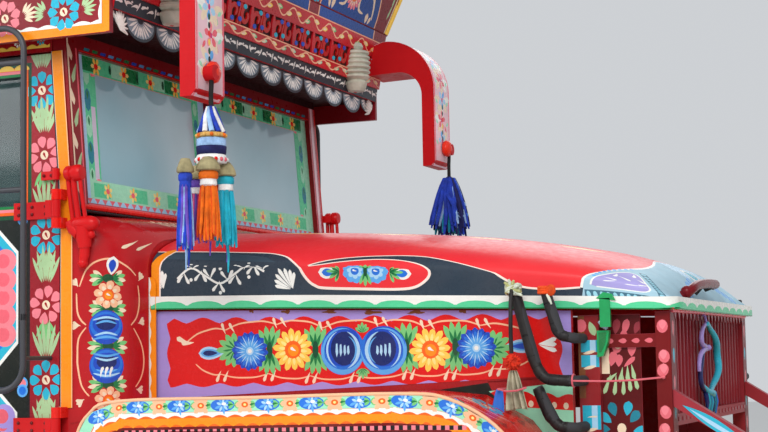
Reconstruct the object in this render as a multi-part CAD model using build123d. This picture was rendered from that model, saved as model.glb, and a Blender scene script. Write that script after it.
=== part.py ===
from build123d import *
import math
import os

# A bonneted cargo truck with a hand-built cab, a flared board ("crown") over the cab and a
# high-sided open cargo body, all in sheet steel, timber and steel section.
# Units are millimetres. X runs forward, Y to the truck's left, Z up.
# All X figures below are measured from the foot of the windscreen; SHIFT_X moves the whole
# truck so that the origin is under the middle of its overall box, on the ground.

# ---------------------------------------------------------------- driving dimensions
FRONT_END = 2360.0          # front face of the bumper
REAR_END = -6040.0          # rear face of the rear bumper
SHIFT_X = -(FRONT_END + REAR_END) / 2.0
AXLE_F = 850.0              # front axle
AXLE_R = -3450.0            # rear axle
WHEEL_R = 510.0             # tyre outside radius
TYRE_W = 250.0
TRACK_F = 860.0             # front wheel centre from the middle
TWIN_IN, TWIN_OUT = 740.0, 1040.0
PIN_Y = 690.0               # kingpin from the middle
RAIL_Y0, RAIL_Y1 = 362.0, 432.0
RAIL_Z0, RAIL_Z1 = 760.0, 960.0
CAB_W = 960.0               # half width over the doors
CAB_BACK = -1420.0
CAB_Z0, CAB_ROOF = 1000.0, 2500.0
GLASS_Z0, GLASS_Z1 = 1906.0, 2411.0
GLASS_W = 890.0
BODY_W = 1200.0             # half width of the cargo body
BODY_FRONT, BODY_REAR = -1450.0, -5960.0
DECK_Z0, DECK_Z1 = 1160.0, 1200.0
SIDE_TOP = 3250.0
CHEEK_Y = 1080.0            # crown side panels, outer face
TASSEL_X, TASSEL_Y = 548.0, 1050.0
BUNDLE_X, BUNDLE_Y = 1406.0, 776.0
FINIAL_Y = 760.0
KNOB_Z = 2264.0
LOBE = 190.0                 # one lobe of the valance
CROWN_Z0 = 2420.0

os.makedirs("parts", exist_ok=True)
NODES = {}


def put(name, *shapes):
    NODES.setdefault(name, []).extend(shapes)


def bx(x0, x1, y0, y1, z0, z1):
    return Pos((x0 + x1) / 2, (y0 + y1) / 2, (z0 + z1) / 2) * Box(
        abs(x1 - x0), abs(y1 - y0), abs(z1 - z0)
    )


def both(shape):
    """The piece and its mirror image across the truck's middle plane."""
    return [shape, mirror(shape, about=Plane.XZ)]


def prism_xz(pts, y0, y1):
    face = make_face(Polyline(*[(x, min(y0, y1), z) for x, z in pts], close=True))
    return extrude(face, amount=abs(y1 - y0), dir=(0, 1, 0))


def prism_xy(pts, z0, z1):
    face = make_face(Polyline(*[(x, y, z0) for x, y in pts], close=True))
    return extrude(face, amount=z1 - z0, dir=(0, 0, 1))


def prism_yz(pts, x0, x1):
    face = make_face(Polyline(*[(x0, y, z) for y, z in pts], close=True))
    return extrude(face, amount=x1 - x0, dir=(1, 0, 0))


def rod(p0, p1, r):
    a, b = Vector(*p0), Vector(*p1)
    return extrude(Plane(origin=a, z_dir=(b - a)) * Circle(r), amount=(b - a).length)


def tube(pts, r, bend):
    path = FilletPolyline(*pts, radius=bend)
    d = Vector(*pts[1]) - Vector(*pts[0])
    return sweep(Plane(origin=pts[0], z_dir=d) * Circle(r), path=path)


def one(shapes):
    out = shapes[0]
    for s in shapes[1:]:
        out = out + s
    return out


# ---------------------------------------------------------------- wheels
def ring_y(profile, x, y, z):
    """Turns a closed (radius, y) profile about the line through x, z that runs along Y."""
    pts = [(x + r, y + t, z) for r, t in profile]
    face = make_face(Polyline(*pts, close=True))
    return revolve(face, axis=Axis((x, 0, z), (0, 1, 0)))


def tyre(x, y):
    w = TYRE_W / 2
    R = WHEEL_R
    prof = [(262, -w + 34), (300, -w + 8), (380, -w), (450, -w + 6), (R - 14, -w + 26), (R, -w + 52),
            (R, w - 52), (R - 14, w - 26), (450, w - 6), (380, w), (300, w - 8), (262, w - 34)]
    return ring_y(prof, x, y, WHEEL_R)


def rim(x, y, out, dish):
    """Pressed steel wheel: the barrel under the tyre with its disc; out is the outboard side's
    sign and dish the disc's distance from the tyre's middle."""
    w = TYRE_W / 2 - 28
    barrel = ring_y([(240, -w), (262, -w), (262, w), (240, w)], x, y, WHEEL_R)
    c = out * dish
    disc = ring_y([(70, c - 7), (150, c - 7), (242, c - out * 30 - 7), (242, c - out * 30 + 7), (150, c + 7), (70, c + 7)],
                  x, y, WHEEL_R)
    holes = [Pos(x + 195 * math.cos(a), y + c - out * 15, WHEEL_R + 195 * math.sin(a)) * Rot(90, 0, 0) * Cylinder(27, 90)
             for a in [math.radians(i * 45 + 22.5) for i in range(8)]]
    w_ = barrel + disc
    for h in holes:
        w_ = w_ - h
    return w_


for side, s in (("right", -1), ("left", 1)):
    put(f"front_tyre_{side}", tyre(AXLE_F, s * TRACK_F))
    # drum and hub turn with the wheel, and the nose of the hub shows through the disc
    drum = ring_y([(70, -70), (205, -70), (205, 0), (120, 22), (70, 22)], AXLE_F, s * TRACK_F, WHEEL_R)
    hub = ring_y([(34, -60), (70, -60), (70, 62), (52, 96), (0, 96), (0, 84), (34, 84)], AXLE_F, s * TRACK_F, WHEEL_R)
    if s < 0:
        drum = ring_y([(70, 70), (205, 70), (205, 0), (120, -22), (70, -22)], AXLE_F, s * TRACK_F, WHEEL_R)
        hub = ring_y([(34, 60), (70, 60), (70, -62), (52, -96), (0, -96), (0, -84), (34, -84)], AXLE_F, s * TRACK_F, WHEEL_R)
    put(f"front_wheel_{side}", rim(AXLE_F, s * TRACK_F, s, 30) + drum + hub)
    put(f"rear_tyres_{side}", tyre(AXLE_R, s * TWIN_IN), tyre(AXLE_R, s * TWIN_OUT))
    rims = rim(AXLE_R, s * TWIN_IN, s, 90) + rim(AXLE_R, s * TWIN_OUT, s, -90)
    # rear hub: drum inboard, barrel through both discs, cap outboard
    y0 = s * 560
    prof = [(72, 0), (205, 0), (205, s * 150), (130, s * 180), (70, s * 180), (70, s * 440), (60, s * 470), (0, s * 470), (0, s * 450), (72 - 14, s * 440), (58, s * 180), (72, s * 150)]
    put(f"rear_wheels_{side}", rims + ring_y(prof, AXLE_R, y0, WHEEL_R))

# ---------------------------------------------------------------- axles, steering
PIN_Z = WHEEL_R
beam = one([
    bx(AXLE_F - 45, AXLE_F + 45, -520, 520, 384, 470),
    prism_yz([(-PIN_Y + 40, 540), (-PIN_Y + 40, 478), (-520, 430), (-520, 470)], AXLE_F - 38, AXLE_F + 38),
    prism_yz([(PIN_Y - 40, 478), (PIN_Y - 40, 540), (520, 470), (520, 430)], AXLE_F - 38, AXLE_F + 38),
    Pos(AXLE_F, -PIN_Y, PIN_Z) * Cylinder(44, 90),
    Pos(AXLE_F, PIN_Y, PIN_Z) * Cylinder(44, 90),
])
put("front_axle", beam)
ARM_X, ARM_Y = AXLE_F - 250, PIN_Y
for side, s in (("right", -1), ("left", 1)):
    y = s * PIN_Y
    top = Pos(AXLE_F, y, PIN_Z + 45 + 3 + 13) * Cylinder(46, 26)
    low = Pos(AXLE_F, y, PIN_Z - 45 - 3 - 13) * Cylinder(46, 26)
    web = bx(AXLE_F - 42, AXLE_F + 42, s * (PIN_Y + 48), s * (PIN_Y + 74), PIN_Z - 74, PIN_Z + 74)
    t1 = bx(AXLE_F - 40, AXLE_F + 40, s * (PIN_Y + 10), s * (PIN_Y + 74), PIN_Z + 48, PIN_Z + 74)
    t2 = bx(AXLE_F - 40, AXLE_F + 40, s * (PIN_Y + 10), s * (PIN_Y + 74), PIN_Z - 74, PIN_Z - 48)
    spindle = Pos(AXLE_F, s * (PIN_Y + 74 + 70), PIN_Z) * Rot(90, 0, 0) * Cylinder(33.95, 140)
    arm = prism_xy([(AXLE_F - 10, s * (PIN_Y + 34)), (AXLE_F - 10, s * (PIN_Y - 34)), (ARM_X - 30, s * (ARM_Y - 24)),
                    (ARM_X - 30, s * (ARM_Y + 24))], PIN_Z - 74, PIN_Z - 48)
    pin = Pos(ARM_X, s * ARM_Y, PIN_Z - 74 - 24) * Cylinder(14, 48)
    put(f"steering_knuckle_{side}", top + low + web + t1 + t2 + spindle + arm + pin)
# track rod, hung under the steering arms; its left end hangs clear on the left arm's pin
ROD_Z = PIN_Z - 74 - 30
tie = rod((ARM_X, -ARM_Y + 30, ROD_Z), (ARM_X, ARM_Y - 30, ROD_Z), 15)
for s in (-1, 1):
    eye = Pos(ARM_X, s * ARM_Y, ROD_Z) * (Cylinder(32, 30) - Cylinder(14.05 if s < 0 else 17, 40))
    tie = tie + eye
put("track_rod", tie)

axle = one([
    Pos(AXLE_R, 0, WHEEL_R) * Rot(90, 0, 0) * Cylinder(70, 1204),
    Pos(AXLE_R, 0, WHEEL_R) * Sphere(190),
    rod((AXLE_R + 120, 0, WHEEL_R), (AXLE_R + 270, 0, WHEEL_R + 10), 80),
])
for s in (-1, 1):
    axle = axle + Pos(AXLE_R, s * 795, WHEEL_R) * Rot(90, 0, 0) * Cylinder(57.95, 390)
put("rear_axle", axle)


def leaf_arc(cx, z_mid, half, rise, thick, y0, y1):
    """One leaf pack as a shallow arc, low in the middle."""
    R = (half * half + rise * rise) / (2 * rise)
    top = ThreePointArc((cx - half, y0, z_mid + thick + rise), (cx, y0, z_mid + thick), (cx + half, y0, z_mid + thick + rise))
    low = ThreePointArc((cx - half, y0, z_mid + rise + thick * 0.55), (cx, y0, z_mid), (cx + half, y0, z_mid + rise + thick * 0.55))
    e1 = Line((cx - half, y0, z_mid + thick + rise), (cx - half, y0, z_mid + rise + thick * 0.55))
    e2 = Line((cx + half, y0, z_mid + thick + rise), (cx + half, y0, z_mid + rise + thick * 0.55))
    return extrude(make_face(Wire([top, e2, low, e1])), amount=y1 - y0, dir=(0, 1, 0))


# springs with their hangers, which reach the rails
fs = leaf_arc(AXLE_F, 470, 600, 150, 62, 364, 434)
fs = fs + bx(AXLE_F - 600, AXLE_F - 560, 370, 428, 660, RAIL_Z0) + bx(AXLE_F + 560, AXLE_F + 600, 370, 428, 660, RAIL_Z0)
put("leaf_springs", *both(fs))
rs = leaf_arc(AXLE_R, 580, 700, 110, 76, 436, 506)
rs = rs + bx(AXLE_R - 700, AXLE_R - 640, RAIL_Y1, 500, 720, 900) + bx(AXLE_R + 640, AXLE_R + 700, RAIL_Y1, 500, 720, 900)
put("leaf_springs", *both(rs))

# ---------------------------------------------------------------- chassis
rail = bx(REAR_END + 90, 2240, RAIL_Y0, RAIL_Y1, RAIL_Z0, RAIL_Z1) - bx(
    REAR_END + 60, 2260, RAIL_Y0 - 1, RAIL_Y1 - 9, RAIL_Z0 + 9, RAIL_Z1 - 9)
cross_rows = ((2200, 780), (1500, 880), (-620, 880), (-1500, 780), (-2400, 780), (-3150, 840), (-3800, 780), (-4800, 780), (-5900, 780))
# x of each cross member, z of its lower face; each is one solid between the rails' webs
cross_members = [bx(x - 40, x + 40, -RAIL_Y1 + 9, RAIL_Y1 - 9, z0, RAIL_Z1 - 9) for x, z0 in cross_rows]
for x in (-1300, -300):
    rail = rail + bx(x - 60, x + 60, RAIL_Y0, RAIL_Y1, RAIL_Z1, CAB_Z0)
put("chassis_rails", *both(rail))
put("engine_and_gearbox", bx(330, 1260, -270, 270, 690, 1430) + bx(-420, 330, -150, 150, 690, 960))
put("propeller_shaft", rod((-427, 0, 800), (AXLE_R + 276, 0, WHEEL_R + 12), 42))
silencer = one([
    rod((150, 285, 700), (-1210, 285, 645), 26),
    rod((-1200, 285, 640), (-2000, 285, 640), 88),
    tube([(-1990, 285, 640), (-2400, 285, 640), (-2400, 1100, 640)], 26, 120),
])
put("exhaust", silencer)
# fuel drum on the right, on two straps from the rail
tank = Pos(-2250, -790, 700) * Rot(0, 90, 0) * Cylinder(240, 1100)
for x in (-2620, -1880):
    tank = tank + bx(x - 30, x + 30, -790, -RAIL_Y1, 880, 950)
put("fuel_tank", tank)
box = bx(-2560, -1640, 560, 1090, 760, 1075) - bx(-2540, -1660, 580, 1072, 780, 1057)
for x in (-2450, -1750):
    box = box + bx(x - 30, x + 30, RAIL_Y1, 560, 900, 950)
put("tool_box", box)

# ---------------------------------------------------------------- bumpers and nose guard
bump = bx(2240, FRONT_END, -1060, 1060, 720, 960) - bx(2230, FRONT_END - 14, -1046, 1046, 734, 946)
bump = bump + bx(2240, FRONT_END - 10, -RAIL_Y1 - 4, -RAIL_Y0 + 4, 734, 946) + bx(2240, FRONT_END - 10, RAIL_Y0 - 4, RAIL_Y1 + 4, 734, 946)
bump = bump - Pos(FRONT_END - 55, 0, 840) * Cylinder(17, 400)
put("bumpers", bump)
# the apron lies on the rails, and its front edge stops just short of the channel
put("bumpers", bx(1520, 2238, -700, 700, 960, 980))
rb = bx(REAR_END, REAR_END + 80, -1120, 1120, 600, 740) + one(
    [bx(REAR_END + 10, REAR_END + 70, s * 362, s * 432, 740, 960) for s in (-1, 1)])
rb = rb + one([bx(REAR_END + 60, REAR_END + 90, s * 362, s * 432, 780, 950) for s in (-1, 1)])
jaw = one([bx(REAR_END, REAR_END + 88, -60, 60, z, z + 22) for z in (800, 866)])
jaw = jaw + bx(REAR_END + 66, REAR_END + 104, -60, 60, 780, 940)
jaw = jaw - Pos(REAR_END + 32, 0, 840) * Cylinder(16, 200)
put("bumpers", rb)
cross_members[-1] = cross_members[-1] + jaw
put("chassis_crossmembers", *cross_members)

GRILLE_X = 1807.0
guard = []
for s in (-1, 1):
    g = one([
        bx(GRILLE_X, GRILLE_X + 45, s * 560, s * 625, 980, 1505),
        bx(1570, 1635, s * 585, s * 625, 980, 1500),
        bx(1635, GRILLE_X, s * 590, s * 618, 1400, 1440),
        bx(1635, GRILLE_X, s * 590, s * 618, 980, 1010),
        prism_xz([(GRILLE_X + 44, 1275), (GRILLE_X + 44, 1225), (2290, 960), (2330, 960), (2330, 975)], s * 580, s * 620),
    ])
    guard.append(g)
cross = bx(GRILLE_X, GRILLE_X + 45, -560, 560, 1165, 1200)
nose = guard[0] + guard[1] + cross
for s in (-1, 1):
    nose = nose + prism_xz([(1634, 1008), (GRILLE_X - 50, 1008), (GRILLE_X - 50, 1402), (1634, 1402)], s * 600, s * 606)
    nose = nose + prism_xz([(1634, 1436), (GRILLE_X - 50, 1436), (GRILLE_X - 50, 1500), (1634, 1500)], s * 600, s * 606)
put("nose_guard", nose)
slats = bx(GRILLE_X + 6, GRILLE_X + 14, -559, 559, 1201, 1505)
n = 22
for i in range(n):
    y = -559 + 1118 * (i + 0.5) / n
    slats = slats + bx(GRILLE_X + 14, GRILLE_X + 32, y - 11, y + 11, 1201, 1505)
put("grille", slats)

# hook arms beside the bonnet, each a stub off the guard's rear post that turns up
arms = []
for s in (-1, 1):
    a1 = tube([(1585, s * 625, 1430), (1585, s * 725, 1430), (1545, s * 730, 1440), (1500, s * 730, 1582)], 15, [22, 28])
    a2 = tube([(1585, s * 625, 1303), (1585, s * 725, 1303), (1480, s * 730, 1312), (1400, s * 730, 1596)], 16, [22, 45])
    a3 = tube([(1585, s * 625, 1165), (1585, s * 725, 1165), (1530, s * 730, 1170), (1470, s * 730, 1285)], 16, [22, 28])
    arms += [a1, a2, a3]
# a fourth on the left, off the guard's front post
arms.append(tube([(1830, 625, 1290), (1830, 722, 1290), (1814, 730, 1298), (1808, 730, 1575)], 15, [18, 18]))
put("hook_arms", *arms)

# ---------------------------------------------------------------- bonnet (opens) and engine bay sides
# sections: x, half width, z of the lower edge, top of the upright side, shoulder z, crown z
BONNET_HINGE_X, BONNET_HINGE_Z = 150.0, 1852.0
BONNET = [
    (156, 752, 1556, 1690, 1790, 1842),
    (620, 722, 1548, 1676, 1776, 1824),
    (1130, 690, 1534, 1650, 1745, 1788),
    (1560, 662, 1522, 1612, 1690, 1725),
    (1800, 645, 1514, 1570, 1612, 1640),
]


def bonnet_section(x, w, zb, z1, z2, zt, t=0.0):
    w -= t
    z1, z2, zt = z1 - t * 0.4, z2 - t, zt - t
    r = 150 - t * 0.4
    rt = math.sqrt(0.5)
    a = Line((x, -w, zb), (x, -w, z1))
    b = ThreePointArc((x, -w, z1), (x, -w + r * (1 - rt), z1 + (z2 - z1) * rt), (x, -w + r, z2))
    c = ThreePointArc((x, -w + r, z2), (x, 0, zt), (x, w - r, z2))
    d = ThreePointArc((x, w - r, z2), (x, w - r * (1 - rt), z1 + (z2 - z1) * rt), (x, w, z1))
    e = Line((x, w, z1), (x, w, zb))
    f = Line((x, w, zb), (x, -w, zb))
    return make_face(Wire([a, b, c, d, e, f]))


outer = loft([bonnet_section(*row) for row in BONNET], ruled=True)
inner = loft([bonnet_section(r[0] + (-40 if i == 0 else (-30 if i == len(BONNET) - 1 else 0)), r[1], r[2] - 30, r[3], r[4], r[5], 14)
              for i, r in enumerate(BONNET)], ruled=True)
# the nose falls to the grille: a lip that closes the front of the lid
nose = loft([bonnet_section(1800, 645, 1514, 1570, 1612, 1640), bonnet_section(1862, 640, 1512, 1540, 1548, 1556)], ruled=True)
lid = (outer - inner) + nose
for y in (-300, 300):
    lid = lid + Pos(BONNET_HINGE_X, y, BONNET_HINGE_Z) * Rot(90, 0, 0) * Cylinder(9, 40) + bx(152, 200, y - 18, y + 18, 1815, 1853)
put("bonnet", lid)
# engine bay sides under the lid, fixed, with the wheelhouse sheet ahead of them
for s in (-1, 1):
    pts = [(160, s * 735), (160, s * 741), (1560, s * 645), (1560, s * 639)]
    if s > 0:
        pts = pts[::-1]
    wall = prism_xy(pts, 1230, 1600)
    cut = prism_xz([(100, 1300), (1620, 1300), (1620, 1100), (100, 1100)], -900, 900)
    top = prism_xz([(100, 1550), (620, 1542), (1130, 1528), (1620, 1514), (1620, 1700), (100, 1700)], -900, 900)
    low = prism_xz([(100, 1244), (190, 1264), (1136, 1280), (1290, 1300), (1620, 1318), (1620, 1100), (100, 1100)], -900, 900)
    put("engine_bay_sides", wall - top - low)
    wall2 = prism_xy(pts, 940, 1400)
    keep = prism_xz([(1290, 1304), (1560, 1318), (1560, 985), (1440, 985)], -900, 900)
    put("engine_bay_sides", wall2 & keep)

# ---------------------------------------------------------------- front wings
def wing_profile(grow):
    """Outline of a wing in side view as a closed list: over the top and back under the arch."""
    top = [(20, 1010), (30, 1140), (80, 1222), (190, 1262), (1136, 1278), (1290, 1262), (1430, 1186), (1530, 1060), (1560, 985)]
    arch = [(1470, 985), (1400, 1090), (1300, 1150), (1180, 1168), (380, 1168), (270, 1150), (190, 1100), (150, 1010)]
    return top, arch


top, arch = wing_profile(0)
wings = []
for side, s in (("right", -1), ("left", 1)):
    outer_face = prism_xz(top + arch, s * 1006, s * 1012)
    skin_pts = top + [(x, z) for x, z in [(1554, 984), (1524, 1056), (1425, 1181), (1287, 1256), (1136, 1272), (192, 1256), (84, 1217), (36, 1138), (26, 1010)]]
    skin = prism_xz(skin_pts, s * 650, s * 1010)
    flank = prism_xy([(0, s * 1013), (2000, s * 1013), (2000, s * 640), (1560, s * 646), (160, s * 746), (0, s * 757)] if s < 0 else
                     [(0, s * 757), (160, s * 746), (1560, s * 646), (2000, s * 640), (2000, s * 1013), (0, s * 1013)], 900, 1400)
    wings.append((outer_face + skin) & flank)

RAKE = 38.0 / (GLASS_Z1 - GLASS_Z0)
def raked(x, z):
    return x - (z - GLASS_Z0) * RAKE


def raked_block(x0, x1, y0, y1, z0, z1):
    return prism_xz([(raked(x0, z0), z0), (raked(x1, z0), z0), (raked(x1, z1), z1), (raked(x0, z1), z1)], y0, y1)


# ---------------------------------------------------------------- cab
# x, half width, side's top, shoulder, crown: the sides turn in to meet the bonnet in plan, and
# the shoulders round over as the bonnet's do
SCUTTLE = [
    (-30, 960, 1796, 1868, 1886),
    (35, 944, 1782, 1858, 1878),
    (90, 905, 1758, 1840, 1866),
    (130, 852, 1728, 1816, 1854),
    (150, 766, 1694, 1792, 1844),
]


def scuttle_solid(t=0.0, z0=CAB_Z0, x_shift=0.0):
    return loft([bonnet_section(x + x_shift, w, z0, z1, z2, zt, t) for x, w, z1, z2, zt in SCUTTLE], ruled=True)


# the outer skin with the firewall at its front, open to the cab behind
scuttle = scuttle_solid() - loft(
    [bonnet_section(x - (6 if x < 0 else 30 if x > 140 else 0), w, CAB_Z0 - 10, z1, z2, zt, 30) for x, w, z1, z2, zt in SCUTTLE], ruled=True)
for s in (-1, 1):
    scuttle = scuttle + bx(-56, -30, s * 915, s * 960, CAB_Z0, 1880)
scuttle = scuttle - raked_block(-50, 0, -960, 960, 1880, 2470)
for y in (-300, 300):
    scuttle = scuttle + bx(100, 146, y - 40, y - 22, 1820, 1856) + bx(100, 146, y + 22, y + 40, 1820, 1856)
    scuttle = scuttle + Pos(BONNET_HINGE_X, y - 31, BONNET_HINGE_Z) * Rot(90, 0, 0) * Cylinder(9, 18) + Pos(BONNET_HINGE_X, y + 31, BONNET_HINGE_Z) * Rot(90, 0, 0) * Cylinder(9, 18)
# the engine bay opens forward: the front wall is the firewall, kept in the middle
put("scuttle", scuttle)
for w_ in wings:
    put("front_wings", w_ - scuttle_solid(z0=CAB_Z0 - 50))
put("cab_floor", one([bx(CAB_BACK + 22, -994, -936, 936, CAB_Z0, CAB_Z0 + 28), bx(-994, -56, -905, 905, CAB_Z0, CAB_Z0 + 28), bx(-56, 120, -735, 735, CAB_Z0, CAB_Z0 + 28)]))

# windscreen frame: two uprights, middle post, header and sill, raked
frame = raked_block(-50, 0, -960, 960, 1880, 2470)
for s in (-1, 1):
    frame = frame - raked_block(-70, 20, s * 20, s * GLASS_W, GLASS_Z0, GLASS_Z1)
put("windscreen_frame", frame)
for s in (-1, 1):
    put("cab_glass", raked_block(-24, -18, s * 20, s * GLASS_W, GLASS_Z0, GLASS_Z1))

# side walls behind the doors, back panel, roof
DOOR_X0, DOOR_X1 = -985.0, -62.0
quarters = []
for s in (-1, 1):
    # the rear quarter, and the rail over the door
    q = bx(CAB_BACK + 22, -990, s * 936, s * 960, CAB_Z0, 2470) + bx(-995, raked(-50, 2470), s * 915, s * 960, 2405, 2470)
    q = q - raked_block(-50, 0, -960, 960, 1880, 2470)
    quarters.append(q)
put("cab_sides", *quarters)
back = bx(CAB_BACK, CAB_BACK + 22, -960, 960, CAB_Z0, 2470) - bx(CAB_BACK - 10, CAB_BACK + 40, -380, 380, 1850, 2250)
put("cab_back_panel", back)
put("cab_glass", bx(CAB_BACK + 8, CAB_BACK + 14, -380, 380, 1850, 2250))
roof = prism_xz([(CAB_BACK, 2470), (raked(0, 2470), 2470), (raked(0, 2500), CAB_ROOF), (CAB_BACK, CAB_ROOF)], -960, 960)
put("cab_roof", roof + bx(BODY_FRONT, 186, -CHEEK_Y + 18, CHEEK_Y - 18, CAB_ROOF, CAB_ROOF + 24))

# cab mounts carry the floor on the rails
# front feet of the scuttle on outriggers
for s in (-1, 1):
    put("cab_steps", bx(-900, -150, s * 760, s * 1010, 600, 625) + bx(-880, -850, s * 780, s * 800, 625, CAB_Z0) + bx(-200, -170, s * 780, s * 800, 625, CAB_Z0))

# ---------------------------------------------------------------- doors
DZ0, DZ1 = 1012.0, 2398.0
WX0, WX1, WZ0, WZ1 = -860.0, -215.0, 1900.0, 2330.0
HINGE_X, HINGE_Y = -50.0, 1000.0
GUARD_X, GUARD_Y = -96.0, 1112.0
for side, s in (("right", -1), ("left", 1)):
    panel = bx(DOOR_X0, DOOR_X1, s * 915, s * 960, DZ0, DZ1) - bx(WX0, WX1, s * 900, s * 970, WZ0, WZ1)
    panel = panel - prism_xz([(raked(-58, 1860), 1860), (raked(-58, 2410), 2410), (0, 2410), (0, 1860)], s * 900, s * 970)
    # the inside of the door is a recess in a skin 4 mm thick, below the window
    panel = panel - bx(DOOR_X0 + 60, DOOR_X1 - 60, s * 919, s * 956, DZ0 + 50, WZ0 - 70)
    hinge = []
    for z in (1180, 1880):
        leaf = bx(-230, HINGE_X - 14, s * 960, s * 972, z - 28, z + 28)
        knuckle = Pos(HINGE_X, s * HINGE_Y, z) * Cylinder(15, 56)
        neck = bx(HINGE_X - 34, HINGE_X - 8, s * 962, s * (HINGE_Y + 8), z - 28, z + 28)
        hinge.append(leaf + knuckle + neck)
    # tube guard outside the window, on stand-offs from the door
    gy = s * GUARD_Y
    g0, g1 = GUARD_X, -880.0
    loop = tube([(g0, gy, 1520), (g0, gy, 2460), (g1, gy, 2460), (g1, gy, 1300), (g0, gy, 1300), (g0, gy, 1540)], 10, [80, 80, 80, 80])
    bars = [rod((g0, gy, z), (g1, gy, z), 9) for z in (2345, 1935)]
    offs = [rod((x, s * 958, z), (x, gy, z), 7) for x, z in ((g0, 1400), (g1, 1400), (g1, 1935), (g1, 2345))]
    put(f"door_{side}", one([panel] + hinge + [loop] + bars + offs))
    put(f"door_glass_{side}", bx(WX0, WX1, s * 935, s * 940, WZ0, WZ1))
    # fixed hinge halves on the scuttle and the windscreen frame, above and below each door knuckle
    fixed = []
    for z in (1180, 1880):
        for dz in (-46, 46):
            eye = Pos(HINGE_X, s * HINGE_Y, z + dz) * Cylinder(15, 34)
            eye = eye + bx(HINGE_X - 6, HINGE_X + 20, s * 960, s * HINGE_Y, z + dz - 17, z + dz + 17)
            fixed.append(eye)
    put("door_hinge_brackets", *fixed)

# ---------------------------------------------------------------- inside the cab
put("seat_base", bx(CAB_BACK + 22, -720, -840, 840, CAB_Z0 + 28, 1290))
put("seat_cushions", bx(-1255, -715, -830, 830, 1290.3, 1420))
put("seat_cushions", prism_xz([(-1390, 1290.3), (-1262, 1290.3), (-1330, 1960), (-1390, 1960)], -830, 830))
dash = bx(-56, -34, -915, 915, 1600, 1800) + prism_xz([(-50, 1560), (-50, 1840), (-235, 1800), (-250, 1620), (-200, 1560)], -905, 905)

SW = Vector(-470, -400, 1725)
tilt = 32
wheel = Plane(origin=SW, z_dir=(-math.cos(math.radians(tilt)), 0, math.sin(math.radians(tilt))))
ax = wheel.z_dir
sw = wheel * Torus(205, 14)
sw = sw + wheel * Cylinder(38, 34)
for a in (90, 210, 330):
    d = wheel.from_local_coords(Vector(200 * math.cos(math.radians(a)), 200 * math.sin(math.radians(a)), 0))
    sw = sw + rod(tuple(SW), tuple(d), 9)
put("steering_wheel", sw)
c0 = SW - ax * 17.2
c1 = SW - ax * 640
put("dashboard", dash + rod(tuple(c0), tuple(SW - ax * 330), 22))

# ---------------------------------------------------------------- crown over the cab
cheek = [(BODY_FRONT, CROWN_Z0), (206, CROWN_Z0), (206, 2760), (262, 2790), (530, 3430), (500, 3430), (420, SIDE_TOP - 60), (BODY_FRONT, SIDE_TOP)]
for side, s in (("right", -1), ("left", 1)):
    put("crown_cheeks", prism_xz(cheek, s * (CHEEK_Y - 18), s * CHEEK_Y))
gallery = prism_xz([(186, 2500), (206, 2500), (262, 2790), (232, 2790), (186, 2560)], -CHEEK_Y + 18, CHEEK_Y - 18)
# the board: two leaning facets cut to a flared outline with a raised middle
def board_facet(pts):
    return prism_xz(pts, -1400, 1400)


b1 = board_facet([(262, 2792), (536, 3452), (506, 3452), (232, 2792)])
b2 = board_facet([(536, 3452), (940, 3990), (916, 4010), (506, 3452)])
outline = prism_yz([(-1060, 2780), (-1062, 2792), (-1150, 3450), (-1250, 3800), (-900, 3850), (-560, 3880), (-300, 3960), (0, 3995),
                    (300, 3960), (560, 3880), (900, 3850), (1250, 3800), (1150, 3450), (1062, 2792), (1060, 2780)], 0, 1400)
board = (b1 + b2) & outline
board = board - one([prism_xz(cheek, s * (CHEEK_Y - 20), s * (CHEEK_Y + 2)) for s in (-1, 1)])
# tube rails that brace the board's edges, from the cheeks
rails = []
for s in (-1, 1):
    rails.append(tube([(-60, s * 1099, 3140), (430, s * 1143, 3240), (760, s * 1260, 3690), (640, s * 1270, 3760)], 18, [120, 50]))
put("crown_arms", *rails)
# stays behind the board
st = []
for y in (-600, 0, 600):
    st.append(prism_xz([(-100, 2524), (-60, 2524), (528, 3440), (494, 3440)], y - 20, y + 20))
put("crown_board", one([board] + st))
# two hooked arms at the gallery's ends
ARM_IN, ARM_OUT = 930.0, 1115.0       # the arms' two faces, from the middle
for s in (-1, 1):
    y = s * ARM_IN
    arcs = Wire([
        Line((208, y, 2704), (300, y, 2733)),
        ThreePointArc((300, y, 2733), (440, y, 2692), (530, y, 2500)),
        Line((530, y, 2500), (530, y, 2205)),
        Line((530, y, 2205), (512, y, 2187)),
        Line((512, y, 2187), (476, y, 2187)),
        Line((476, y, 2187), (476, y, 2490)),
        ThreePointArc((476, y, 2490), (448, y, 2562), (372, y, 2596)),
        Line((372, y, 2596), (208, y, 2592)),
        Line((208, y, 2592), (208, y, 2704)),
    ])
    arm = extrude(make_face(arcs), amount=ARM_OUT - ARM_IN, dir=(0, s, 0))
    arm = arm - prism_xz([(186, 2500), (206, 2500), (262, 2790), (232, 2790), (186, 2560)], -1400, 1400) - prism_xz(cheek, s * (CHEEK_Y - 19), s * (CHEEK_Y + 1))
    arm = arm - bx(-500, 186, -1400, 1400, 2500, 2900)
    arm = max(arm.solids(), key=lambda q: q.volume)
    # the knob that a tassel's rope hangs from
    arm = arm + Pos(545.5, s * TASSEL_Y, KNOB_Z) * Rot(0, 90, 0) * Cylinder(24, 41)
    put("crown_arms", arm)
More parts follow.
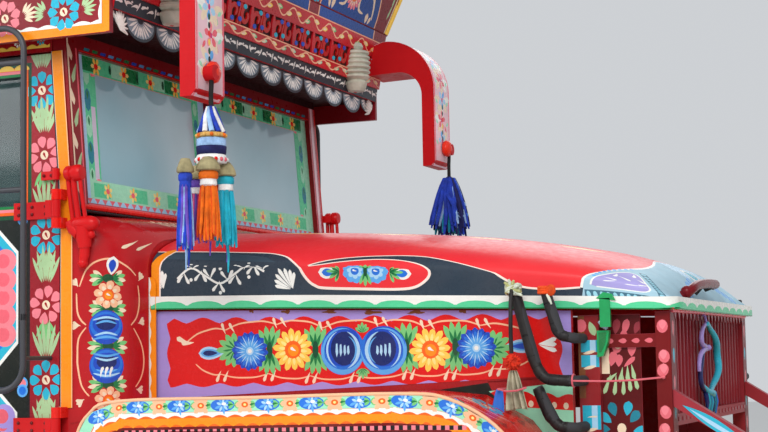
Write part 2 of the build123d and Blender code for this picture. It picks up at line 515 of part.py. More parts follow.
# scalloped valance under the gallery
VAL_W = CHEEK_Y - 20
joints = [-974.0 + LOBE * i for i in range(11)]
stops = [-VAL_W] + joints + [VAL_W]
edges = [Line((188, VAL_W, 2494), (188, VAL_W, 2500)), Line((188, VAL_W, 2500), (188, -VAL_W, 2500)),
         Line((188, -VAL_W, 2500), (188, -VAL_W, 2494))]
for y0, y1 in zip(stops, stops[1:]):
    deep = 70.0 * min(1.0, (y1 - y0) / LOBE)
    edges.append(ThreePointArc((188, y0, 2494), (188, (y0 + y1) / 2, 2494 - deep), (188, y1, 2494)))
put("valance", extrude(make_face(Wire(edges)), amount=6, dir=(1, 0, 0)))
# turned finials hang at the gallery's ends
for s in (-1, 1):
    prof = [(0, 0), (22, 0), (30, -18), (24, -30), (40, -44), (46, -70), (46, -110), (40, -134), (26, -150), (34, -164), (28, -186), (12, -204), (0, -208)]
    pts = [(246 + r, s * FINIAL_Y, 2700 + z) for r, z in prof]
    gallery = gallery + revolve(make_face(Polyline(*pts, close=True)), axis=Axis((246, s * FINIAL_Y, 0), (0, 0, 1)))
put("crown_gallery", gallery)

# ---------------------------------------------------------------- cargo body
sills = []
for s in (-1, 1):
    sills.append(bx(BODY_REAR + 60, BODY_FRONT - 40, s * RAIL_Y0, s * RAIL_Y1, RAIL_Z1, 1080))
bearers = [bx(x - 40, x + 40, -BODY_W + 52, BODY_W - 52, 1080, DECK_Z0) for x in
           [BODY_FRONT - 80 - i * (BODY_FRONT - BODY_REAR - 190) / 9 for i in range(10)]]
put("body_sills", *sills)
put("body_bearers", *bearers)
put("deck", bx(BODY_REAR + 60, BODY_FRONT - 30, -BODY_W + 52, BODY_W - 52, DECK_Z0, DECK_Z1))
for side, s in (("right", -1), ("left", 1)):
    wall = bx(BODY_REAR + 60, BODY_FRONT - 30, s * (BODY_W - 30), s * (BODY_W - 6), 1080, SIDE_TOP - 60)
    n = 7
    for i in range(n + 1):
        x = BODY_FRONT - 30 - 30 - i * ((BODY_FRONT - 30 - BODY_REAR - 60 - 60) / n)
        wall = wall + bx(x - 30, x + 30, s * (BODY_W - 52), s * (BODY_W - 6), 1080, SIDE_TOP - 60)
    wall = wall + bx(BODY_REAR + 60, BODY_FRONT - 30, s * (BODY_W - 52), s * BODY_W, SIDE_TOP - 60, SIDE_TOP)
    wall = wall + bx(BODY_REAR + 60, BODY_FRONT - 30, s * (BODY_W - 52), s * BODY_W, 1080, 1140) + bx(BODY_REAR + 60, BODY_FRONT - 30, s * (BODY_W - 52), s * BODY_W, 2060, 2110)
    put("body_sides", wall)
put("body_front_wall", bx(BODY_FRONT - 30, BODY_FRONT, -BODY_W, BODY_W, 1080, 3330))
rear = []
for s in (-1, 1):
    rear.append(bx(BODY_REAR, BODY_REAR + 60, s * (BODY_W - 80), s * BODY_W, 1080, 3330))
rear.append(bx(BODY_REAR, BODY_REAR + 60, -BODY_W + 80, BODY_W - 80, 1080, DECK_Z0))
rear.append(bx(BODY_REAR, BODY_REAR + 60, -BODY_W + 80, BODY_W - 80, 2960, 3330))
GATE_Z = 1180.0
gate = bx(BODY_REAR + 2, BODY_REAR + 42, -BODY_W + 88, BODY_W - 88, GATE_Z + 24, 2140)
gate = gate + one([Pos(BODY_REAR - 12, y, GATE_Z) * Rot(90, 0, 0) * Cylinder(14, 120) + bx(BODY_REAR - 16, BODY_REAR + 3, y - 55, y + 55, GATE_Z, GATE_Z + 90) for y in (-800, 0, 800)])
put("tailgate", gate)
gh = []
for y in (-800, 0, 800):
    for dy in (-86, 86):
        gh.append(Pos(BODY_REAR - 12, y + dy, GATE_Z) * Rot(90, 0, 0) * Cylinder(14, 44) + bx(BODY_REAR - 12, BODY_REAR, y + dy - 22, y + dy + 22, GATE_Z - 60, GATE_Z - 0))
put("rear_frame", one(rear + gh))
# rear lamps, mudflaps, head lamps
for s in (-1, 1):
    put("lamps", bx(REAR_END + 30, REAR_END + 80 , s * 700, s * 860, 740, 800))
    put("mudflaps", bx(-4110, -4100, s * 610, s * 1170, 420, 1080))
    put("lamps", Pos(FRONT_END - 62, s * 830, 1075) * Rot(0, 90, 0) * Cylinder(92, 90) + bx(FRONT_END - 82, FRONT_END - 42, s * 830 - 20, s * 830 + 20, 960, 1000))

# ---------------------------------------------------------------- tassels that hang from the arms (soft, plain here)
for side, s in (("right", -1), ("left", 1)):
    prof = [(0, 0), (8, -2), (8, -90), (20, -102), (44, -164), (50, -250), (96, -270), (112, -306), (112, -480), (90, -520), (0, -524)]
    pts = [(TASSEL_X + r, s * TASSEL_Y, KNOB_Z - 24 + z) for r, z in prof]
    put("tassels", revolve(make_face(Polyline(*pts, close=True)), axis=Axis((TASSEL_X, s * TASSEL_Y, 0), (0, 0, 1))))

# a cloth bundle that hangs by its strap from the middle hook on the right
prof = [(0, 1576), (7, 1574), (7, 1388), (22, 1378), (25, 1358), (18, 1338), (38, 1296), (44, 1250), (34, 1228), (0, 1226)]
pts = [(BUNDLE_X + r, -BUNDLE_Y, z) for r, z in prof]
put("tassels", revolve(make_face(Polyline(*pts, close=True)), axis=Axis((BUNDLE_X, -BUNDLE_Y, 0), (0, 0, 1))))

# ---------------------------------------------------------------- write
for old in os.listdir("parts"):
    if old.endswith(".step"):
        os.remove(os.path.join("parts", old))
shift = Pos(SHIFT_X, 0, 0)
for name, shapes in NODES.items():
    solids = []
    for sh in shapes:
        solids += list((shift * sh).solids())
    part = solids[0] if len(solids) == 1 else Compound(children=solids)
    export_step(part, f"parts/{name}.step")
print(len(NODES), "nodes, shift", SHIFT_X)
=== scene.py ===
import bpy
import bmesh
import math
import random
import numpy as np
from mathutils import Vector, Matrix
from mathutils.geometry import delaunay_2d_cdt, tessellate_polygon


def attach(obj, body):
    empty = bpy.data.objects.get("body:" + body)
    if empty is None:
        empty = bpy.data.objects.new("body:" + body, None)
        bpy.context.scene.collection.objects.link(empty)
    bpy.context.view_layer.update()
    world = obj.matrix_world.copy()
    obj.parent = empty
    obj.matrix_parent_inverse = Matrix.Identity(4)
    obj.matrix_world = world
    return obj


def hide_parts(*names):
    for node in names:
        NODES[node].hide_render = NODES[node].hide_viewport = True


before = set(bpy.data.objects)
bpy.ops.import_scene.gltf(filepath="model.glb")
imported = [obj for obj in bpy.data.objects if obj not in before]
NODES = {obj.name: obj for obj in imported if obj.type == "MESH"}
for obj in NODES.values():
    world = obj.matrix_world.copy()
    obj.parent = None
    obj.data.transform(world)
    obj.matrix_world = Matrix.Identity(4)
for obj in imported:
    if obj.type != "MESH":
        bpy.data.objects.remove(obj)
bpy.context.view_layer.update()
SHIFT = 1.84
scene = bpy.context.scene
scene.view_settings.view_transform = "Standard"
scene.view_settings.look = "None"
rnd = random.Random(7)


def P(x, y, z):
    """Millimetres measured from the windscreen's foot, to metres in the model's frame."""
    return Vector((x / 1000.0 + SHIFT, y / 1000.0, z / 1000.0))


# ================================================================ camera
CAM = P(2902.5, -5346.7, 1380.0)
YAW, PITCH, ROLL, FPX = 1.9647201522, 0.0886, -0.0177, 1602.8369
fwd = Vector((math.cos(YAW) * math.cos(PITCH), math.sin(YAW) * math.cos(PITCH), math.sin(PITCH)))
rgt = fwd.cross(Vector((0, 0, 1))).normalized()
upv = rgt.cross(fwd)
r2 = rgt * math.cos(ROLL) + upv * math.sin(ROLL)
u2 = upv * math.cos(ROLL) - rgt * math.sin(ROLL)
cam_data = bpy.data.cameras.new("camera")
cam_data.sensor_fit = "HORIZONTAL"
cam_data.sensor_width = 36.0
cam_data.lens = FPX / 768.0 * 36.0
cam_data.clip_end = 200.0
cam = bpy.data.objects.new("camera", cam_data)
scene.collection.objects.link(cam)
m = Matrix.Identity(4)
for i in range(3):
    m[i][0], m[i][1], m[i][2], m[i][3] = r2[i], u2[i], -fwd[i], CAM[i]
cam.matrix_world = m
scene.camera = cam

# ================================================================ light and stage
world = bpy.data.worlds.new("world")
scene.world = world
world.use_nodes = True
bg = world.node_tree.nodes["Background"]
bg.inputs["Color"].default_value = (0.93, 0.96, 1.0, 1)
bg.inputs["Strength"].default_value = 0.66


def area(name, loc, target, size, power, colour=(1, 1, 1)):
    light = bpy.data.lights.new(name, "AREA")
    light.energy = power
    light.size = size
    light.color = colour
    ob = bpy.data.objects.new(name, light)
    ob.location = loc
    ob.rotation_euler = (Vector(target) - Vector(loc)).to_track_quat("-Z", "Y").to_euler()
    scene.collection.objects.link(ob)
    return ob


area("key", (5.6, -9.8, 8.3), (2.0, 0, 1.6), 6.0, 900, (1.0, 0.98, 0.95))
area("fill", (-6.0, -7.0, 6.0), (-1.0, 0, 1.5), 6.0, 420, (0.95, 0.97, 1.0))
area("back", (0.0, 9.0, 7.5), (0.0, 0, 1.5), 7.0, 230, (0.97, 0.98, 1.0))


# ================================================================ materials
def new_mat(name):
    mat = bpy.data.materials.new(name)
    mat.use_nodes = True
    nt = mat.node_tree
    nt.nodes.clear()
    out = nt.nodes.new("ShaderNodeOutputMaterial")
    b = nt.nodes.new("ShaderNodeBsdfPrincipled")
    nt.links.new(b.outputs[0], out.inputs[0])
    return mat, nt, b


def node(nt, kind, **kw):
    n = nt.nodes.new(kind)
    for k, v in kw.items():
        if k.startswith("in_"):
            n.inputs[k[3:].replace("_", " ")].default_value = v
        else:
            setattr(n, k, v)
    return n


def mixc(nt, fac, a, b, mode="MIX"):
    n = nt.nodes.new("ShaderNodeMix")
    n.data_type = "RGBA"
    n.blend_type = mode
    for sock, val in ((n.inputs[0], fac), (n.inputs[6], a), (n.inputs[7], b)):
        if hasattr(val, "links"):
            nt.links.new(val, sock)
        elif isinstance(val, (int, float)):
            sock.default_value = val
        else:
            sock.default_value = (*val, 1)
    return n.outputs[2]


def ramp(nt, src, lo, hi, a=0.0, b=1.0):
    n = nt.nodes.new("ShaderNodeMapRange")
    n.inputs["From Min"].default_value = lo
    n.inputs["From Max"].default_value = hi
    n.inputs["To Min"].default_value = a
    n.inputs["To Max"].default_value = b
    nt.links.new(src, n.inputs["Value"])
    return n.outputs[0]


def noise(nt, co, scale, detail=4, rough=0.55, dist=0.0, stretch=None):
    if stretch:
        mp = node(nt, "ShaderNodeMapping")
        mp.inputs["Scale"].default_value = stretch
        nt.links.new(co, mp.inputs[0])
        co = mp.outputs[0]
    n = node(nt, "ShaderNodeTexNoise")
    n.inputs["Scale"].default_value = scale
    n.inputs["Detail"].default_value = detail
    n.inputs["Roughness"].default_value = rough
    n.inputs["Distortion"].default_value = dist
    nt.links.new(co, n.inputs["Vector"])
    return n.outputs["Fac"]


PAINTS = {}


def srgb(r, g, b):
    def f(c):
        c /= 255.0
        return c / 12.92 if c <= 0.04045 else ((c + 0.055) / 1.055) ** 2.4
    return (f(r), f(g), f(b))


def paint(name, rgb, rough=0.26, metal=0.0, fade=0.12, dust=0.35, coat=0.3, chips=0.0, brush=0.05, bump=0.04):
    """Brushed enamel: colour that drifts, faint brush lines, road dust low down, chips to primer."""
    if name in PAINTS:
        return PAINTS[name]
    rgb = srgb(*rgb)
    mat, nt, b = new_mat("paint_" + name)
    co = node(nt, "ShaderNodeTexCoord").outputs["Object"]
    big = noise(nt, co, 1.7, 5)
    fine = noise(nt, co, 46.0, 3, 0.6, 0.3)
    lines = noise(nt, co, 9.0, 3, 0.6, 0.0, (1.0, 1.0, 14.0))
    dark = tuple(c * (1 - fade * 1.5) for c in rgb)
    lite = tuple(min(1.0, c * (1 + fade) + fade * 0.02) for c in rgb)
    col = mixc(nt, ramp(nt, big, 0.3, 0.7), dark, lite)
    col = mixc(nt, ramp(nt, lines, 0.35, 0.75, 0.0, brush * 3.2), col, tuple(c * 0.72 for c in rgb))
    if chips > 0:
        ch = noise(nt, co, 14.0, 8, 0.72)
        col = mixc(nt, ramp(nt, ch, 0.70 - chips * 0.06, 0.715 - chips * 0.06), col, (0.075, 0.05, 0.04))
    if dust > 0:
        sep = node(nt, "ShaderNodeSeparateXYZ")
        nt.links.new(co, sep.inputs[0])
        low = ramp(nt, sep.outputs[2], 0.35, 1.9, 1.0, 0.12)
        dn = ramp(nt, noise(nt, co, 5.0, 6, 0.62), 0.32, 0.72, 0.0, 1.0)
        mul = node(nt, "ShaderNodeMath", operation="MULTIPLY")
        nt.links.new(low, mul.inputs[0])
        nt.links.new(dn, mul.inputs[1])
        mul2 = node(nt, "ShaderNodeMath", operation="MULTIPLY")
        nt.links.new(mul.outputs[0], mul2.inputs[0])
        mul2.inputs[1].default_value = dust * 0.55
        col = mixc(nt, mul2.outputs[0], col, (0.30, 0.235, 0.18))
    nt.links.new(col, b.inputs["Base Color"])
    rg = ramp(nt, fine, 0.25, 0.75, rough * 0.8, rough * 1.35)
    nt.links.new(rg, b.inputs["Roughness"])
    b.inputs["Metallic"].default_value = metal
    b.inputs["Coat Weight"].default_value = coat * 0.35
    b.inputs["Coat Roughness"].default_value = 0.2
    b.inputs["Specular IOR Level"].default_value = 0.16
    bm = node(nt, "ShaderNodeBump")
    bm.inputs["Strength"].default_value = bump
    bm.inputs["Distance"].default_value = 0.002
    nt.links.new(noise(nt, co, 30.0, 4, 0.5, 0.0, (1.0, 1.0, 5.0)), bm.inputs["Height"])
    nt.links.new(bm.outputs[0], b.inputs["Normal"])
    PAINTS[name] = mat
    return mat


for nm, rgb in {
    "red": (216, 10, 12), "scarlet": (230, 22, 12), "crimson": (160, 10, 22), "maroon": (110, 7, 17), "deepred": (86, 5, 13),
    "white": (236, 236, 230), "cream": (238, 216, 186), "peach": (246, 186, 146), "pink": (238, 128, 140), "rosepink": (232, 96, 112),
    "orange": (248, 142, 20), "deeporange": (240, 98, 22), "yellow": (250, 204, 84), "paleyellow": (250, 226, 136), "gold": (214, 160, 60),
    "slate": (44, 58, 72), "black": (18, 20, 24), "navy": (20, 38, 104), "blue": (24, 74, 190), "midblue": (34, 112, 214),
    "skyblue": (92, 168, 232), "paleblue": (168, 212, 240), "turquoise": (34, 176, 204), "teal": (20, 128, 150),
    "mint": (84, 206, 150), "palemint": (156, 226, 190), "green": (22, 122, 66), "darkgreen": (14, 78, 48), "leaf": (116, 196, 120), "sage": (168, 200, 150),
    "lavender": (164, 144, 214), "violet": (112, 80, 176), "rustbrown": (128, 72, 34), "silverblue": (176, 200, 216), "magenta": (196, 36, 110),
}.items():
    paint(nm, rgb)


def plain_mat(name, rgb, rough=0.5, metal=0.0, var=0.2, scale=8.0, bump=0.15, dust=0.3, rust=0.0, coat=0.0):
    if name in PAINTS:
        return PAINTS[name]
    rgb = srgb(*rgb)
    mat, nt, b = new_mat(name)
    co = node(nt, "ShaderNodeTexCoord").outputs["Object"]
    big = noise(nt, co, scale, 6, 0.6)
    col = mixc(nt, ramp(nt, big, 0.3, 0.7), tuple(c * (1 - var) for c in rgb), tuple(min(1, c * (1 + var)) for c in rgb))
    if rust > 0:
        rn = noise(nt, co, 6.0, 9, 0.7)
        col = mixc(nt, ramp(nt, rn, 0.62 - rust * 0.25, 0.70 - rust * 0.2), col, srgb(120, 62, 30))
    if dust > 0:
        sep = node(nt, "ShaderNodeSeparateXYZ")
        nt.links.new(co, sep.inputs[0])
        low = ramp(nt, sep.outputs[2], 0.3, 1.7, 1.0, 0.25)
        dn = ramp(nt, noise(nt, co, 4.0, 6, 0.65), 0.3, 0.7, 0.0, dust * 0.75)
        mul = node(nt, "ShaderNodeMath", operation="MULTIPLY")
        nt.links.new(low, mul.inputs[0])
        nt.links.new(dn, mul.inputs[1])
        col = mixc(nt, mul.outputs[0], col, (0.30, 0.24, 0.18))
    nt.links.new(col, b.inputs["Base Color"])
    nt.links.new(ramp(nt, noise(nt, co, scale * 5, 4), 0.3, 0.7, rough * 0.8, min(1.0, rough * 1.25)), b.inputs["Roughness"])
    b.inputs["Metallic"].default_value = metal
    b.inputs["Coat Weight"].default_value = coat * 0.4
    b.inputs["Specular IOR Level"].default_value = 0.2
    bm = node(nt, "ShaderNodeBump")
    bm.inputs["Strength"].default_value = bump
    bm.inputs["Distance"].default_value = 0.003
    nt.links.new(noise(nt, co, scale * 7, 6, 0.6), bm.inputs["Height"])
    nt.links.new(bm.outputs[0], b.inputs["Normal"])
    PAINTS[name] = mat
    return mat


# ================================================================ flat art, in millimetres on a surface
def arc_pts(cx, cy, rx, ry, a0, a1, n, rot=0.0):
    c, s = math.cos(rot), math.sin(rot)
    out = []
    for i in range(n + 1):
        a = a0 + (a1 - a0) * i / n
        x, y = rx * math.cos(a), ry * math.sin(a)
        out.append((cx + x * c - y * s, cy + x * s + y * c))
    return out


def smooth(pts, n=6, closed=False):
    """Catmull-Rom through the points."""
    out = []
    k = len(pts)
    rng = range(k if closed else k - 1)
    for i in rng:
        if closed:
            p0, p1, p2, p3 = pts[(i - 1) % k], pts[i], pts[(i + 1) % k], pts[(i + 2) % k]
        else:
            p0, p1, p2, p3 = pts[max(i - 1, 0)], pts[i], pts[i + 1], pts[min(i + 2, k - 1)]
        for j in range(n):
            t = j / n
            out.append(tuple(
                0.5 * (2 * p1[q] + (p2[q] - p0[q]) * t + (2 * p0[q] - 5 * p1[q] + 4 * p2[q] - p3[q]) * t * t
                       + (3 * p1[q] - p0[q] - 3 * p2[q] + p3[q]) * t ** 3) for q in range(len(p1))))
    if not closed:
        out.append(tuple(pts[-1]))
    return out


def crosses(pts):
    """Whether a closed loop of points crosses itself."""
    a = np.array([(p[0], p[1]) for p in pts], float)
    n = len(a)
    if n < 4:
        return False
    b = np.roll(a, -1, 0)
    d = b - a

    def side(p, q, r):
        return (q[:, None, 0] - p[:, None, 0]) * (r[None, :, 1] - p[:, None, 1]) - (q[:, None, 1] - p[:, None, 1]) * (r[None, :, 0] - p[:, None, 0])
    s1, s2 = side(a, b, a), side(a, b, b)
    hit = (s1 * s2 < -1e-9) & ((s1 * s2).T < -1e-9)
    i = np.arange(n)
    hit[i, i] = False
    hit[i, (i + 1) % n] = False
    hit[(i + 1) % n, i] = False
    return bool(hit.any())


class Canvas:
    """A painted panel: flat art cut into one skin of triangles and laid on a surface."""
    detail = 1.0

    def __init__(self, name, outline, base, place, grid=None, curved=False, lift=0.4, thick=0.8, holes=()):
        self.name, self.outline, self.base, self.place = name, outline, base, place
        self.grid, self.curved, self.lift, self.thick = grid, curved, lift, thick
        self.holes = holes
        self.art = []

    def add(self, pts, col):
        if len(pts) > 2:
            self.art.append((pts, col))

    # ---- motifs
    def disk(self, cx, cy, rx, col, ry=None, rot=0.0, n=20):
        n = max(8, round(n * self.detail))
        self.add(arc_pts(cx, cy, rx, ry or rx, 0, 2 * math.pi, n, rot)[:-1], col)

    def stroke(self, pts, w, col, taper=(0.25, 0.25), n=5):
        """A brush stroke along the points, w wide in the middle."""
        n = max(2, round(n * self.detail))
        line = smooth(pts, n) if len(pts) > 2 else [pts[0], ((pts[0][0] + pts[1][0]) / 2, (pts[0][1] + pts[1][1]) / 2), pts[1]]
        k = len(line)
        left, right = [], []
        for i, (x, y) in enumerate(line):
            a, b = line[max(i - 1, 0)], line[min(i + 1, k - 1)]
            dx, dy = b[0] - a[0], b[1] - a[1]
            L = math.hypot(dx, dy) or 1.0
            t = i / (k - 1)
            ww = w * 0.5 * (taper[0] + (taper[1] - taper[0]) * t + (1 - max(taper)) * math.sin(math.pi * t) ** 0.6)
            ww = max(ww, w * 0.06)
            left.append((x - dy / L * ww, y + dx / L * ww))
            right.append((x + dy / L * ww, y - dx / L * ww))
        self.add(left + right[::-1], col)

    def comma(self, x, y, ang, length, w, col, curl=0.5, n=9):
        """A drop-headed brush comma: head at x, y, tail running off along ang and curling."""
        n = max(5, round(n * self.detail))
        pts = []
        a = ang
        px, py = x, y
        for i in range(n + 1):
            pts.append((px, py))
            a += curl / n
            px += math.cos(a) * length / n
            py += math.sin(a) * length / n
        left, right = [], []
        for i, (qx, qy) in enumerate(pts):
            t = i / n
            aa = ang + curl * t
            ww = w * 0.5 * (math.sqrt(max(0.0, 1 - (1 - min(t / 0.22, 1.0)) ** 2)) * (1 - max(0.0, (t - 0.22) / 0.78)) ** 0.8)
            ww = max(ww, 0.04 * w)
            left.append((qx - math.sin(aa) * ww, qy + math.cos(aa) * ww))
            right.append((qx + math.sin(aa) * ww, qy - math.cos(aa) * ww))
        self.add(left + right[::-1], col)

    def petal(self, cx, cy, ang, r0, r1, w, col, blunt=0.62, n=7):
        """A petal from r0 to r1 along ang, widest near its outer end."""
        n = max(4, round(n * self.detail))
        c, s = math.cos(ang), math.sin(ang)
        side = []
        for i in range(n + 1):
            t = i / n
            side.append((r0 + (r1 - r0) * t, 0.5 * w * math.sin(math.pi * t ** (0.55 + blunt)) ** (0.8 - 0.3 * blunt) if 0 < t < 1 else 0.0))
        loop = [(x, y) for x, y in side] + [(x, -y) for x, y in side[-2:0:-1]]
        self.add([(cx + x * c - y * s, cy + x * s + y * c) for x, y in loop], col)

    def daisy(self, cx, cy, r, n, cols, centre, squash=1.0, rot=0.0, inner=0.42):
        """Petals round a centre; cols is (outer petal, streak in the petal)."""
        for i in range(n):
            a = rot + 2 * math.pi * (i + 0.5) / n
            rr = r * (1 + 0.04 * math.sin(i * 2.3))
            self.petal(cx, cy, a, r * 0.26, rr, 2 * math.pi * r * 0.74 / n * 0.92, cols[0], 1.0, 8)
        for i in range(n):
            a = rot + 2 * math.pi * (i + 0.5) / n
            self.petal(cx, cy, a, r * 0.3, r * 0.74, 2 * math.pi * r * 0.46 / n * 0.7, cols[1], 0.5, 5)
        self.disk(cx, cy, r * inner, centre[0], n=16)
        self.disk(cx + r * 0.02, cy - r * 0.03, r * inner * 0.66, centre[1], n=14)
        self.comma(cx - r * 0.12, cy + r * 0.10, -0.7, r * 0.32, r * 0.15, centre[2], 0.3, 6)

    def blue_daisy(self, cx, cy, r, n=16, rot=0.0):
        self.disk(cx, cy, r * 0.9, "navy", n=24)
        for i in range(n):
            a = rot + 2 * math.pi * (i + 0.5) / n
            self.petal(cx, cy, a, r * 0.25, r * (1.0 + 0.03 * math.sin(i * 3.1)), 2 * math.pi * r * 0.80 / n * 1.0, "blue", 1.0, 8)
        for i in range(n):
            a = rot + 2 * math.pi * (i + 0.5) / n
            self.petal(cx, cy, a, r * 0.12, r * 0.84, 2 * math.pi * r * 0.6 / n * 0.8, "midblue", 0.8, 6)
        for i in range(n):
            a = rot + 2 * math.pi * i / n
            self.petal(cx, cy, a, r * 0.10, r * (0.74 + 0.16 * (i % 2)), r * 0.06, "paleblue", 0.3, 4)
        for i in range(n):
            a = rot + 2 * math.pi * (i + 0.5) / n
            self.petal(cx, cy, a, r * 0.05, r * 0.60, r * 0.11, "skyblue", 0.6, 5)
        self.disk(cx, cy, r * 0.2, "paleblue", n=14)
        self.disk(cx, cy, r * 0.11, "white", n=12)

    def rose(self, cx, cy, rx, ry, flip=1, rot=0.0):
        """A round blue bloom with pale crescents and a few light strokes in the cup."""
        c, s = math.cos(rot), math.sin(rot)

        def L(x, y):
            x, y = x * flip * rx, y * ry
            return (cx + x * c - y * s, cy + x * s + y * c)

        def poly(pts, col):
            self.add([L(x, y) for x, y in pts], col)

        def crescent(r_out, a0, a1, w, col, ox=0.0, oy=0.0, k=12):
            out, inn = [], []
            for i in range(k + 1):
                t = i / k
                a = a0 + (a1 - a0) * t
                ww = w * math.sin(math.pi * t) ** 0.8
                out.append((ox + r_out * math.cos(a), oy + r_out * math.sin(a)))
                inn.append((ox + (r_out - ww) * math.cos(a), oy + (r_out - ww) * math.sin(a)))
            poly(out + inn[-2:0:-1], col)
        poly(arc_pts(0, 0, 1, 1, 0, 2 * math.pi, 28)[:-1], "blue")
        crescent(0.995, -3.9, 0.9, 0.34, "midblue", 0, 0, 18)
        crescent(0.985, -3.5, 0.1, 0.20, "skyblue", 0, 0, 16)
        crescent(0.93, 1.15, 4.2, 0.10, "skyblue", 0, 0, 14)
        poly(arc_pts(0.06, 0.08, 0.60, 0.70, 0, 2 * math.pi, 22)[:-1], "navy")
        crescent(0.78, -1.35, 1.35, 0.15, "paleblue", 0.02, 0.02, 14)
        crescent(0.60, -1.1, 1.2, 0.09, "skyblue", 0.06, 0.02, 12)
        crescent(0.80, 1.9, 4.3, 0.09, "paleblue", 0.05, 0.04, 12)
        for k_, x in enumerate((-0.30, -0.12, 0.06, 0.22)):
            poly([(x, 0.28 - 0.04 * k_), (x + 0.07, 0.30 - 0.03 * k_), (x + 0.10, -0.08), (x + 0.03, -0.28 + 0.03 * k_), (x - 0.02, -0.05)], "paleblue")

    def leaf_fan(self, cx, cy, ang, r, n=5, spread=1.7, cols=("leaf", "green"), w=None):
        w = w or r * 0.27
        for i in range(n):
            a = ang + spread * (i / (n - 1) - 0.5)
            rr = r * (1.0 - 0.18 * abs(i / (n - 1) - 0.5) * 2)
            self.petal(cx, cy, a, 0, rr, w * 0.86, cols[0], 0.85, 7)
            self.petal(cx, cy, a + 0.05, 0, rr * 0.66, w * 0.32, cols[1], 0.3, 4)

    def leaf_bow(self, cx, cy, h, n=4, spread=1.0, base=("darkgreen", "green")):
        """Leaves that spring up and down from one tie, dark in the middle."""
        for sgn in (1, -1):
            for i in range(n):
                a = sgn * math.pi / 2 + spread * (i / (n - 1) - 0.5)
                self.petal(cx, cy, a, h * 0.04, h * (1.0 - 0.12 * abs(i / (n - 1) - 0.5)), h * 0.24, "leaf", 0.7, 6)
            for i in range(n - 1):
                a = sgn * math.pi / 2 + spread * 0.72 * (i / (n - 2) - 0.5)
                self.petal(cx, cy, a, 0, h * 0.66, h * 0.13, base[1], 0.3, 5)
        self.disk(cx, cy, h * 0.13, base[0], h * 0.34, n=12)

    def commas(self, x, y, ang, n, length, w, col, fan=0.35, gap=None):
        gap = gap or w * 1.25
        for i in range(n):
            a = ang + fan * (i - (n - 1) / 2)
            ox, oy = math.cos(ang + math.pi / 2) * gap * (i - (n - 1) / 2), math.sin(ang + math.pi / 2) * gap * (i - (n - 1) / 2)
            self.comma(x + ox, y + oy, a, length * (1 - 0.12 * abs(i - (n - 1) / 2)), w, col, 0.25)

    def drop(self, x, y, ang, length, w, cols=("paleblue", "skyblue", "navy")):
        self.petal(x, y, ang, 0, length, w, cols[0], 0.8, 10)
        self.petal(x, y, ang, length * 0.10, length * 0.93, w * 0.66, cols[1], 0.8, 8)
        self.petal(x, y, ang, length * 0.26, length * 0.84, w * 0.42, cols[2], 0.8, 8)

    def scallops(self, u0, u1, v, depth, n, col, up=-1, k=8, gap=0.0):
        """A row of half-round lobes hanging from (or standing on) the line v."""
        step = (u1 - u0) / n
        for i in range(n):
            a = u0 + i * step + gap
            b = u0 + (i + 1) * step - gap
            pts = [(a + (b - a) * (0.5 - 0.5 * math.cos(math.pi * j / k)), v + up * depth * math.sin(math.pi * j / k) ** 0.85) for j in range(k + 1)]
            self.add(pts, col)

    def wave_band(self, line, w0, amp, step, col, side=1, w_base=0.0):
        """A band along a line whose one edge is straight and whose other edge is scalloped."""
        pts = densify(line, step / 8)
        base, edge = [], []
        run = 0.0
        k = len(pts)
        for i, (x, y) in enumerate(pts):
            a, b = pts[max(i - 1, 0)], pts[min(i + 1, k - 1)]
            dx, dy = b[0] - a[0], b[1] - a[1]
            L = math.hypot(dx, dy) or 1.0
            if i:
                run += math.hypot(x - pts[i - 1][0], y - pts[i - 1][1])
            off = w0 + amp * abs(math.sin(math.pi * run / step))
            base.append((x - dy / L * side * w_base, y + dx / L * side * w_base))
            edge.append((x - dy / L * side * off, y + dx / L * side * off))
        self.add(base + edge[::-1], col)

    def band(self, line, w, col, side=0.0):
        """A constant-width band along a line; side shifts it to the left of the line."""
        k = len(line)
        l_, r_ = [], []
        for i, (x, y) in enumerate(line):
            a, b = line[max(i - 1, 0)], line[min(i + 1, k - 1)]
            dx, dy = b[0] - a[0], b[1] - a[1]
            L = math.hypot(dx, dy) or 1.0
            l_.append((x - dy / L * (side + w / 2), y + dx / L * (side + w / 2)))
            r_.append((x - dy / L * (side - w / 2), y + dx / L * (side - w / 2)))
        self.add(l_ + r_[::-1], col)

    def ring(self, cx, cy, rx, ry, w, col, n=28):
        n = max(12, round(n * self.detail))
        """A closed outline: two half rings so that each stays a simple polygon."""
        for a0 in (0, math.pi):
            o = arc_pts(cx, cy, rx, ry, a0, a0 + math.pi, n // 2)
            i = arc_pts(cx, cy, rx - w, ry - w, a0, a0 + math.pi, n // 2)
            self.add(o + i[::-1], col)

    def rect(self, x0, x1, y0, y1, col):
        self.add([(x0, y0), (x1, y0), (x1, y1), (x0, y1)], col)

    def frame_rect(self, x0, x1, y0, y1, w, col):
        self.rect(x0, x1, y0, y0 + w, col)
        self.rect(x0, x1, y1 - w, y1, col)
        self.rect(x0, x0 + w, y0 + w, y1 - w, col)
        self.rect(x1 - w, x1, y0 + w, y1 - w, col)

    def cusp_field(self, x0, x1, y0, y1, step, amp, col):
        """A field whose four edges are shallow bites that meet in outward points."""
        loop = []

        def edge(ax, ay, bx_, by, nx, ny):
            L = math.hypot(bx_ - ax, by - ay)
            n = max(1, round(L / step))
            for i in range(n):
                for j in range(8):
                    t = (i + j / 8) / n
                    d = amp * (abs(math.cos(math.pi * (j / 8)))) ** 1.6
                    loop.append((ax + (bx_ - ax) * t + nx * d, ay + (by - ay) * t + ny * d))
        edge(x0, y0, x1, y0, 0, -1)
        edge(x1, y0, x1, y1, 1, 0)
        edge(x1, y1, x0, y1, 0, 1)
        edge(x0, y1, x0, y0, -1, 0)
        self.add(loop, col)

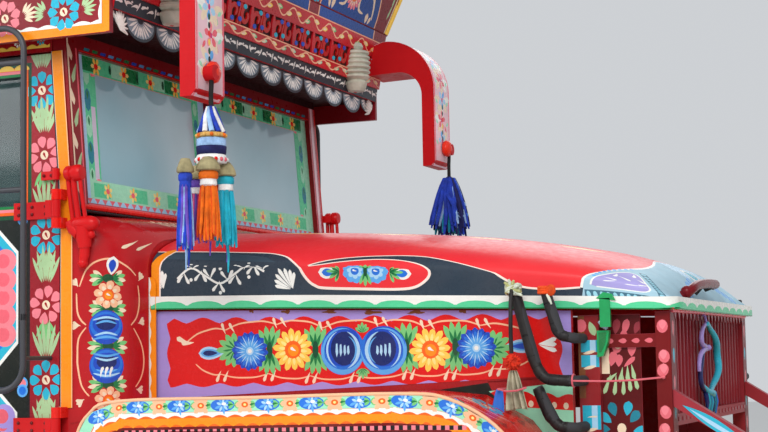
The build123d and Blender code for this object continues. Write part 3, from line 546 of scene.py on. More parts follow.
    def diamond_row(self, x0, x1, y, w, h, n, cols):
        step = (x1 - x0) / n
        for i in range(n):
            cx = x0 + (i + 0.5) * step
            self.add([(cx - w / 2, y), (cx, y + h / 2), (cx + w / 2, y), (cx, y - h / 2)], cols[i % len(cols)])

    # ---- make the mesh
    def underside(self, V, bnd, grid_pts):
        """Plain faces for the hidden side, on the same rim: rim numbers, points inside, triangles; None if they don't close."""
        ids = sorted({i for e in bnd for i in e})
        rim = {i: k for k, i in enumerate(ids)}
        flat = [Vector((V[i][0], V[i][1])) for i in ids] + [Vector(q) for q in grid_pts]
        V3, _, F3, ov3, _, _ = delaunay_2d_cdt(flat, [(rim[a], rim[b]) for a, b in bnd], [], 0, 1e-3)
        nb = len(ids)
        ren, extra = {}, []
        for k, src in enumerate(ov3):
            if not src:
                return None
            on = [q for q in src if q < nb]
            if on:
                ren[k] = on[0]
            else:
                ren[k] = None
        x1, y1 = (np.array([V[a][q] for a, _ in bnd]) for q in (0, 1))
        x2, y2 = (np.array([V[b][q] for _, b in bnd]) for q in (0, 1))
        with np.errstate(divide="ignore", invalid="ignore"):
            slope = (x2 - x1) / (y2 - y1)
        out = []
        for f in F3:
            cx, cy = (sum(V3[q][t] for q in f) / 3 for t in (0, 1))
            cut = (y1 > cy) != (y2 > cy)
            if np.count_nonzero(cut & (cx < x1 + (cy - y1) * slope)) % 2 == 0:
                continue
            tri = []
            for q in f:
                if ren[q] is None:
                    ren[q] = nb + len(extra)
                    extra.append((V3[q][0], V3[q][1]))
                tri.append(ren[q])
            a, b, c = (V3[q] for q in f)
            if (b[0] - a[0]) * (c[1] - a[1]) - (c[0] - a[0]) * (b[1] - a[1]) < 0:
                tri.reverse()
            out.append(tuple(tri))
        use = {}
        for t in out:
            for i in range(3):
                use[(t[i], t[(i + 1) % 3])] = use.get((t[i], t[(i + 1) % 3]), 0) + 1
        free = {e for e in use if (e[1], e[0]) not in use}
        if max(use.values(), default=2) > 1 or free != {(rim[a], rim[b]) for a, b in bnd}:
            return None
        return rim, extra, out

    def build(self, body="root", replaces=()):
        g = self.grid

        def dens(pts):
            if not g:
                return pts
            out = []
            k = len(pts)
            for i in range(k):
                a, b = pts[i], pts[(i + 1) % k]
                L = math.hypot(b[0] - a[0], b[1] - a[1])
                n = max(1, math.ceil(L / g))
                out += [(a[0] + (b[0] - a[0]) * j / n, a[1] + (b[1] - a[1]) * j / n) for j in range(n)]
            return out
        coords, fin, owner = [], [], []

        def feed(pts, rank):
            """Hands a loop to the triangulator, turned counterclockwise; a loop that crosses itself goes as triangles."""
            pts = dens(pts)
            if crosses(pts):
                n = len(pts)
                if n % 2 == 0:
                    h = n // 2
                    quads = [(pts[i], pts[i + 1], pts[n - 2 - i], pts[n - 1 - i]) for i in range(h - 1)]
                    tri = [t for q in quads for t in ((q[0], q[1], q[2]), (q[0], q[2], q[3]))]
                else:
                    tri = [tuple(pts[i] for i in t) for t in tessellate_polygon([[Vector((p[0], p[1], 0)) for p in pts]])]
            else:
                tri = [pts]
            for loop in tri:
                a2 = sum(loop[i][0] * loop[(i + 1) % len(loop)][1] - loop[(i + 1) % len(loop)][0] * loop[i][1] for i in range(len(loop)))
                if abs(a2) < 0.5:
                    continue
                if a2 < 0:
                    loop = loop[::-1]
                i0 = len(coords)
                coords.extend(Vector((p[0], p[1])) for p in loop)
                fin.append(list(range(i0, i0 + len(loop))))
                owner.append(rank)
        feed(self.outline, 0)
        nh = len(self.holes)
        for k, h in enumerate(self.holes):
            feed(h, 1 + k)
        xs = [p[0] for p in self.outline]
        ys = [p[1] for p in self.outline]
        x0, x1, y0, y1 = min(xs), max(xs), min(ys), max(ys)
        for k, (pts, col) in enumerate(self.art):
            if max(p[0] for p in pts) < x0 or min(p[0] for p in pts) > x1 or max(p[1] for p in pts) < y0 or min(p[1] for p in pts) > y1:
                continue
            feed(pts, 1 + nh + k)
        grid_pts = []
        if g:
            nx, ny = max(1, int((x1 - x0) / g)), max(1, int((y1 - y0) / g))
            for i in range(nx + 1):
                for j in range(ny + 1):
                    grid_pts.append((x0 + (x1 - x0) * (i + 0.5 * (j % 2)) / nx, y0 + (y1 - y0) * j / ny))
            coords.extend(Vector(q) for q in grid_pts)
        V, E, F, ov, oe, of = delaunay_2d_cdt(coords, [], fin, 0, 1e-3)
        cols = {}
        mats = []

        def mat_index(c):
            if c not in cols:
                cols[c] = len(mats)
                mats.append(PAINTS[c])
            return cols[c]
        tris = []
        for f, src in zip(F, of):
            src = [owner[s] for s in src]
            if 0 not in src or any(1 <= s <= nh for s in src):
                continue
            top = max(src)
            c = self.base if top == 0 else self.art[top - 1 - nh][1]
            tris.append((f, mat_index(c)))
        mesh = bpy.data.meshes.new(self.name)
        place = self.place
        pts3 = [Vector(place(v[0], v[1])) for v in V]
        def normal_at(u, v):
            a = Vector(place(u + 0.5, v)) - Vector(place(u - 0.5, v))
            b = Vector(place(u, v + 0.5)) - Vector(place(u, v - 0.5))
            n = a.cross(b)
            return n.normalized() if n.length > 0 else Vector((0, 0, 1))
        nrm = [normal_at(v[0], v[1]) for v in V]
        used = sorted({i for f, _ in tris for i in f})
        back = {i: k for k, i in enumerate(used)}
        nv = len(used)
        top_v = [P(*(pts3[i] + nrm[i] * (self.lift + self.thick))) for i in used]
        edge_use = {}
        for f, _ in tris:
            for i in range(3):
                a, b = f[i], f[(i + 1) % 3]
                edge_use[(a, b)] = edge_use.get((a, b), 0) + 1
        fl, mi = [], []
        for f, mt in tris:
            fl.append(tuple(back[i] for i in f))
            mi.append(mt)
        bnd = [(a, b) for (a, b) in edge_use if (b, a) not in edge_use]
        mb = mat_index(self.base)
        low = self.underside(V, bnd, grid_pts)
        if low is None:
            low_v = [P(*(pts3[i] + nrm[i] * self.lift)) for i in used]
            under = [tuple(back[i] for i in f) for f, _ in tris]
            rim = back
        else:
            rim, extra, under = low
            inv = sorted(rim, key=rim.get)
            low_v = [P(*(pts3[i] + nrm[i] * self.lift)) for i in inv]
            low_v += [P(*(Vector(place(u, v)) + normal_at(u, v) * self.lift)) for u, v in extra]
        for f in under:
            fl.append(tuple(i + nv for i in reversed(f)))
            mi.append(mb)
        for a, b in bnd:
            fl.append((back[b], back[a], rim[a] + nv, rim[b] + nv))
            mi.append(mb)
        mesh.from_pydata([tuple(v) for v in top_v + low_v], [], fl)
        for mt in mats:
            mesh.materials.append(mt)
        mesh.polygons.foreach_set("material_index", mi)
        if self.curved:
            mesh.polygons.foreach_set("use_smooth", [True] * len(fl))
            mesh.update()
            for ed in mesh.edges:
                pass
        mesh.validate()
        mesh.update()
        ob = bpy.data.objects.new(self.name, mesh)
        scene.collection.objects.link(ob)
        if self.curved:
            sharp_edges(ob, 40)
        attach(ob, body)
        if replaces:
            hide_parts(*replaces)
        return ob


def densify(line, step):
    out = []
    for a, b in zip(line, line[1:]):
        L = math.hypot(b[0] - a[0], b[1] - a[1])
        n = max(1, math.ceil(L / step))
        out += [(a[0] + (b[0] - a[0]) * j / n, a[1] + (b[1] - a[1]) * j / n) for j in range(n)]
    out.append(line[-1])
    return out


def sharp_edges(ob, deg):
    bm = bmesh.new()
    bm.from_mesh(ob.data)
    lim = math.radians(deg)
    for e in bm.edges:
        if len(e.link_faces) == 2 and e.calc_face_angle(0.0) > lim:
            e.smooth = False
    bm.to_mesh(ob.data)
    bm.free()


# ================================================================ plain mesh helpers, all in millimetres
def mesh_obj(name, verts, faces, mats, body="root", smooth=False, index=None, replaces=(), sharp=35):
    me = bpy.data.meshes.new(name)
    me.from_pydata([tuple(P(*v)) for v in verts], [], faces)
    for mt in (mats if isinstance(mats, (list, tuple)) else [mats]):
        me.materials.append(PAINTS[mt] if isinstance(mt, str) else mt)
    if index:
        me.polygons.foreach_set("material_index", index)
    if smooth:
        me.polygons.foreach_set("use_smooth", [True] * len(me.polygons))
    me.validate()
    me.update()
    ob = bpy.data.objects.new(name, me)
    scene.collection.objects.link(ob)
    if smooth and sharp:
        sharp_edges(ob, sharp)
    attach(ob, body)
    if replaces:
        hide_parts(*replaces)
    return ob


def mir(ob, body="root", name=None, replaces=()):
    """The same piece on the other side of the truck."""
    me = ob.data.copy()
    me.name = name or ob.name + "_L"
    for v in me.vertices:
        v.co.y = -v.co.y
    me.flip_normals()
    me.update()
    o2 = bpy.data.objects.new(me.name, me)
    scene.collection.objects.link(o2)
    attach(o2, body)
    if replaces:
        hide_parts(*replaces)
    return o2


class Bag:
    """Collects many small shapes into one mesh."""

    def __init__(self):
        self.v, self.f, self.m = [], [], []
        self.mats = []

    def mat(self, m):
        if m not in self.mats:
            self.mats.append(m)
        return self.mats.index(m)

    def add(self, verts, faces, mat):
        k = len(self.v)
        i = self.mat(mat)
        self.v += [tuple(v) for v in verts]
        self.f += [tuple(a + k for a in f) for f in faces]
        self.m += [i] * len(faces)

    def box(self, x0, x1, y0, y1, z0, z1, mat):
        x0, x1 = min(x0, x1), max(x0, x1)
        y0, y1 = min(y0, y1), max(y0, y1)
        z0, z1 = min(z0, z1), max(z0, z1)
        v = [(x, y, z) for z in (z0, z1) for y in (y0, y1) for x in (x0, x1)]
        self.add(v, [(0, 2, 3, 1), (4, 5, 7, 6), (0, 1, 5, 4), (2, 6, 7, 3), (0, 4, 6, 2), (1, 3, 7, 5)], mat)

    def tube(self, pts, r, mat, seg=8, closed=False, caps=True):
        pts = [Vector(p) for p in pts]
        n = len(pts)
        ref = None
        rings = []
        for i, p in enumerate(pts):
            if closed:
                t = (pts[(i + 1) % n] - pts[i - 1]).normalized()
            else:
                t = (pts[min(i + 1, n - 1)] - pts[max(i - 1, 0)]).normalized()
            if ref is None:
                ref = t.orthogonal().normalized()
            ref = (ref - t * ref.dot(t)).normalized()
            side = t.cross(ref)
            rr = r[i] if isinstance(r, (list, tuple)) else r
            rings.append([p + (ref * math.cos(a) + side * math.sin(a)) * rr for a in [2 * math.pi * j / seg for j in range(seg)]])
        v = [q for ring in rings for q in ring]
        f = []
        for i in range(n if closed else n - 1):
            a, b = i * seg, ((i + 1) % n) * seg
            for j in range(seg):
                k = (j + 1) % seg
                f.append((a + j, a + k, b + k, b + j))
        if caps and not closed:
            f.append(tuple(range(seg - 1, -1, -1)))
            f.append(tuple((n - 1) * seg + j for j in range(seg)))
        self.add(v, f, mat)

    def lathe(self, prof, c, axis, mat, seg=24, closed=False):
        """prof is (radius, along) pairs about an axis through c; axis is 'x', 'y' or 'z'."""
        n = len(prof)
        v, f = [], []
        for r, t in prof:
            for j in range(seg):
                a = 2 * math.pi * j / seg
                p, q = r * math.cos(a), r * math.sin(a)
                if axis == "z":
                    v.append((c[0] + p, c[1] + q, c[2] + t))
                elif axis == "x":
                    v.append((c[0] + t, c[1] + p, c[2] + q))
                else:
                    v.append((c[0] + q, c[1] + t, c[2] + p))
        for i in range(n if closed else n - 1):
            a, b = i * seg, ((i + 1) % n) * seg
            for j in range(seg):
                k = (j + 1) % seg
                f.append((a + j, a + k, b + k, b + j))
        if not closed:
            if prof[0][0] > 0.01:
                f.append(tuple(range(seg - 1, -1, -1)))
            if prof[-1][0] > 0.01:
                f.append(tuple((n - 1) * seg + j for j in range(seg)))
        self.add(v, f, mat)

    def ball(self, c, r, mat, seg=10, squash=1.0):
        k = max(4, seg // 2)
        prof = [(max(0.02, r * math.sin(math.pi * i / k)), -r * squash * math.cos(math.pi * i / k)) for i in range(k + 1)]
        self.lathe(prof, c, "z", mat, seg)

    def prism(self, pts, depth, place, mat):
        """A flat outline in (u, v) raised by depth along the place's normal: place(u, v, d)."""
        n = len(pts)
        low = [place(u, v, 0.0) for u, v in pts]
        top = [place(u, v, depth) for u, v in pts]
        tri = tessellate_polygon([[Vector((u, v, 0)) for u, v in pts]])
        area2 = sum(pts[i][0] * pts[(i + 1) % n][1] - pts[(i + 1) % n][0] * pts[i][1] for i in range(n))
        f = []
        for t in tri:
            a, b, c = t
            s = (pts[b][0] - pts[a][0]) * (pts[c][1] - pts[a][1]) - (pts[c][0] - pts[a][0]) * (pts[b][1] - pts[a][1])
            if s < 0:
                a, b, c = a, c, b
            f.append((a + n, b + n, c + n))
            f.append((a, c, b))
        for i in range(n):
            j = (i + 1) % n
            f.append((i, j, j + n, i + n) if area2 > 0 else (j, i, i + n, j + n))
        self.add(low + top, f, mat)

    def mirrored(self):
        b = Bag()
        b.mats = list(self.mats)
        b.v = [(x, -y, z) for x, y, z in self.v]
        b.f = [tuple(reversed(f)) for f in self.f]
        b.m = list(self.m)
        return b

    def make(self, name, body="root", smooth=False, slot=None, replaces=(), sharp=35, fix=True):
        ob = mesh_obj(name, self.v, self.f, self.mats, body, False, self.m, replaces)
        if fix:
            bm = bmesh.new()
            bm.from_mesh(ob.data)
            bmesh.ops.remove_doubles(bm, verts=bm.verts, dist=1e-6)
            bmesh.ops.recalc_face_normals(bm, faces=bm.faces)
            bm.to_mesh(ob.data)
            bm.free()
        if smooth:
            ob.data.polygons.foreach_set("use_smooth", [True] * len(ob.data.polygons))
            sharp_edges(ob, sharp)
        return ob


def side_place(y):
    """Right-hand side plane at y (negative): u runs forward, v up."""
    return lambda u, v: (u, y, v)


def front_place(x):
    return lambda u, v: (x, u, v)


def rear_place(x):
    return lambda u, v: (x, -u, v)


def top_place(z):
    return lambda u, v: (u, v, z)


def rectp(x0, x1, y0, y1):
    return [(x0, y0), (x1, y0), (x1, y1), (x0, y1)]


def spray(cv, x, y, ang, length, n, col, w=9, curl=0.25, col2=None):
    """A plain brushed sprig: a curved stem with a comma each side at every node."""
    pts = []
    a = ang
    px, py = x, y
    for i in range(n + 2):
        pts.append((px, py))
        px += math.cos(a) * length / (n + 1)
        py += math.sin(a) * length / (n + 1)
        a += curl / n
    cv.stroke(pts, w * 0.45, col, (0.7, 0.2))
    for i in range(1, n + 1):
        aa = math.atan2(pts[i + 1][1] - pts[i][1], pts[i + 1][0] - pts[i][0])
        ll = length / (n + 1) * 1.25
        for s in (1, -1):
            cv.comma(pts[i][0] + math.cos(aa + s * 0.9) * ll, pts[i][1] + math.sin(aa + s * 0.9) * ll, aa + s * 0.9 + math.pi, ll, w, (col2 or col) if i % 2 else col, -0.3 * s, 7)
    cv.comma(pts[-1][0] + math.cos(a) * w, pts[-1][1] + math.sin(a) * w, a + math.pi, length / (n + 1), w, col, 0.0, 7)


def garland(cv, pts, w, col, commas=0, cl=26, up=1):
    """A thin painted line swagged through the points with a pair of commas where swags meet."""
    for a, b in zip(pts, pts[1:]):
        m_ = ((a[0] + b[0]) / 2, (a[1] + b[1]) / 2 + up * 0.12 * math.hypot(b[0] - a[0], b[1] - a[1]))
        cv.stroke([a, ((a[0] * 2 + m_[0]) / 3, a[1] + (m_[1] - a[1]) * 0.62), m_, ((b[0] * 2 + m_[0]) / 3, b[1] + (m_[1] - b[1]) * 0.62), b], w, col, (0.5, 0.5), 4)
    for p in pts[1:-1]:
        for i in range(commas):
            cv.comma(p[0] + (i - (commas - 1) / 2) * w * 4.2, p[1] + up * cl * 0.75, -math.pi / 2 * up, cl, w * 2.4, col, 0.25)


def peach_flower(cv, x, y, r, rot=0.0, cols=("peach", "cream"), centre=("deeporange", "orange", "white"), n=8):
    cv.daisy(x, y, r, n, cols, centre, rot=rot, inner=0.42)


def open_flower(cv, x, y, r, col, n=8, ring="cream", mid="crimson", rot=0.0):
    """Loose round petals set apart from a light centre, as brushed on the pillars."""
    for i in range(n):
        a = rot + 2 * math.pi * i / n
        cv.petal(x, y, a, r * 0.36, r * (1.0 + 0.06 * math.sin(3.1 * i)), r * 0.52, col, 1.0)
    cv.disk(x, y, r * 0.24, ring, n=14)
    cv.comma(x - r * 0.05, y + r * 0.14, -1.3, r * 0.34, r * 0.14, mid, 0.4, 6)


def tuft(cv, x, y, ang, r, n, spread, col, w):
    for i in range(n):
        a = ang + spread * (i / (n - 1) - 0.5)
        cv.petal(x, y, a, r * 0.22, r * (1.0 - 0.22 * abs(i / (n - 1) - 0.5) * 2), w, col, 0.4, 6)


def checker(cv, x0, x1, y0, y1, n, cols):
    step = (x1 - x0) / n
    h = (y1 - y0) / 2
    for i in range(n):
        cv.rect(x0 + i * step, x0 + (i + 1) * step, y0, y0 + h, cols[i % 2])
        cv.rect(x0 + i * step, x0 + (i + 1) * step, y0 + h, y1, cols[(i + 1) % 2])


def floral_panel(cv, x0, x1, y0, y1, field="red", border="lavender", line="peach", seed=0):
    """A framed field with a row or column of blooms tied by leaves, and a swagged line round it."""
    w, h = x1 - x0, y1 - y0
    cv.rect(x0, x1, y0, y1, border)
    m_ = min(w, h) * 0.12
    cv.cusp_field(x0 + m_, x1 - m_, y0 + m_, y1 - m_, min(w, h) * 0.42, min(w, h) * 0.05, field)
    horiz = w > h
    L = (w if horiz else h) - 2 * m_
    T = (h if horiz else w) - 2 * m_
    r = T * 0.27
    n = max(1, int(L / (r * 2.9)))
    step = L / n
    kinds = ["blue", "yellow", "rose", "peach"]
    cx, cy = (x0 + x1) / 2, (y0 + y1) / 2
    for i in range(n):
        t = -L / 2 + (i + 0.5) * step
        px, py = (cx + t, cy) if horiz else (cx, cy + t)
        k = kinds[(i if i < n / 2 else n - 1 - i) % 4 if n > 2 else (i + seed) % 4]
        for s in (-1, 1):
            bx_, by = (px + s * r * 1.12, py) if horiz else (px, py + s * r * 1.12)
            a = (0 if s > 0 else math.pi) if horiz else (math.pi / 2 * s)
            cv.leaf_fan(bx_ - math.cos(a) * r * 0.4, by - math.sin(a) * r * 0.4, a, r * 0.95, 5, 2.5)
        if k == "blue":
            cv.blue_daisy(px, py, r * 0.98)
        elif k == "yellow":
            cv.daisy(px, py, r, 12, ("yellow", "paleyellow"), ("deeporange", "orange", "white"))
        elif k == "rose":
            cv.rose(px, py, r * 1.04, r, 1 if i % 2 else -1)
        else:
            cv.daisy(px, py, r, 9, ("peach", "cream"), ("deeporange", "orange", "white"))
    g = T * 0.44
    if horiz:
        for s in (-1, 1):
            pts = [(cx - L / 2 + step * (i + 0.0) * 1.0, cy + s * g * 0.86) for i in range(n + 1)]
            garland(cv, pts, T * 0.016, line, 2, T * 0.09, s)
    else:
        for s in (-1, 1):
            pts = [(cx + s * g * 0.86, cy - L / 2 + step * i) for i in range(n + 1)]
            for a, b in zip(pts, pts[1:]):
                m2 = ((a[0] + b[0]) / 2 + s * T * 0.05, (a[1] + b[1]) / 2)
                cv.stroke([a, m2, b], T * 0.016, line, (0.5, 0.5), 6)
            for p in pts[1:-1]:
                cv.comma(p[0] + s * T * 0.07, p[1] + T * 0.02, math.pi if s > 0 else 0, T * 0.09, T * 0.035, line, 0.3)
                cv.comma(p[0] + s * T * 0.07, p[1] - T * 0.03, math.pi if s > 0 else 0, T * 0.09, T * 0.035, line, -0.3)

# ================================================================ bonnet
# x, half width, lower edge z, side's top z, crown z
BON = [(156, 752, 1556, 1690, 1842), (620, 722, 1548, 1676, 1824), (1130, 690, 1534, 1650, 1788), (1560, 662, 1522, 1612, 1722),
       (1700, 652, 1517, 1590, 1682), (1790, 646, 1514, 1570, 1638), (1845, 641, 1512, 1552, 1580), (1866, 638, 1511, 1544, 1552)]


def interp_rows(rows, x):
    """Monotone cubic through the rows' columns."""
    n = len(rows)
    if x <= rows[0][0]:
        return list(rows[0][1:])
    if x >= rows[-1][0]:
        return list(rows[-1][1:])
    i = max(k for k in range(n - 1) if rows[k][0] <= x)
    h = rows[i + 1][0] - rows[i][0]
    t = (x - rows[i][0]) / h
    out = []
    for c in range(1, len(rows[0])):
        d = [(rows[k + 1][c] - rows[k][c]) / (rows[k + 1][0] - rows[k][0]) for k in range(n - 1)]

        def slope(k):
            if k == 0:
                return d[0]
            if k == n - 1:
                return d[-1]
            return 0.0 if d[k - 1] * d[k] <= 0 else 2 * d[k - 1] * d[k] / (d[k - 1] + d[k])
        y0, y1, m0, m1 = rows[i][c], rows[i + 1][c], slope(i) * h, slope(i + 1) * h
        out.append((2 * t ** 3 - 3 * t * t + 1) * y0 + (t ** 3 - 2 * t * t + t) * m0 + (-2 * t ** 3 + 3 * t * t) * y1 + (t ** 3 - t * t) * m1)
    return out


def bon(u, v):
    uu = min(u, 1866.0)
    w, zb, z1, zt = interp_rows(BON, uu)
    s = -1
    if v > 920:
        v = 1840 - v
        s = 1
    if v <= 130:
        x, y, z = uu, s * w, zb + (z1 - zb) * v / 130
    else:
        a = math.pi / 2 * (1 - (v - 130) / 790)
        x, y, z = uu, s * w * math.sin(max(a, 0.0)) ** 0.8, z1 + (zt - z1) * math.cos(a)
    if u > 1866:
        t = min(1.0, (u - 1866) / 40.0)
        z = z + (zb + 1 - z) * t * 0.98
        x = x + 3 * math.sin(t * math.pi / 2) + (1 - (y / 640.0) ** 2) * 5 * t
    return (x, y, z)


bc = Canvas("bonnet_skin", rectp(156, 1904, 0, 1840), "bonnet_red_painted_sheen", bon, grid=42, curved=True, lift=-12, thick=12)


def two(fn):
    """Draws on the bonnet's right side, then the same on its left."""
    fn(lambda p: p)
    fn(lambda p: (p[0], 1840 - p[1]))


edge1 = smooth([(156, 323), (310, 321), (458, 309), (535, 302), (582, 290), (629, 255), (659, 194), (683, 130), (708, 92), (735, 72), (770, 64), (907, 62), (1002, 62),
                (1061, 68), (1095, 86), (1116, 112), (1112, 140), (1092, 182), (1058, 215), (1010, 236), (949, 240), (884, 226), (813, 200), (752, 168), (712, 150)], 4)
edge2 = smooth([(712, 158), (748, 194), (801, 232), (878, 264), (949, 281), (1020, 292), (1085, 289), (1140, 268), (1215, 222), (1286, 166),
                (1340, 120), (1390, 90), (1440, 78), (1523, 80), (1590, 92)], 4)
plate = smooth([(1594, 92), (1612, 200), (1665, 314), (1722, 450), (1745, 560), (1738, 700), (1700, 850), (1690, 920)], 4)


def band_art(m_):
    q = lambda pts: [m_(p) for p in pts]
    bc.add(q([(156, 30)] + [(156, 323)] + edge1 + edge2 + [(1600, 92), (1600, 30)]), "slate")
    # lozenge edge, then the two outlines
    bc.add(q([(156, 240), (156, 300), (430, 296), (560, 250), (600, 190), (400, 215)]), "slate2")
    bc.band(q(edge1), 9, "cream2", 0)
    bc.band(q(edge2), 8, "cream2", 0)
    bc.band(q([(156, 31), (1500, 31), (1860, 31)]), 6, "white", 0)


PAINTS_BON = True
# Bonnet red: its base is made paler than the paint's own red to stand in for the sheen on the bonnet's top, so it is
# partly painted highlight.
paint("bonnet_red_painted_sheen", (230, 42, 50), rough=0.42, coat=0.9, fade=0.10, dust=0.16)
paint("slate2", (56, 74, 88), rough=0.22, coat=0.5, dust=0.2)
paint("cream2", (246, 226, 214), dust=0.15)
paint("nosesilver", (164, 200, 216), rough=0.5, metal=0.1, coat=0.2, fade=0.25)
paint("lavgrey", (160, 152, 208), rough=0.4, fade=0.2, dust=0.1)
paint("bandteal", (66, 108, 128), rough=0.4, fade=0.2, dust=0.15)
paint("beadblue", (150, 204, 220), rough=0.4, dust=0.1)
two(band_art)


def lozenge_art(m_):
    def fl(x, y, r):
        cx, cy = m_((x, y))
        bc.disk(cx, cy, r, "midblue", n=22)
        for k in range(9):
            a = 2 * math.pi * k / 9
            bc.petal(cx, cy, a, r * 0.3, r * 1.12, r * 0.62, "skyblue", 1.0)
        for k in range(7):
            a = 2 * math.pi * k / 7 + 0.3
            bc.petal(cx, cy, a, r * 0.1, r * 0.72, r * 0.44, "paleblue", 0.8)
        bc.disk(cx, cy, r * 0.36, "midblue", n=12)
        bc.comma(cx - r * 0.2, cy + r * 0.1, -0.6, r * 0.4, r * 0.16, "white", 0.6)
    sgn = 1 if m_((0, 0))[1] == 0 else -1
    for x, a in ((782, 0.0), (1022, math.pi)):
        cx, cy = m_((x, 116))
        bc.petal(cx, cy, math.pi - a if False else (math.pi if a == 0 else 0), -26, 36, 42, "white", 0.6)
        bc.petal(cx, cy, (math.pi if a == 0 else 0), -18, 24, 26, "midblue", 0.6)
    for x, d in ((818, math.pi), (986, 0.0)):
        cx, cy = m_((x, 120))
        bc.leaf_fan(cx, cy, d, 46, 5, 2.4)
        bc.leaf_fan(cx, cy, d + 0.4, 34, 3, 1.6, ("green", "darkgreen"))
    for x in (870, 940):
        fl(x, 122, 38)
    cx, cy = m_((905, 122))
    bc.leaf_bow(cx, cy, 52, 3, 0.8)


two(lozenge_art)


def slate_sprays(m_):
    """Plain brushed sprigs and fans in white on the dark band."""
    flip = 1 if m_((0, 0))[1] == 0 else -1
    for cx, cy, a, n, L, w in ((196, 60, 1.95, 6, 74, 12), (655, 56, 2.15, 7, 86, 12)):
        for i in range(n):
            aa = (a + 0.24 * (i - (n - 1) / 2))
            ll = L * (1 - 0.10 * abs(i - (n - 1) / 2))
            px, py = m_((cx + math.cos(aa) * ll, cy + math.sin(aa) * ll))
            bc.comma(px, py, (aa + math.pi) * flip if flip > 0 else -(aa + math.pi), ll * 0.9, w, "white", 0.1)
    # a scrolled vine with leaves
    vine = smooth([(250, 96), (300, 130), (352, 104), (405, 80), (458, 112), (506, 140), (560, 118)], 5)
    bc.band([m_(p) for p in vine], 7, "white", 0)
    for i, (x, y) in enumerate([(268, 112), (300, 130), (330, 118), (362, 98), (394, 84), (424, 90), (452, 108), (482, 128), (516, 138), (548, 124)]):
        up = 1 if i % 2 else -1
        for k, (aa, ll) in enumerate(((0.9 * up, 42), (2.1 * up, 34))):
            px, py = m_((x + math.cos(aa) * ll, y + math.sin(aa) * ll))
            back = aa + math.pi
            bc.comma(px, py, back if flip > 0 else -back, ll, 11, "white", 0.35 * up * flip)
    for x, y in ((300, 170), (352, 150), (405, 128), (458, 158), (505, 182), (300, 92), (405, 50), (506, 100)):
        px, py = m_((x, y))
        bc.disk(px, py, 6, "white", n=10)


two(slate_sprays)


def nose_art(m_):
    q = lambda pts: [m_(p) for p in pts]
    bc.add(q([(1594, 38), (1600, 92)] + plate + [(1800, 920), (1904, 920), (1904, 38)]), "nosesilver")
    bc.band(q(plate), 8, "white", 0)
    inner = smooth([(1622, 110), (1636, 190), (1668, 262), (1700, 330), (1730, 372), (1758, 350), (1782, 262), (1800, 160), (1788, 112), (1720, 104), (1640, 104)], 4)
    bc.add(q(inner), "lavgrey")
    bc.band(q(inner), 6, "white", 0)
    low_row = [(1604 + 246 * i / 12, 64 + 4 * math.sin(i * 0.25)) for i in range(13)]
    bc.band(q(low_row), 42, "bandteal", 0)
    for i in range(12):
        t = (i + 0.5) / 12
        cx, cy = m_((1606 + 242 * t, 64 + 4 * math.sin(t * 3)))
        bc.disk(cx, cy, 6.4, "beadblue", 16, rot=0.2, n=12)
    arc_row = [(1838 - 80 * i / 12 + 14 * math.sin(math.pi * i / 12), 96 + 330 * i / 12) for i in range(13)]
    bc.band(q(arc_row), 24, "bandteal", 0)
    for i in range(10):
        t = (i + 0.5) / 10
        cx, cy = m_((1838 - 80 * t + 14 * math.sin(math.pi * t), 96 + 330 * t))
        bc.disk(cx, cy, 8.5, "beadblue", 12, n=12)
    for i in range(9):
        t = i / 8
        p = (1632 + 92 * t ** 1.3, 210 + 230 * t)
        cx, cy = m_(p)
        bc.disk(cx, cy, 7, "skyblue", 11, n=10)
    # a sprig in the middle of the lavender field
    flip = 1 if m_((0, 0))[1] == 0 else -1
    for x, y, aa, ll in ((1660, 150, 0.4, 50), (1700, 190, 2.4, 46), (1725, 150, 0.2, 56), (1740, 220, 2.0, 60), (1765, 180, 0.6, 44), (1690, 250, 1.2, 50), (1745, 300, 1.4, 52), (1782, 240, 1.9, 46)):
        px, py = m_((x, y))
        bc.comma(px, py, aa * flip, ll, 13, "white", 0.5 * flip)


two(nose_art)
# crest over the middle of the nose
cren = [(1726, 920)]
for i in range(11):
    a = math.pi / 2 + math.pi * i / 10
    bc.petal(1790, 920, a, 20, 96 + 10 * (i % 2), 40, "paleblue", 0.8)
bc.disk(1790, 920, 34, "white", n=18)
bc.disk(1790, 920, 22, "turquoise", n=14)
for s in (-1, 1):
    for i in range(4):
        bc.petal(1806 + 14 * i, 920 + s * (70 + 60 * i), s * 1.1, 0, 80 - 10 * i, 26, "skyblue", 0.6)
    # long teardrops along the crown of the bonnet
    for i, x in enumerate((420, 760, 1100, 1420)):
        bc.petal(x, 920 + s * 210, 0.0 + s * 0.12, 0, 230 - 20 * i, 46, "orange", 0.7, 10)
        bc.petal(x + 16, 920 + s * 211, 0.0 + s * 0.12, 0, 180 - 20 * i, 24, "paleyellow", 0.7, 8)
for i, x in enumerate((330, 640, 960, 1270, 1540)):
    r = 74 - 7 * i
    for k in range(12):
        a = 2 * math.pi * k / 12
        bc.petal(x, 920, a, r * 0.25, r * 1.05, r * 0.5, "white" if i % 2 else "paleyellow", 0.9)
    bc.disk(x, 920, r * 0.40, "blue" if i % 2 else "deeporange", n=18)
    bc.disk(x, 920, r * 0.20, "paleyellow", n=12)
    for s in (-1, 1):
        bc.leaf_fan(x + 0, 920 + s * r * 1.0, s * math.pi / 2, r * 0.9, 5, 2.2)
for m_ in (lambda p: p, lambda p: (p[0], 1840 - p[1])):
    bc.add([m_(p) for p in [(156, 0), (187, 0), (187, 130), (190, 200), (200, 262), (222, 330), (214, 352), (188, 330), (168, 262), (156, 190)]], "orange")
    bc.band([m_(p) for p in [(187, 0), (187, 130), (191, 200), (202, 262), (224, 332)]], 5, "cream2", 0)
    bc.wave_band([m_(p) for p in [(156, 0), (156, 190), (168, 262), (188, 330)]], 4, 5, 50, "white", 0)
bonnet_skin = bc.build("bonnet", ("bonnet",))

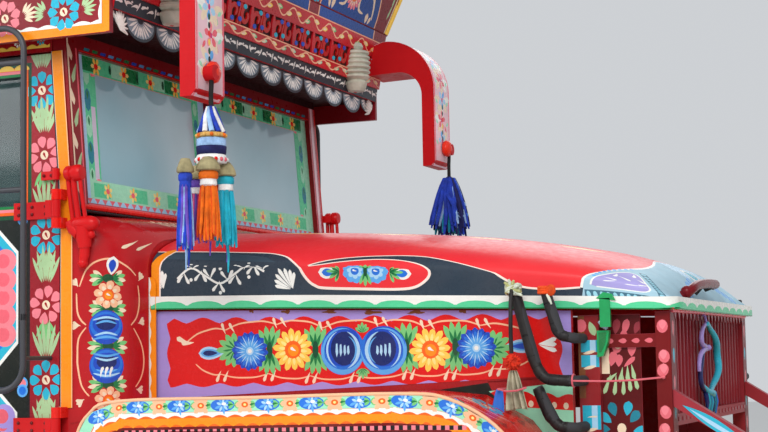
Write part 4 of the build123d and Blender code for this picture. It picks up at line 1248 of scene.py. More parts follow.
# raised strip along the lid's lower edge, round the nose and back down the other side
STRIP = [(156, -752, 1556, 40), (620, -722, 1548, 40), (1130, -690, 1534, 38), (1560, -662, 1522, 36), (1800, -646, 1514, 35), (1858, -640, 1513, 35),
         (1870, -628, 1513, 35), (1874, -560, 1512, 35), (1878, -300, 1511, 35), (1880, 0, 1511, 35)]
sp = [(x, y, z, h) for x, y, z, h in STRIP] + [(x, -y, z, h) for x, y, z, h in STRIP[-2::-1]]
sp = [tuple(q) for q in smooth(sp, 8)]
cum = [0.0]
for a, b in zip(sp, sp[1:]):
    cum.append(cum[-1] + math.hypot(b[0] - a[0], b[1] - a[1]))
STRIP_L = cum[-1]


def strip_place(u, v):
    u = min(max(u, 0.0), STRIP_L - 1e-6)
    i = 0
    lo, hi = 0, len(cum) - 1
    while hi - lo > 1:
        mid = (lo + hi) // 2
        if cum[mid] <= u:
            lo = mid
        else:
            hi = mid
    i = lo
    t = (u - cum[i]) / (cum[i + 1] - cum[i])
    a, b = sp[i], sp[i + 1]
    x, y, z, h = [a[k] + (b[k] - a[k]) * t for k in range(4)]
    return (x, y, z - 3 + v / 40.0 * (h + 3))


sc_ = Canvas("bonnet_edge_strip", rectp(2, STRIP_L - 2, 0, 40), "white", strip_place, grid=60, curved=True, lift=0.4, thick=9)
nn = int(STRIP_L / 128)
sc_.scallops(2, STRIP_L - 2, 5, 20, nn, "mint", 1, 8, 1.5)
sc_.rect(0, STRIP_L, 0, 7, "green")
sc_.rect(0, STRIP_L, 4, 12, "mint")
sc_.build("bonnet")

# ================================================================ side panels under the bonnet
def lav_place(u, v):
    return (160 + 0.99766 * u, -741 + 0.06841 * u, v)


lv = Canvas("side_panel_art", [(2, 1259), (500, 1282), (1398, 1321), (1398, 1514), (971, 1526), (461, 1540), (2, 1547)], "lavender", lav_place)
paint("panelred", (214, 22, 20), rough=0.24, coat=0.5, dust=0.12, fade=0.1)
# field with bitten edges
top_l, top_r, bot_l, bot_r = (58, 1506), (1358, 1489), (58, 1309), (1358, 1310)


def cusp_line(a, b, n, amp, nx, ny):
    out = []
    for i in range(n):
        for j in range(8):
            t = (i + j / 8) / n
            d = amp * abs(math.cos(math.pi * j / 8)) ** 1.5
            out.append((a[0] + (b[0] - a[0]) * t + nx * d, a[1] + (b[1] - a[1]) * t + ny * d))
    return out


fld = cusp_line(bot_l, bot_r, 11, 12, 0, -1) + cusp_line(bot_r, top_r, 2, 12, 1, 0) + cusp_line(top_r, top_l, 11, 19, 0, 1) + cusp_line(top_l, bot_l, 2, 12, -1, 0)
lv.add(fld, "panelred")
K = 20
# swags above and below the flowers
topj = [(100, 1446), (237, 1481), (418, 1495), (576, 1480), (763, 1488), (915, 1476), (1095, 1476), (1261, 1440)]
botj = [(130, 1372), (221, 1338), (387, 1338), (531, 1329), (681, 1328), (857, 1336), (993, 1334), (1136, 1343), (1262, 1376)]
for a, b in zip(topj, topj[1:]):
    m_ = ((a[0] + b[0]) / 2 + K, (a[1] + b[1]) / 2 + 17)
    lv.stroke([(a[0] + K, a[1]), ((a[0] + K + m_[0]) / 2, (a[1] + m_[1]) / 2 + 6), m_, ((b[0] + K + m_[0]) / 2, (b[1] + m_[1]) / 2 + 6), (b[0] + K, b[1])], 5.5, "peach", (0.55, 0.55), 4)
for a, b in zip(botj, botj[1:]):
    m_ = ((a[0] + b[0]) / 2 + K, (a[1] + b[1]) / 2 - 12)
    lv.stroke([(a[0] + K, a[1]), ((a[0] + K + m_[0]) / 2, (a[1] + m_[1]) / 2 - 4), m_, ((b[0] + K + m_[0]) / 2, (b[1] + m_[1]) / 2 - 4), (b[0] + K, b[1])], 5, "peach", (0.5, 0.5), 4)
for x, y in topj[1:-1]:
    for d in (-13, 13):
        lv.comma(x + K + d * 1.0, y + 23, -math.pi / 2 + 0.28 + (0.1 if d > 0 else -0.1), 38, 10, "cream", 0.3)
for x, y in botj[1:-1]:
    for d in (-13, 13):
        lv.comma(x + K + d * 1.0 - 4, y - 25, math.pi / 2 - 0.30, 40, 11, "cream", -0.2)
# commas that end the row
for dx, dy, a in ((0, 0, 0.5), (-16, 16, 0.15)):
    lv.comma(78 + K + dx, 1444 + dy, a + 2.4 + math.pi, 46, 17, "cream", 0.4)
for dy, a in ((22, 3.5), (4, 3.2), (-16, 2.9)):
    lv.comma(1332 + K, 1406 + dy + 4, a, 56, 14, "white", -0.15)
lv.drop(232 + K, 1407, math.pi, 92, 42)
lv.leaf_fan(272 + K, 1416, math.pi, 70, 7, 2.9, ("leaf", "green"), 24)
lv.drop(1168 + K, 1410, 0.0, 96, 42, ("paleblue", "skyblue", "blue"))
lv.leaf_fan(1128 + K, 1406, 0.0, 68, 7, 2.9, ("leaf", "green"), 24)
for x in (391, 549, 854, 1013):
    lv.leaf_bow(x + K, 1412, 82, 4, 1.0)
for x, y, a in ((708, 1462, math.pi / 2), (708, 1350, -math.pi / 2)):
    lv.leaf_fan(x + K, y, a, 34, 5, 1.9, ("leaf", "green"), 12)
lv.blue_daisy(322 + K, 1411, 64, 16, 0.1)
lv.blue_daisy(1080 + K, 1407, 64, 16, 0.25)
lv.daisy(472 + K, 1413, 68, 14, ("yellow", "paleyellow"), ("deeporange", "orange", "white"), rot=0.1)
lv.daisy(932 + K, 1405, 68, 14, ("yellow", "paleyellow"), ("deeporange", "orange", "white"), rot=0.3)
lv.rose(641 + K, 1407, 74, 77, 1)
lv.rose(778 + K, 1405, 78, 77, -1)
# rust where the enamel has let go under the lid
for u, v, rx in ((470, 1535, 16), (620, 1531, 22), (762, 1525, 30), (908, 1522, 26), (350, 1540, 8), (1060, 1521, 12)):
    pts = []
    for i in range(14):
        a = 2 * math.pi * i / 14
        k = 1 + 0.28 * math.sin(3 * a + u) + 0.18 * math.sin(5 * a + v)
        pts.append((u + rx * k * math.cos(a), v + 6 * k * math.sin(a)))
    lv.add(pts, "rustbrown")
side_art = lv.build("root")
mir(side_art)

mp = Canvas("wheelhouse_panel", [(994, 1230), (1010, 1286), (1398, 1306), (1398, 990), (1290, 990), (1140, 1100)], "palemint", lambda u, v: (160 + 0.99766 * u, -741 + 0.06841 * u, v), lift=0.3, thick=1.0)
mp.outline = [(1136, 1274), (1398, 1302), (1398, 1040), (1298, 1040), (1298, 1150)]
mp.wave_band([(1140, 1236), (1250, 1224), (1398, 1214)], 34, 14, 70, "red", 1)
for i in range(7):
    x = 1160 + i * 36
    mp.disk(x, 1242 - i * 2.4, 8, "cream", 10)
mp.rect(1140, 1398, 1040, 1128, "blue")
mp.scallops(1140, 1398, 1128, 22, 5, "midblue", 1)
wh = mp.build("root")
mir(wh)
# ================================================================ cowl between the cab and the bonnet
# x, half width, side's top, shoulder, crown
SCUT = [(-30, 960, 1796, 1868, 1886), (35, 944, 1782, 1858, 1878), (90, 905, 1758, 1840, 1866), (130, 852, 1728, 1816, 1854), (150, 766, 1694, 1792, 1844)]
SCU = [0.0]
for a, b in zip(SCUT, SCUT[1:]):
    SCU.append(SCU[-1] + math.hypot(b[0] - a[0], b[1] - a[1]))


def scut(u, v):
    u = min(max(u, 0.0), SCU[-1] - 1e-6)
    i = max(k for k in range(4) if SCU[k] <= u)
    t = (u - SCU[i]) / (SCU[i + 1] - SCU[i])
    x, w, z1, z2, zt = [SCUT[i][k] + (SCUT[i + 1][k] - SCUT[i][k]) * t for k in range(5)]
    vs = z1 - 1000
    if v <= vs:
        return (x, -w, 1000 + v)
    if v <= vs + 180:
        a = (v - vs) / 180 * math.pi / 2
        return (x, -w + 150 * (1 - math.cos(a)), z1 + (z2 - z1) * math.sin(a))
    f = min(1.0, (v - vs - 180) / 700)
    return (x, -(w - 150) * (1 - f), zt - (zt - z2) * (1 - f) ** 2)


paint("cowlred", (182, 20, 28), rough=0.22, coat=0.6, fade=0.1, dust=0.15)
cw = Canvas("cowl_art", [(8, 190), (288, 240), (288, 1573), (200, 1607), (134, 1637), (67, 1661), (8, 1674)], "cowlred", scut, grid=34, curved=True, lift=2.2, thick=1.0)
for pts in ([(39, 628), (61, 680), (92, 708), (141, 717), (189, 696), (231, 664)],
            [(29, 606), (32, 548), (44, 520), (61, 504)], [(61, 496), (36, 460), (32, 400), (34, 366), (46, 310), (70, 276)],
            [(240, 632), (246, 590), (243, 556), (232, 526), (208, 502)], [(220, 492), (250, 450), (264, 410), (265, 368), (252, 330), (228, 302)]):
    cw.stroke(pts, 6, "peach", (0.6, 0.6), 5)
for x, y, a, n in ((30, 630, 2.2, 3), (244, 652, 0.9, 3), (244, 512, 0.2, 3), (38, 500, 3.0, 3), (52, 262, 3.6, 3), (236, 296, -0.2, 3)):
    for i in range(n):
        aa = a + 0.45 * (i - 1)
        cw.comma(x + 26 * math.cos(aa), y + 26 * math.sin(aa), aa + math.pi, 30, 10, "cream", 0.2)
for x in (192, 245):
    cw.comma(x - 18, 756, 0.55, 62, 15, "cream", 0.5)
cw.petal(140, 664, 1.42, 0, 62, 40, "white", 0.8)
cw.petal(141, 672, 1.42, 0, 44, 24, "blue", 0.8)
for y, n, r in ((654, 7, 44), (556, 8, 46), (436, 8, 50), (312, 8, 48)):
    for s in (-1, 1):
        for k in range(4):
            aa = (0.0 if s > 0 else math.pi) + s * (0.62 - 0.36 * k)
            cw.petal(130 + s * 10, y - 2, aa, 8, r + 8 - 4 * abs(k - 1.5), 15, "leaf" if k % 2 else "cream", 0.7)
            cw.petal(130 + s * 10, y - 2, aa + 0.1, 4, r * 0.66, 8, "green", 0.5)
    cw.disk(130, y, 18, "darkgreen", 14, n=14)
for y, r in ((600, 46), (262, 44)):
    peach_flower(cw, 131, y, r, 0.2)


def blue_ball(cv, x, y, r, strokes=0, flip=1):
    cv.disk(x, y, r, "blue", n=26)
    cv.disk(x, y + r * 0.10, r * 0.93, "midblue", r * 0.82, n=24)
    cv.disk(x, y + r * 0.16, r * 0.78, "blue", r * 0.60, n=22)
    cv.disk(x, y + r * 0.22, r * 0.58, "navy", r * 0.40, n=20)
    for i, (w_, yy, k) in enumerate(((1.55, 0.52, "paleblue"), (1.25, 0.30, "skyblue"), (1.35, -0.38, "paleblue"), (1.6, -0.62, "skyblue"))):
        cv.stroke([(x - r * w_ * 0.5, y + r * (yy - 0.10) * flip), (x, y + r * (yy + 0.06) * flip), (x + r * w_ * 0.5, y + r * (yy - 0.10) * flip)], r * 0.13, k, (0.15, 0.15), 5)
    for i in range(strokes):
        cv.comma(x + r * (0.32 - 0.26 * i), y - r * 0.05, -2.1, r * 0.62, r * 0.17, "white", 0.5)


blue_ball(cw, 124, 496, 55)
blue_ball(cw, 126, 372, 56, 3, -1)
# far side and top of the cowl: plain sprigs round the middle
for x, y, a in ((120, 1050, 1.35), (130, 1330, 1.45)):
    spray(cw, x, y, a, 210, 5, "cream", 15)
cowl_art = cw.build("root")
mir(cowl_art)

# orange rim that stands forward of the cowl's edge, beside the bonnet
rm = Canvas("cowl_rim", [(0, 1236), (28, 1236), (28, 1640), (23, 1652), (12, 1660), (0, 1660)], "orange", lambda u, v: (149 + u, -757, v), lift=0.2, thick=3)
rm.wave_band([(0, 1660), (0, 1236)], 4, 6, 52, "white", 1, -1)
rim_art = rm.build("root")
mir(rim_art)

# stripe up the cab's corner, on the pillar and the windscreen post
R_ = 38.0 / 505.0
ps = Canvas("corner_stripe", [(-56, 1006), (-14, 1006), (-14, 1880), (-14 - 590 * R_ + 2, 2470), (-50 - 564 * R_, 2470), (-50, 1906), (-56, 1900)], "orange", side_place(-960.4), lift=2.6, thick=1.2)
ps.outline = [(-56, 1240), (-12, 1240), (-12, 1884), (-50, 2404), (-92, 2404), (-56, 1900)]
ps.band([(-13, 1240), (-13, 1884), (-51, 2404)], 4, "peach", 0)
ps.wave_band([(-56, 1240), (-56, 1900), (-92, 2404)], 3, 7, 62, "white", 1, -1)
st1 = ps.build("root")
mir(st1)

# ================================================================ doors
dy = -960.0
door = Canvas("door_art_right", [(-985, 1012), (-62, 1012), (-62, 1860), (-97, 2398), (-985, 2398)], "doorblack", side_place(dy),
              holes=[rectp(-860, -215, 1900, 2330)])
paint("doorblack", (16, 24, 20), rough=0.24, coat=0.5, dust=0.25)
paint("stripcrimson", (150, 20, 34), rough=0.26, coat=0.45, dust=0.15, fade=0.16)
# leading strip: crimson with sprays and open flowers
door.add([(-180, 1012), (-62, 1012), (-62, 1860), (-97, 2398), (-206, 2398), (-180, 1900)], "stripcrimson")
for i, z in enumerate((2278, 2063, 1800, 1572, 1330, 1090)):
    x = -114 - max(0, (z - 1900)) * 0.045
    col = "turquoise" if i % 2 == 0 else "pink"
    tuft(door, x, z + 40, math.pi / 2, 165, 6, 0.85, "sage", 13)
    tuft(door, x, z - 34, -math.pi / 2, 100, 5, 1.0, "leaf" if i % 2 else "sage", 12)
    open_flower(door, x, z, 64, col, 8, "cream", "crimson", 0.2 * i)
door.band([(-180, 1012), (-180, 1900), (-206, 2398)], 8, "black", 0)
# window surround
for k, (w_, col) in enumerate(((44, "darkgreen"), (30, "deeporange"), (20, "pink"), (10, "green"))):
    door.frame_rect(-860 - w_, -215 + w_, 1900 - w_, 2330 + w_, 12, col)
door.scallops(-900, -180, 2352, 18, 12, "yellow", 1)
# lower panels: dark ground, white-edged octagons with pink and blue inside
def octagon(cv, x0, x1, z0, z1, cut, col_edge="white", inner="turquoise", scall="pink", low="green", flip=1):
    def oc(d):
        return [(x0 + d + cut, z0 + d), (x1 - d - cut, z0 + d), (x1 - d, z0 + d + cut), (x1 - d, z1 - d - cut), (x1 - d - cut, z1 - d), (x0 + d + cut, z1 - d), (x0 + d, z1 - d - cut), (x0 + d, z0 + d + cut)]
    cv.add(oc(0), col_edge)
    cv.add(oc(8), "turquoise")
    cv.add(oc(26), "midblue" if inner == "turquoise" else "lavender")
    cx, cz = (x0 + x1) / 2, (z0 + z1) / 2
    W, H = (x1 - x0) / 2, (z1 - z0) / 2
    for s in (-1, 1):
        for i in range(5):
            zz = z0 + cut + (z1 - z0 - 2 * cut) * (i + 0.5) / 5
            cv.disk(cx + s * (W - 52), zz, 44, scall, 40, n=18)
            cv.disk(cx + s * (W - 60), zz, 26, "rosepink", 24, n=14)
    cv.disk(cx, cz, W * 0.62, inner, H * 0.66, n=32)
    for s in (-1, 1):
        cv.leaf_fan(cx, cz + s * H * 0.45, s * math.pi / 2, H * 0.34, 7, 2.2, ("green", "mint"))
    cv.daisy(cx, cz, min(W, H) * 0.42, 12, ("pink", "cream"), ("deeporange", "yellow", "white"))
    for a in range(8):
        aa = math.pi / 4 * a + 0.39
        cv.petal(cx, cz, aa, min(W, H) * 0.46, min(W, H) * 0.62, 26, "white", 0.8)


octagon(door, -830, -222, 1365, 1835, 84)
octagon(door, -830, -225, 1040, 1286, 60, inner="violet", scall="lavender")
for x in (-205, -850):
    for z, c in ((1856, "midblue"), (1320, "pink"), (1296, "midblue"), (1030, "pink")):
        door.disk(x, z, 21, "skyblue", n=16)
        door.disk(x, z, 14, c, n=14)
door.band([(-985, 1020), (-200, 1020)], 10, "yellow", 0)
door.rect(-985, -925, 1012, 2398, "stripcrimson")
for i, z in enumerate(range(1100, 2380, 210)):
    open_flower(door, -955, z, 30, "turquoise" if i % 2 else "pink", 8)
    tuft(door, -955, z + 30, math.pi / 2, 84, 5, 0.9, "sage", 8)
dr = door.build("door_right")
mir(dr, "door_left", "door_art_left")

# rear quarter of the cab and the rail over the door
qr = Canvas("cab_quarter_art", rectp(-1398, -991, 1002, 2468), "maroon", side_place(-960))
floral_panel(qr, -1392, -997, 1010, 1700, "crimson", "turquoise", "cream")
floral_panel(qr, -1392, -997, 1712, 2462, "darkgreen", "yellow", "cream", 1)
q1 = qr.build("root")
mir(q1)
rl = Canvas("door_rail_art", rectp(-990, -100, 2407, 2468), "crimson", side_place(-960))
rl.wave_band([(-990, 2420), (-100, 2420)], 6, 8, 40, "yellow", 1)
for i in range(10):
    open_flower(rl, -945 + i * 90, 2446, 17, "turquoise" if i % 2 else "white", 7)
q2 = rl.build("root")
mir(q2)

# ================================================================ wings
Canvas.detail = 0.75
top_prof = [(20, 1010), (30, 1140), (80, 1222), (190, 1262), (1136, 1278), (1290, 1262), (1430, 1186), (1530, 1060), (1560, 985)]
arch_prof = [(1470, 985), (1400, 1090), (1300, 1150), (1180, 1168), (380, 1168), (270, 1150), (190, 1100), (150, 1010)]
wg = Canvas("wing_face_art", top_prof + arch_prof, "maroon", side_place(-1012))


def prof_z(x):
    for a, b in zip(top_prof, top_prof[1:]):
        if a[0] <= x <= b[0]:
            return a[1] + (b[1] - a[1]) * (x - a[0]) / (b[0] - a[0])
    return top_prof[-1][1]


edge = [(190 + i * (1136 - 190) / 40, 0) for i in range(41)]
edge = [(x, prof_z(x)) for x, _ in edge]
front_edge = smooth([(1136, 1276), (1290, 1262), (1430, 1186), (1530, 1060), (1560, 985)], 5)
back_edge = [(20, 1010), (30, 1140), (80, 1222), (190, 1262)]
wg.band(back_edge + edge + front_edge, 84, "palemint", -42)
wg.band(back_edge + edge + front_edge, 44, "deeporange", -62)
wg.wave_band(back_edge + edge + front_edge, -58, 8, 52, "white", 1, -41)
wg.wave_band((back_edge + edge + front_edge), -86, 9, 44, "orange", 1, -58)
n = 0
path = densify(back_edge[2:] + edge + front_edge[1:], 5)
run, nxt, i = 0.0, 34.0, 0
prev = path[0]
k = 0
for p, q in zip(path, path[1:]):
    run += math.hypot(q[0] - p[0], q[1] - p[1])
    if run >= nxt:
        ang = math.atan2(q[1] - p[1], q[0] - p[0])
        cx, cy = q[0] + math.sin(ang) * 21, q[1] - math.cos(ang) * 21
        if k % 4 == 0:
            wg.disk(cx, cy, 42, "midblue", 20, ang, 20)
            for j in range(9):
                wg.petal(cx, cy, ang + 2 * math.pi * j / 9, 3, 30 if j % 2 else 22, 8, "skyblue" if j % 2 else "paleblue", 0.6, 5)
            wg.disk(cx + 4, cy + 4, 8, "white", 5, ang, 10)
        elif k % 4 == 2:
            for j in range(8):
                wg.petal(cx, cy, ang + 2 * math.pi * j / 8, 4, 33 if abs(math.cos(2 * math.pi * j / 8)) > 0.5 else 21, 17, "peach", 0.9, 6)
            wg.disk(cx, cy, 12, "deeporange", 9, ang, 12)
            wg.disk(cx, cy, 5, "paleyellow", 4, ang, 8)
        else:
            for s in (-1, 1):
                for j in range(3):
                    wg.petal(cx, cy, ang + (0 if s > 0 else math.pi) + (j - 1) * 0.5, 0, 22, 9, "green" if j == 1 else "leaf", 0.7, 5)
        k += 1
        nxt += 37.5
for i in range(46):
    x = 200 + i * 26
    z = prof_z(min(x, 1130)) - 92
    if x < 1330:
        wg.rect(x, x + 13, z - 13, z, "black")
        wg.rect(x + 13, x + 26, z - 13, z, "pink")
wf = wg.build("root")
mir(wf)

# top of the wing, laid over its profile
def wing_top(u, v):
    return (u, v, prof_z(u))


def wall_y(x):
    return -741 + (x - 160) * 0.06857 if x > 160 else -757


wt = Canvas("wing_top_art", [(24, -1010), (1556, -1010), (1556, -654), (1290, -672), (190, -748), (152, -772), (132, -858), (92, -910), (60, -935), (24, -950)], "panelred", wing_top, grid=36, curved=True, lift=0.6, thick=0.8)
wt.band([(30, -1000), (1556, -1000)], 14, "palemint", 0)
for i in range(6):
    x = 250 + i * 170
    wt.daisy(x, -900, 52, 12, ("yellow", "paleyellow") if i % 2 else ("skyblue", "paleblue"), ("deeporange", "orange", "white") if i % 2 else ("blue", "navy", "white"))
    wt.leaf_fan(x + 70, -900, 0, 46, 5, 1.9)
    wt.leaf_fan(x - 70, -900, math.pi, 46, 5, 1.9)
    spray(wt, x, -840, math.pi / 2, 90, 3, "cream", 9)
for x, y, a, L in ((1200, -960, 0.2, 130), (1230, -930, 0.3, 150), (1260, -900, 0.4, 150), (1240, -870, 0.2, 140), (1310, -950, 0.1, 120), (1350, -890, 0.2, 110)):
    wt.comma(x, y, a, L, 17, "pink" if int(x) % 20 else "cream", 0.3)
open_flower(wt, 1345, -830, 50, "turquoise", 8)
for k in range(10):
    a = 2 * math.pi * k / 10
    wt.petal(1320, -985, a, 4, 42, 16, ("green", "skyblue", "deeporange")[k % 3], 0.7)
wtop = wt.build("root")
mir(wtop)
# rolled bead along the wing's outer edge
b = Bag()
bead = [(x, -1011, z - 1) for x, z in smooth([(24, 1010), (32, 1140), (80, 1222), (190, 1262), (660, 1270), (1136, 1278), (1290, 1262), (1430, 1186), (1530, 1060), (1558, 985)], 5)]
b.tube(bead, 5.5, "peach", 8)
bd = b.make("wing_bead", smooth=True)
mir(bd)
# ================================================================ red stay on the cab's corners, above and beside the cowl
paint("stayred", (206, 12, 18), rough=0.36, coat=0.3, dust=0.12, fade=0.15)
for s in (-1, 1):
    b = Bag()
    b.lathe([(3, -14), (20, -14), (25, -8), (25, 6), (20, 10), (20, 16), (27, 20), (27, 38), (22, 46), (3, 48)], (4, s * 1000, 1991), "x", "stayred", 18)
    b.box(-12, 30, s * 964, s * 1000, 1972, 2002, "stayred")
    for x0, x1, r in ((-4, 4, 8), (16, 26, 10), (40, 52, 7)):
        b.tube([(x0, s * 1000, 1984), (x0 + (x1 - x0) * 0.4, s * 996, 1930), (x1, s * 984, 1842)], r, "stayred", 12)
    b.lathe([(3, -46), (14, -45), (22, -36), (25, -20), (25, 26), (21, 40), (13, 52), (3, 54)], (42, s * 978, 1828), "x", "stayred", 18)
    b.tube([(-10, s * 984, 1836), (4, s * 984, 1812), (26, s * 982, 1796)], [15, 19, 20], "stayred", 12)
    b.tube([(40, s * 980, 1822), (40, s * 976, 1782), (42, s * 973, 1752)], [27, 26, 21], "stayred", 14)
    b.tube([(42, s * 974, 1762), (40, s * 972, 1732), (34, s * 970, 1706)], [17, 17, 14], "stayred", 12)
    b.ball((33, s * 970, 1702), 17, "stayred", 12)
    b.ball((66, s * 974, 1794), 14, "stayred", 12)
    b.make("corner_stay_" + ("R" if s < 0 else "L"), smooth=True, sharp=50)
    b = Bag()
    b.box(-124, -62, s * 960.6, s * 976, 1978, 2006, "stayred")
    for x in (-112, -84):
        b.ball((x, s * 976, 1992), 6, "maroon", 8)
    b.tube([(-68, s * 975, 1992), (-48, s * 996, 1992)], 12, "stayred", 10)
    b.tube([(-50, s * 1000, 1974), (-50, s * 1000, 2010)], 13, "stayred", 14)
    # the two hinges below it, painted over
    for z in (1180, 1880):
        b.box(-231.5, -62.5, s * 960.4, s * 973.4, z - 28.2, z + 28.2, "stayred")
        b.box(-85, -57, s * 961, s * 1009.5, z - 28.2, z + 28.2, "stayred")
        b.tube([(-50, s * 1000, z - 28.2), (-50, s * 1000, z + 28.2)], 16.2, "stayred", 18)
        for x in (-212, -160, -108):
            b.ball((x, s * 973.4, z + 12), 6, "maroon", 8)
            b.ball((x, s * 973.4, z - 12), 6, "maroon", 8)
    b.make("door_hinge_leaves_" + ("R" if s < 0 else "L"), "door_right" if s < 0 else "door_left", smooth=True, sharp=40)
Canvas.detail = 1.0
# ================================================================ nose guard, side sheets, grille
# Very dark reds for the guard, grille and side sheet (guardred, grillered, guardart, sheetred): the parts' own dark
# red, made darker still as painted shade because the truck's front stands in shade.
plain_mat("guardred", (108, 1, 6), rough=0.36, var=0.25, scale=5, bump=0.08, dust=0.12, coat=0.3)
plain_mat("grillered", (76, 0, 4), rough=0.5, var=0.3, scale=9, bump=0.12, dust=0.14)
paint("guardart", (112, 1, 7), rough=0.36, coat=0.3, dust=0.12, fade=0.2)
paint("postred", (150, 18, 28), rough=0.3, coat=0.35, dust=0.35, fade=0.25)
paint("sheetred", (88, 0, 5), rough=0.36, coat=0.3, dust=0.1, fade=0.2)
paint("duskpink", (150, 52, 64), rough=0.3, dust=0.3)
paint("salmon", (222, 104, 116), rough=0.3, dust=0.2)
GX = 1807.0
fp = Canvas("guard_front_post_art", rectp(GX, GX + 45, 982, 1503), "guardart", side_place(-625))
for z, a in ((1461, 0), (1372, 0.2), (1331, -0.5), (1207, 0.3), (1155, 0.0), (1090, 0.3), (1030, 0)):
    fp.disk(GX + 22 + 3 * math.sin(z), z, 17, "salmon", 20, a, 12)
    fp.petal(GX + 22, z - 10, math.pi / 2, 0, 30, 22, "pink", 0.8, 6)
fpa = fp.build("root")
mir(fpa)
rp = Canvas("guard_rear_post_art", rectp(1570, 1635, 982, 1498), "postred", side_place(-625))
rp.rect(1570, 1590, 1250, 1498, "rustbrown")
rp.disk(1580, 1468, 17, "salmon", 20, 0, 12)
rp.petal(1606, 1480, -1.2, 0, 46, 22, "sage", 0.7)
for z in (1407, 1362, 1211, 1175, 1090, 1040):
    rp.rect(1578, 1634, z - 19, z + 17, "turquoise")
    rp.rect(1606, 1624, z - 19, z + 17, "paleblue")
    rp.petal(1584, z - 24, 0.2, 0, 40, 10, "cream", 0.5)
rpa = rp.build("root")
mir(rpa)
ss = Canvas("guard_side_sheet_art", rectp(1636, GX - 51, 1010, 1498), "sheetred", side_place(-606))
ss.rect(1636, 1660, 1322, 1400, "cream")
ss.petal(1648, 1470, -1.4, 0, 60, 26, "duskpink", 0.8)
for x, z, a, L, w, c in ((1680, 1440, 1.4, 48, 24, "duskpink"), (1706, 1438, 1.3, 50, 22, "salmon"), (1716, 1412, 1.9, 42, 22, "salmon"), (1728, 1372, 1.5, 44, 27, "salmon"),
                         (1664, 1344, 1.3, 48, 26, "salmon"), (1688, 1342, 1.5, 38, 24, "salmon"), (1704, 1342, 0.7, 46, 15, "salmon"), (1740, 1440, 1.2, 40, 20, "duskpink")):
    ss.petal(x, z, a, 0, L, w, c, 0.9)
ss.disk(1684, 1402, 15, "salmon", 18, 0, 12)
ss.disk(1687, 1405, 9, "cream", 10, 0, 10)
for x, z, a, L in ((1640, 1262, 1.15, 62), (1672, 1258, 1.4, 62), (1700, 1258, 1.5, 58), (1722, 1268, 1.6, 56), (1744, 1274, 1.75, 52), (1650, 1300, 0.6, 40), (1690, 1296, 1.3, 46), (1714, 1300, 1.5, 46), (1735, 1306, 1.7, 44)):
    ss.comma(x, z, a, L, 13, "sage", 0.1)
for k, (x, z, a) in enumerate(((1667, 1214, 1.9), (1712, 1216, 1.4), (1731, 1192, 0.9), (1645, 1188, 2.5), (1637, 1158, 3.0), (1747, 1152, 0.1), (1650, 1120, -2.6), (1690, 1096, -1.6), (1734, 1112, -0.7))):
    ss.petal(x - 20 * math.cos(a), z - 20 * math.sin(a), a, 0, 44, 28, "turquoise" if k % 2 else "teal", 0.9)
ss.disk(1692, 1158, 14, "cream", 16, 0, 12)
for x, z, a, L in ((1660, 1050, 1.4, 50), (1690, 1046, 1.57, 56), (1720, 1050, 1.75, 50)):
    ss.comma(x, z, a, L, 12, "sage", 0.1)
ssa = ss.build("root")
mir(ssa)
rl2 = Canvas("guard_rail_art", rectp(1636, GX, 1401, 1439), "guardart", side_place(-618))
for i in range(4):
    rl2.petal(1652 + 40 * i, 1420, 0, 0, 26, 15, "salmon", 0.8)
mir(rl2.build("root"))
# grille: ribs with light pink strips on their edges as painted highlight where light catches them, and a lip over them
b = Bag()
for i in range(22):
    y = -559 + 1118 * (i + 0.5) / 22
    b.box(GX + 33, GX + 35, y - 11, y - 7, 1202, 1504, "duskpink")
b.tube([(GX + 46, -606, 1508), (GX + 50, -300, 1509), (GX + 51, 0, 1509), (GX + 50, 300, 1509), (GX + 46, 606, 1508)], 6.5, "rosepink", 8)
for i in range(21):
    y = -560 + 56 * i
    b.prism([(y - 18, 1506), (y + 18, 1506), (y, 1480)], 2.5, lambda u, v, d: (GX + 45.3 + d, u, v), "duskpink")
for i in range(20):
    y = -540 + 57 * i
    b.box(GX + 45, GX + 47.5, y - 14, y + 14, 1178, 1190, "duskpink")
b.make("grille_trim")
# front posts' faces and braces
for s in (-1, 1):
    pf = Canvas("guard_front_face_art" + ("_R" if s < 0 else "_L"), rectp(*sorted((s * 561, s * 624)), 982, 1503), "guardart", front_place(GX + 45))
    for i in range(6):
        pf.petal(s * 592, 1020 + 82 * i, math.pi / 2, 0, 50, 24, "salmon" if i % 2 else "turquoise", 0.8)
    pf.build("root")
b = Bag()
ang = math.atan2(975 - 1275, 2330 - (GX + 44))


def brace_place(u, v, d):
    x = GX + 44 + u * (2330 - GX - 44)
    return (x, -620.5 - d, 1275 + (975 - 1275) * u - 8 - 44 * v * (1 - 0.35 * u))


lens = [(0.06 + 0.42 * t, 0.5 + 0.46 * math.sin(math.pi * t)) for t in [i / 12 for i in range(13)]] + [(0.06 + 0.42 * t, 0.5 - 0.46 * math.sin(math.pi * t)) for t in [i / 12 for i in range(12, 0, -1)]]
b.prism(lens, 1.2, brace_place, "turquoise")
lens2 = [(0.10 + 0.34 * t, 0.46 + 0.26 * math.sin(math.pi * t)) for t in [i / 10 for i in range(11)]] + [(0.10 + 0.34 * t, 0.46 - 0.10 * math.sin(math.pi * t)) for t in [i / 10 for i in range(10, 0, -1)]]
b.prism(lens2, 2.0, brace_place, "paleblue")
lens3 = [(u + 0.47, v) for u, v in lens]
b.prism(lens3, 1.2, brace_place, "salmon")
bo = b.make("guard_brace_lens")
mir(bo)
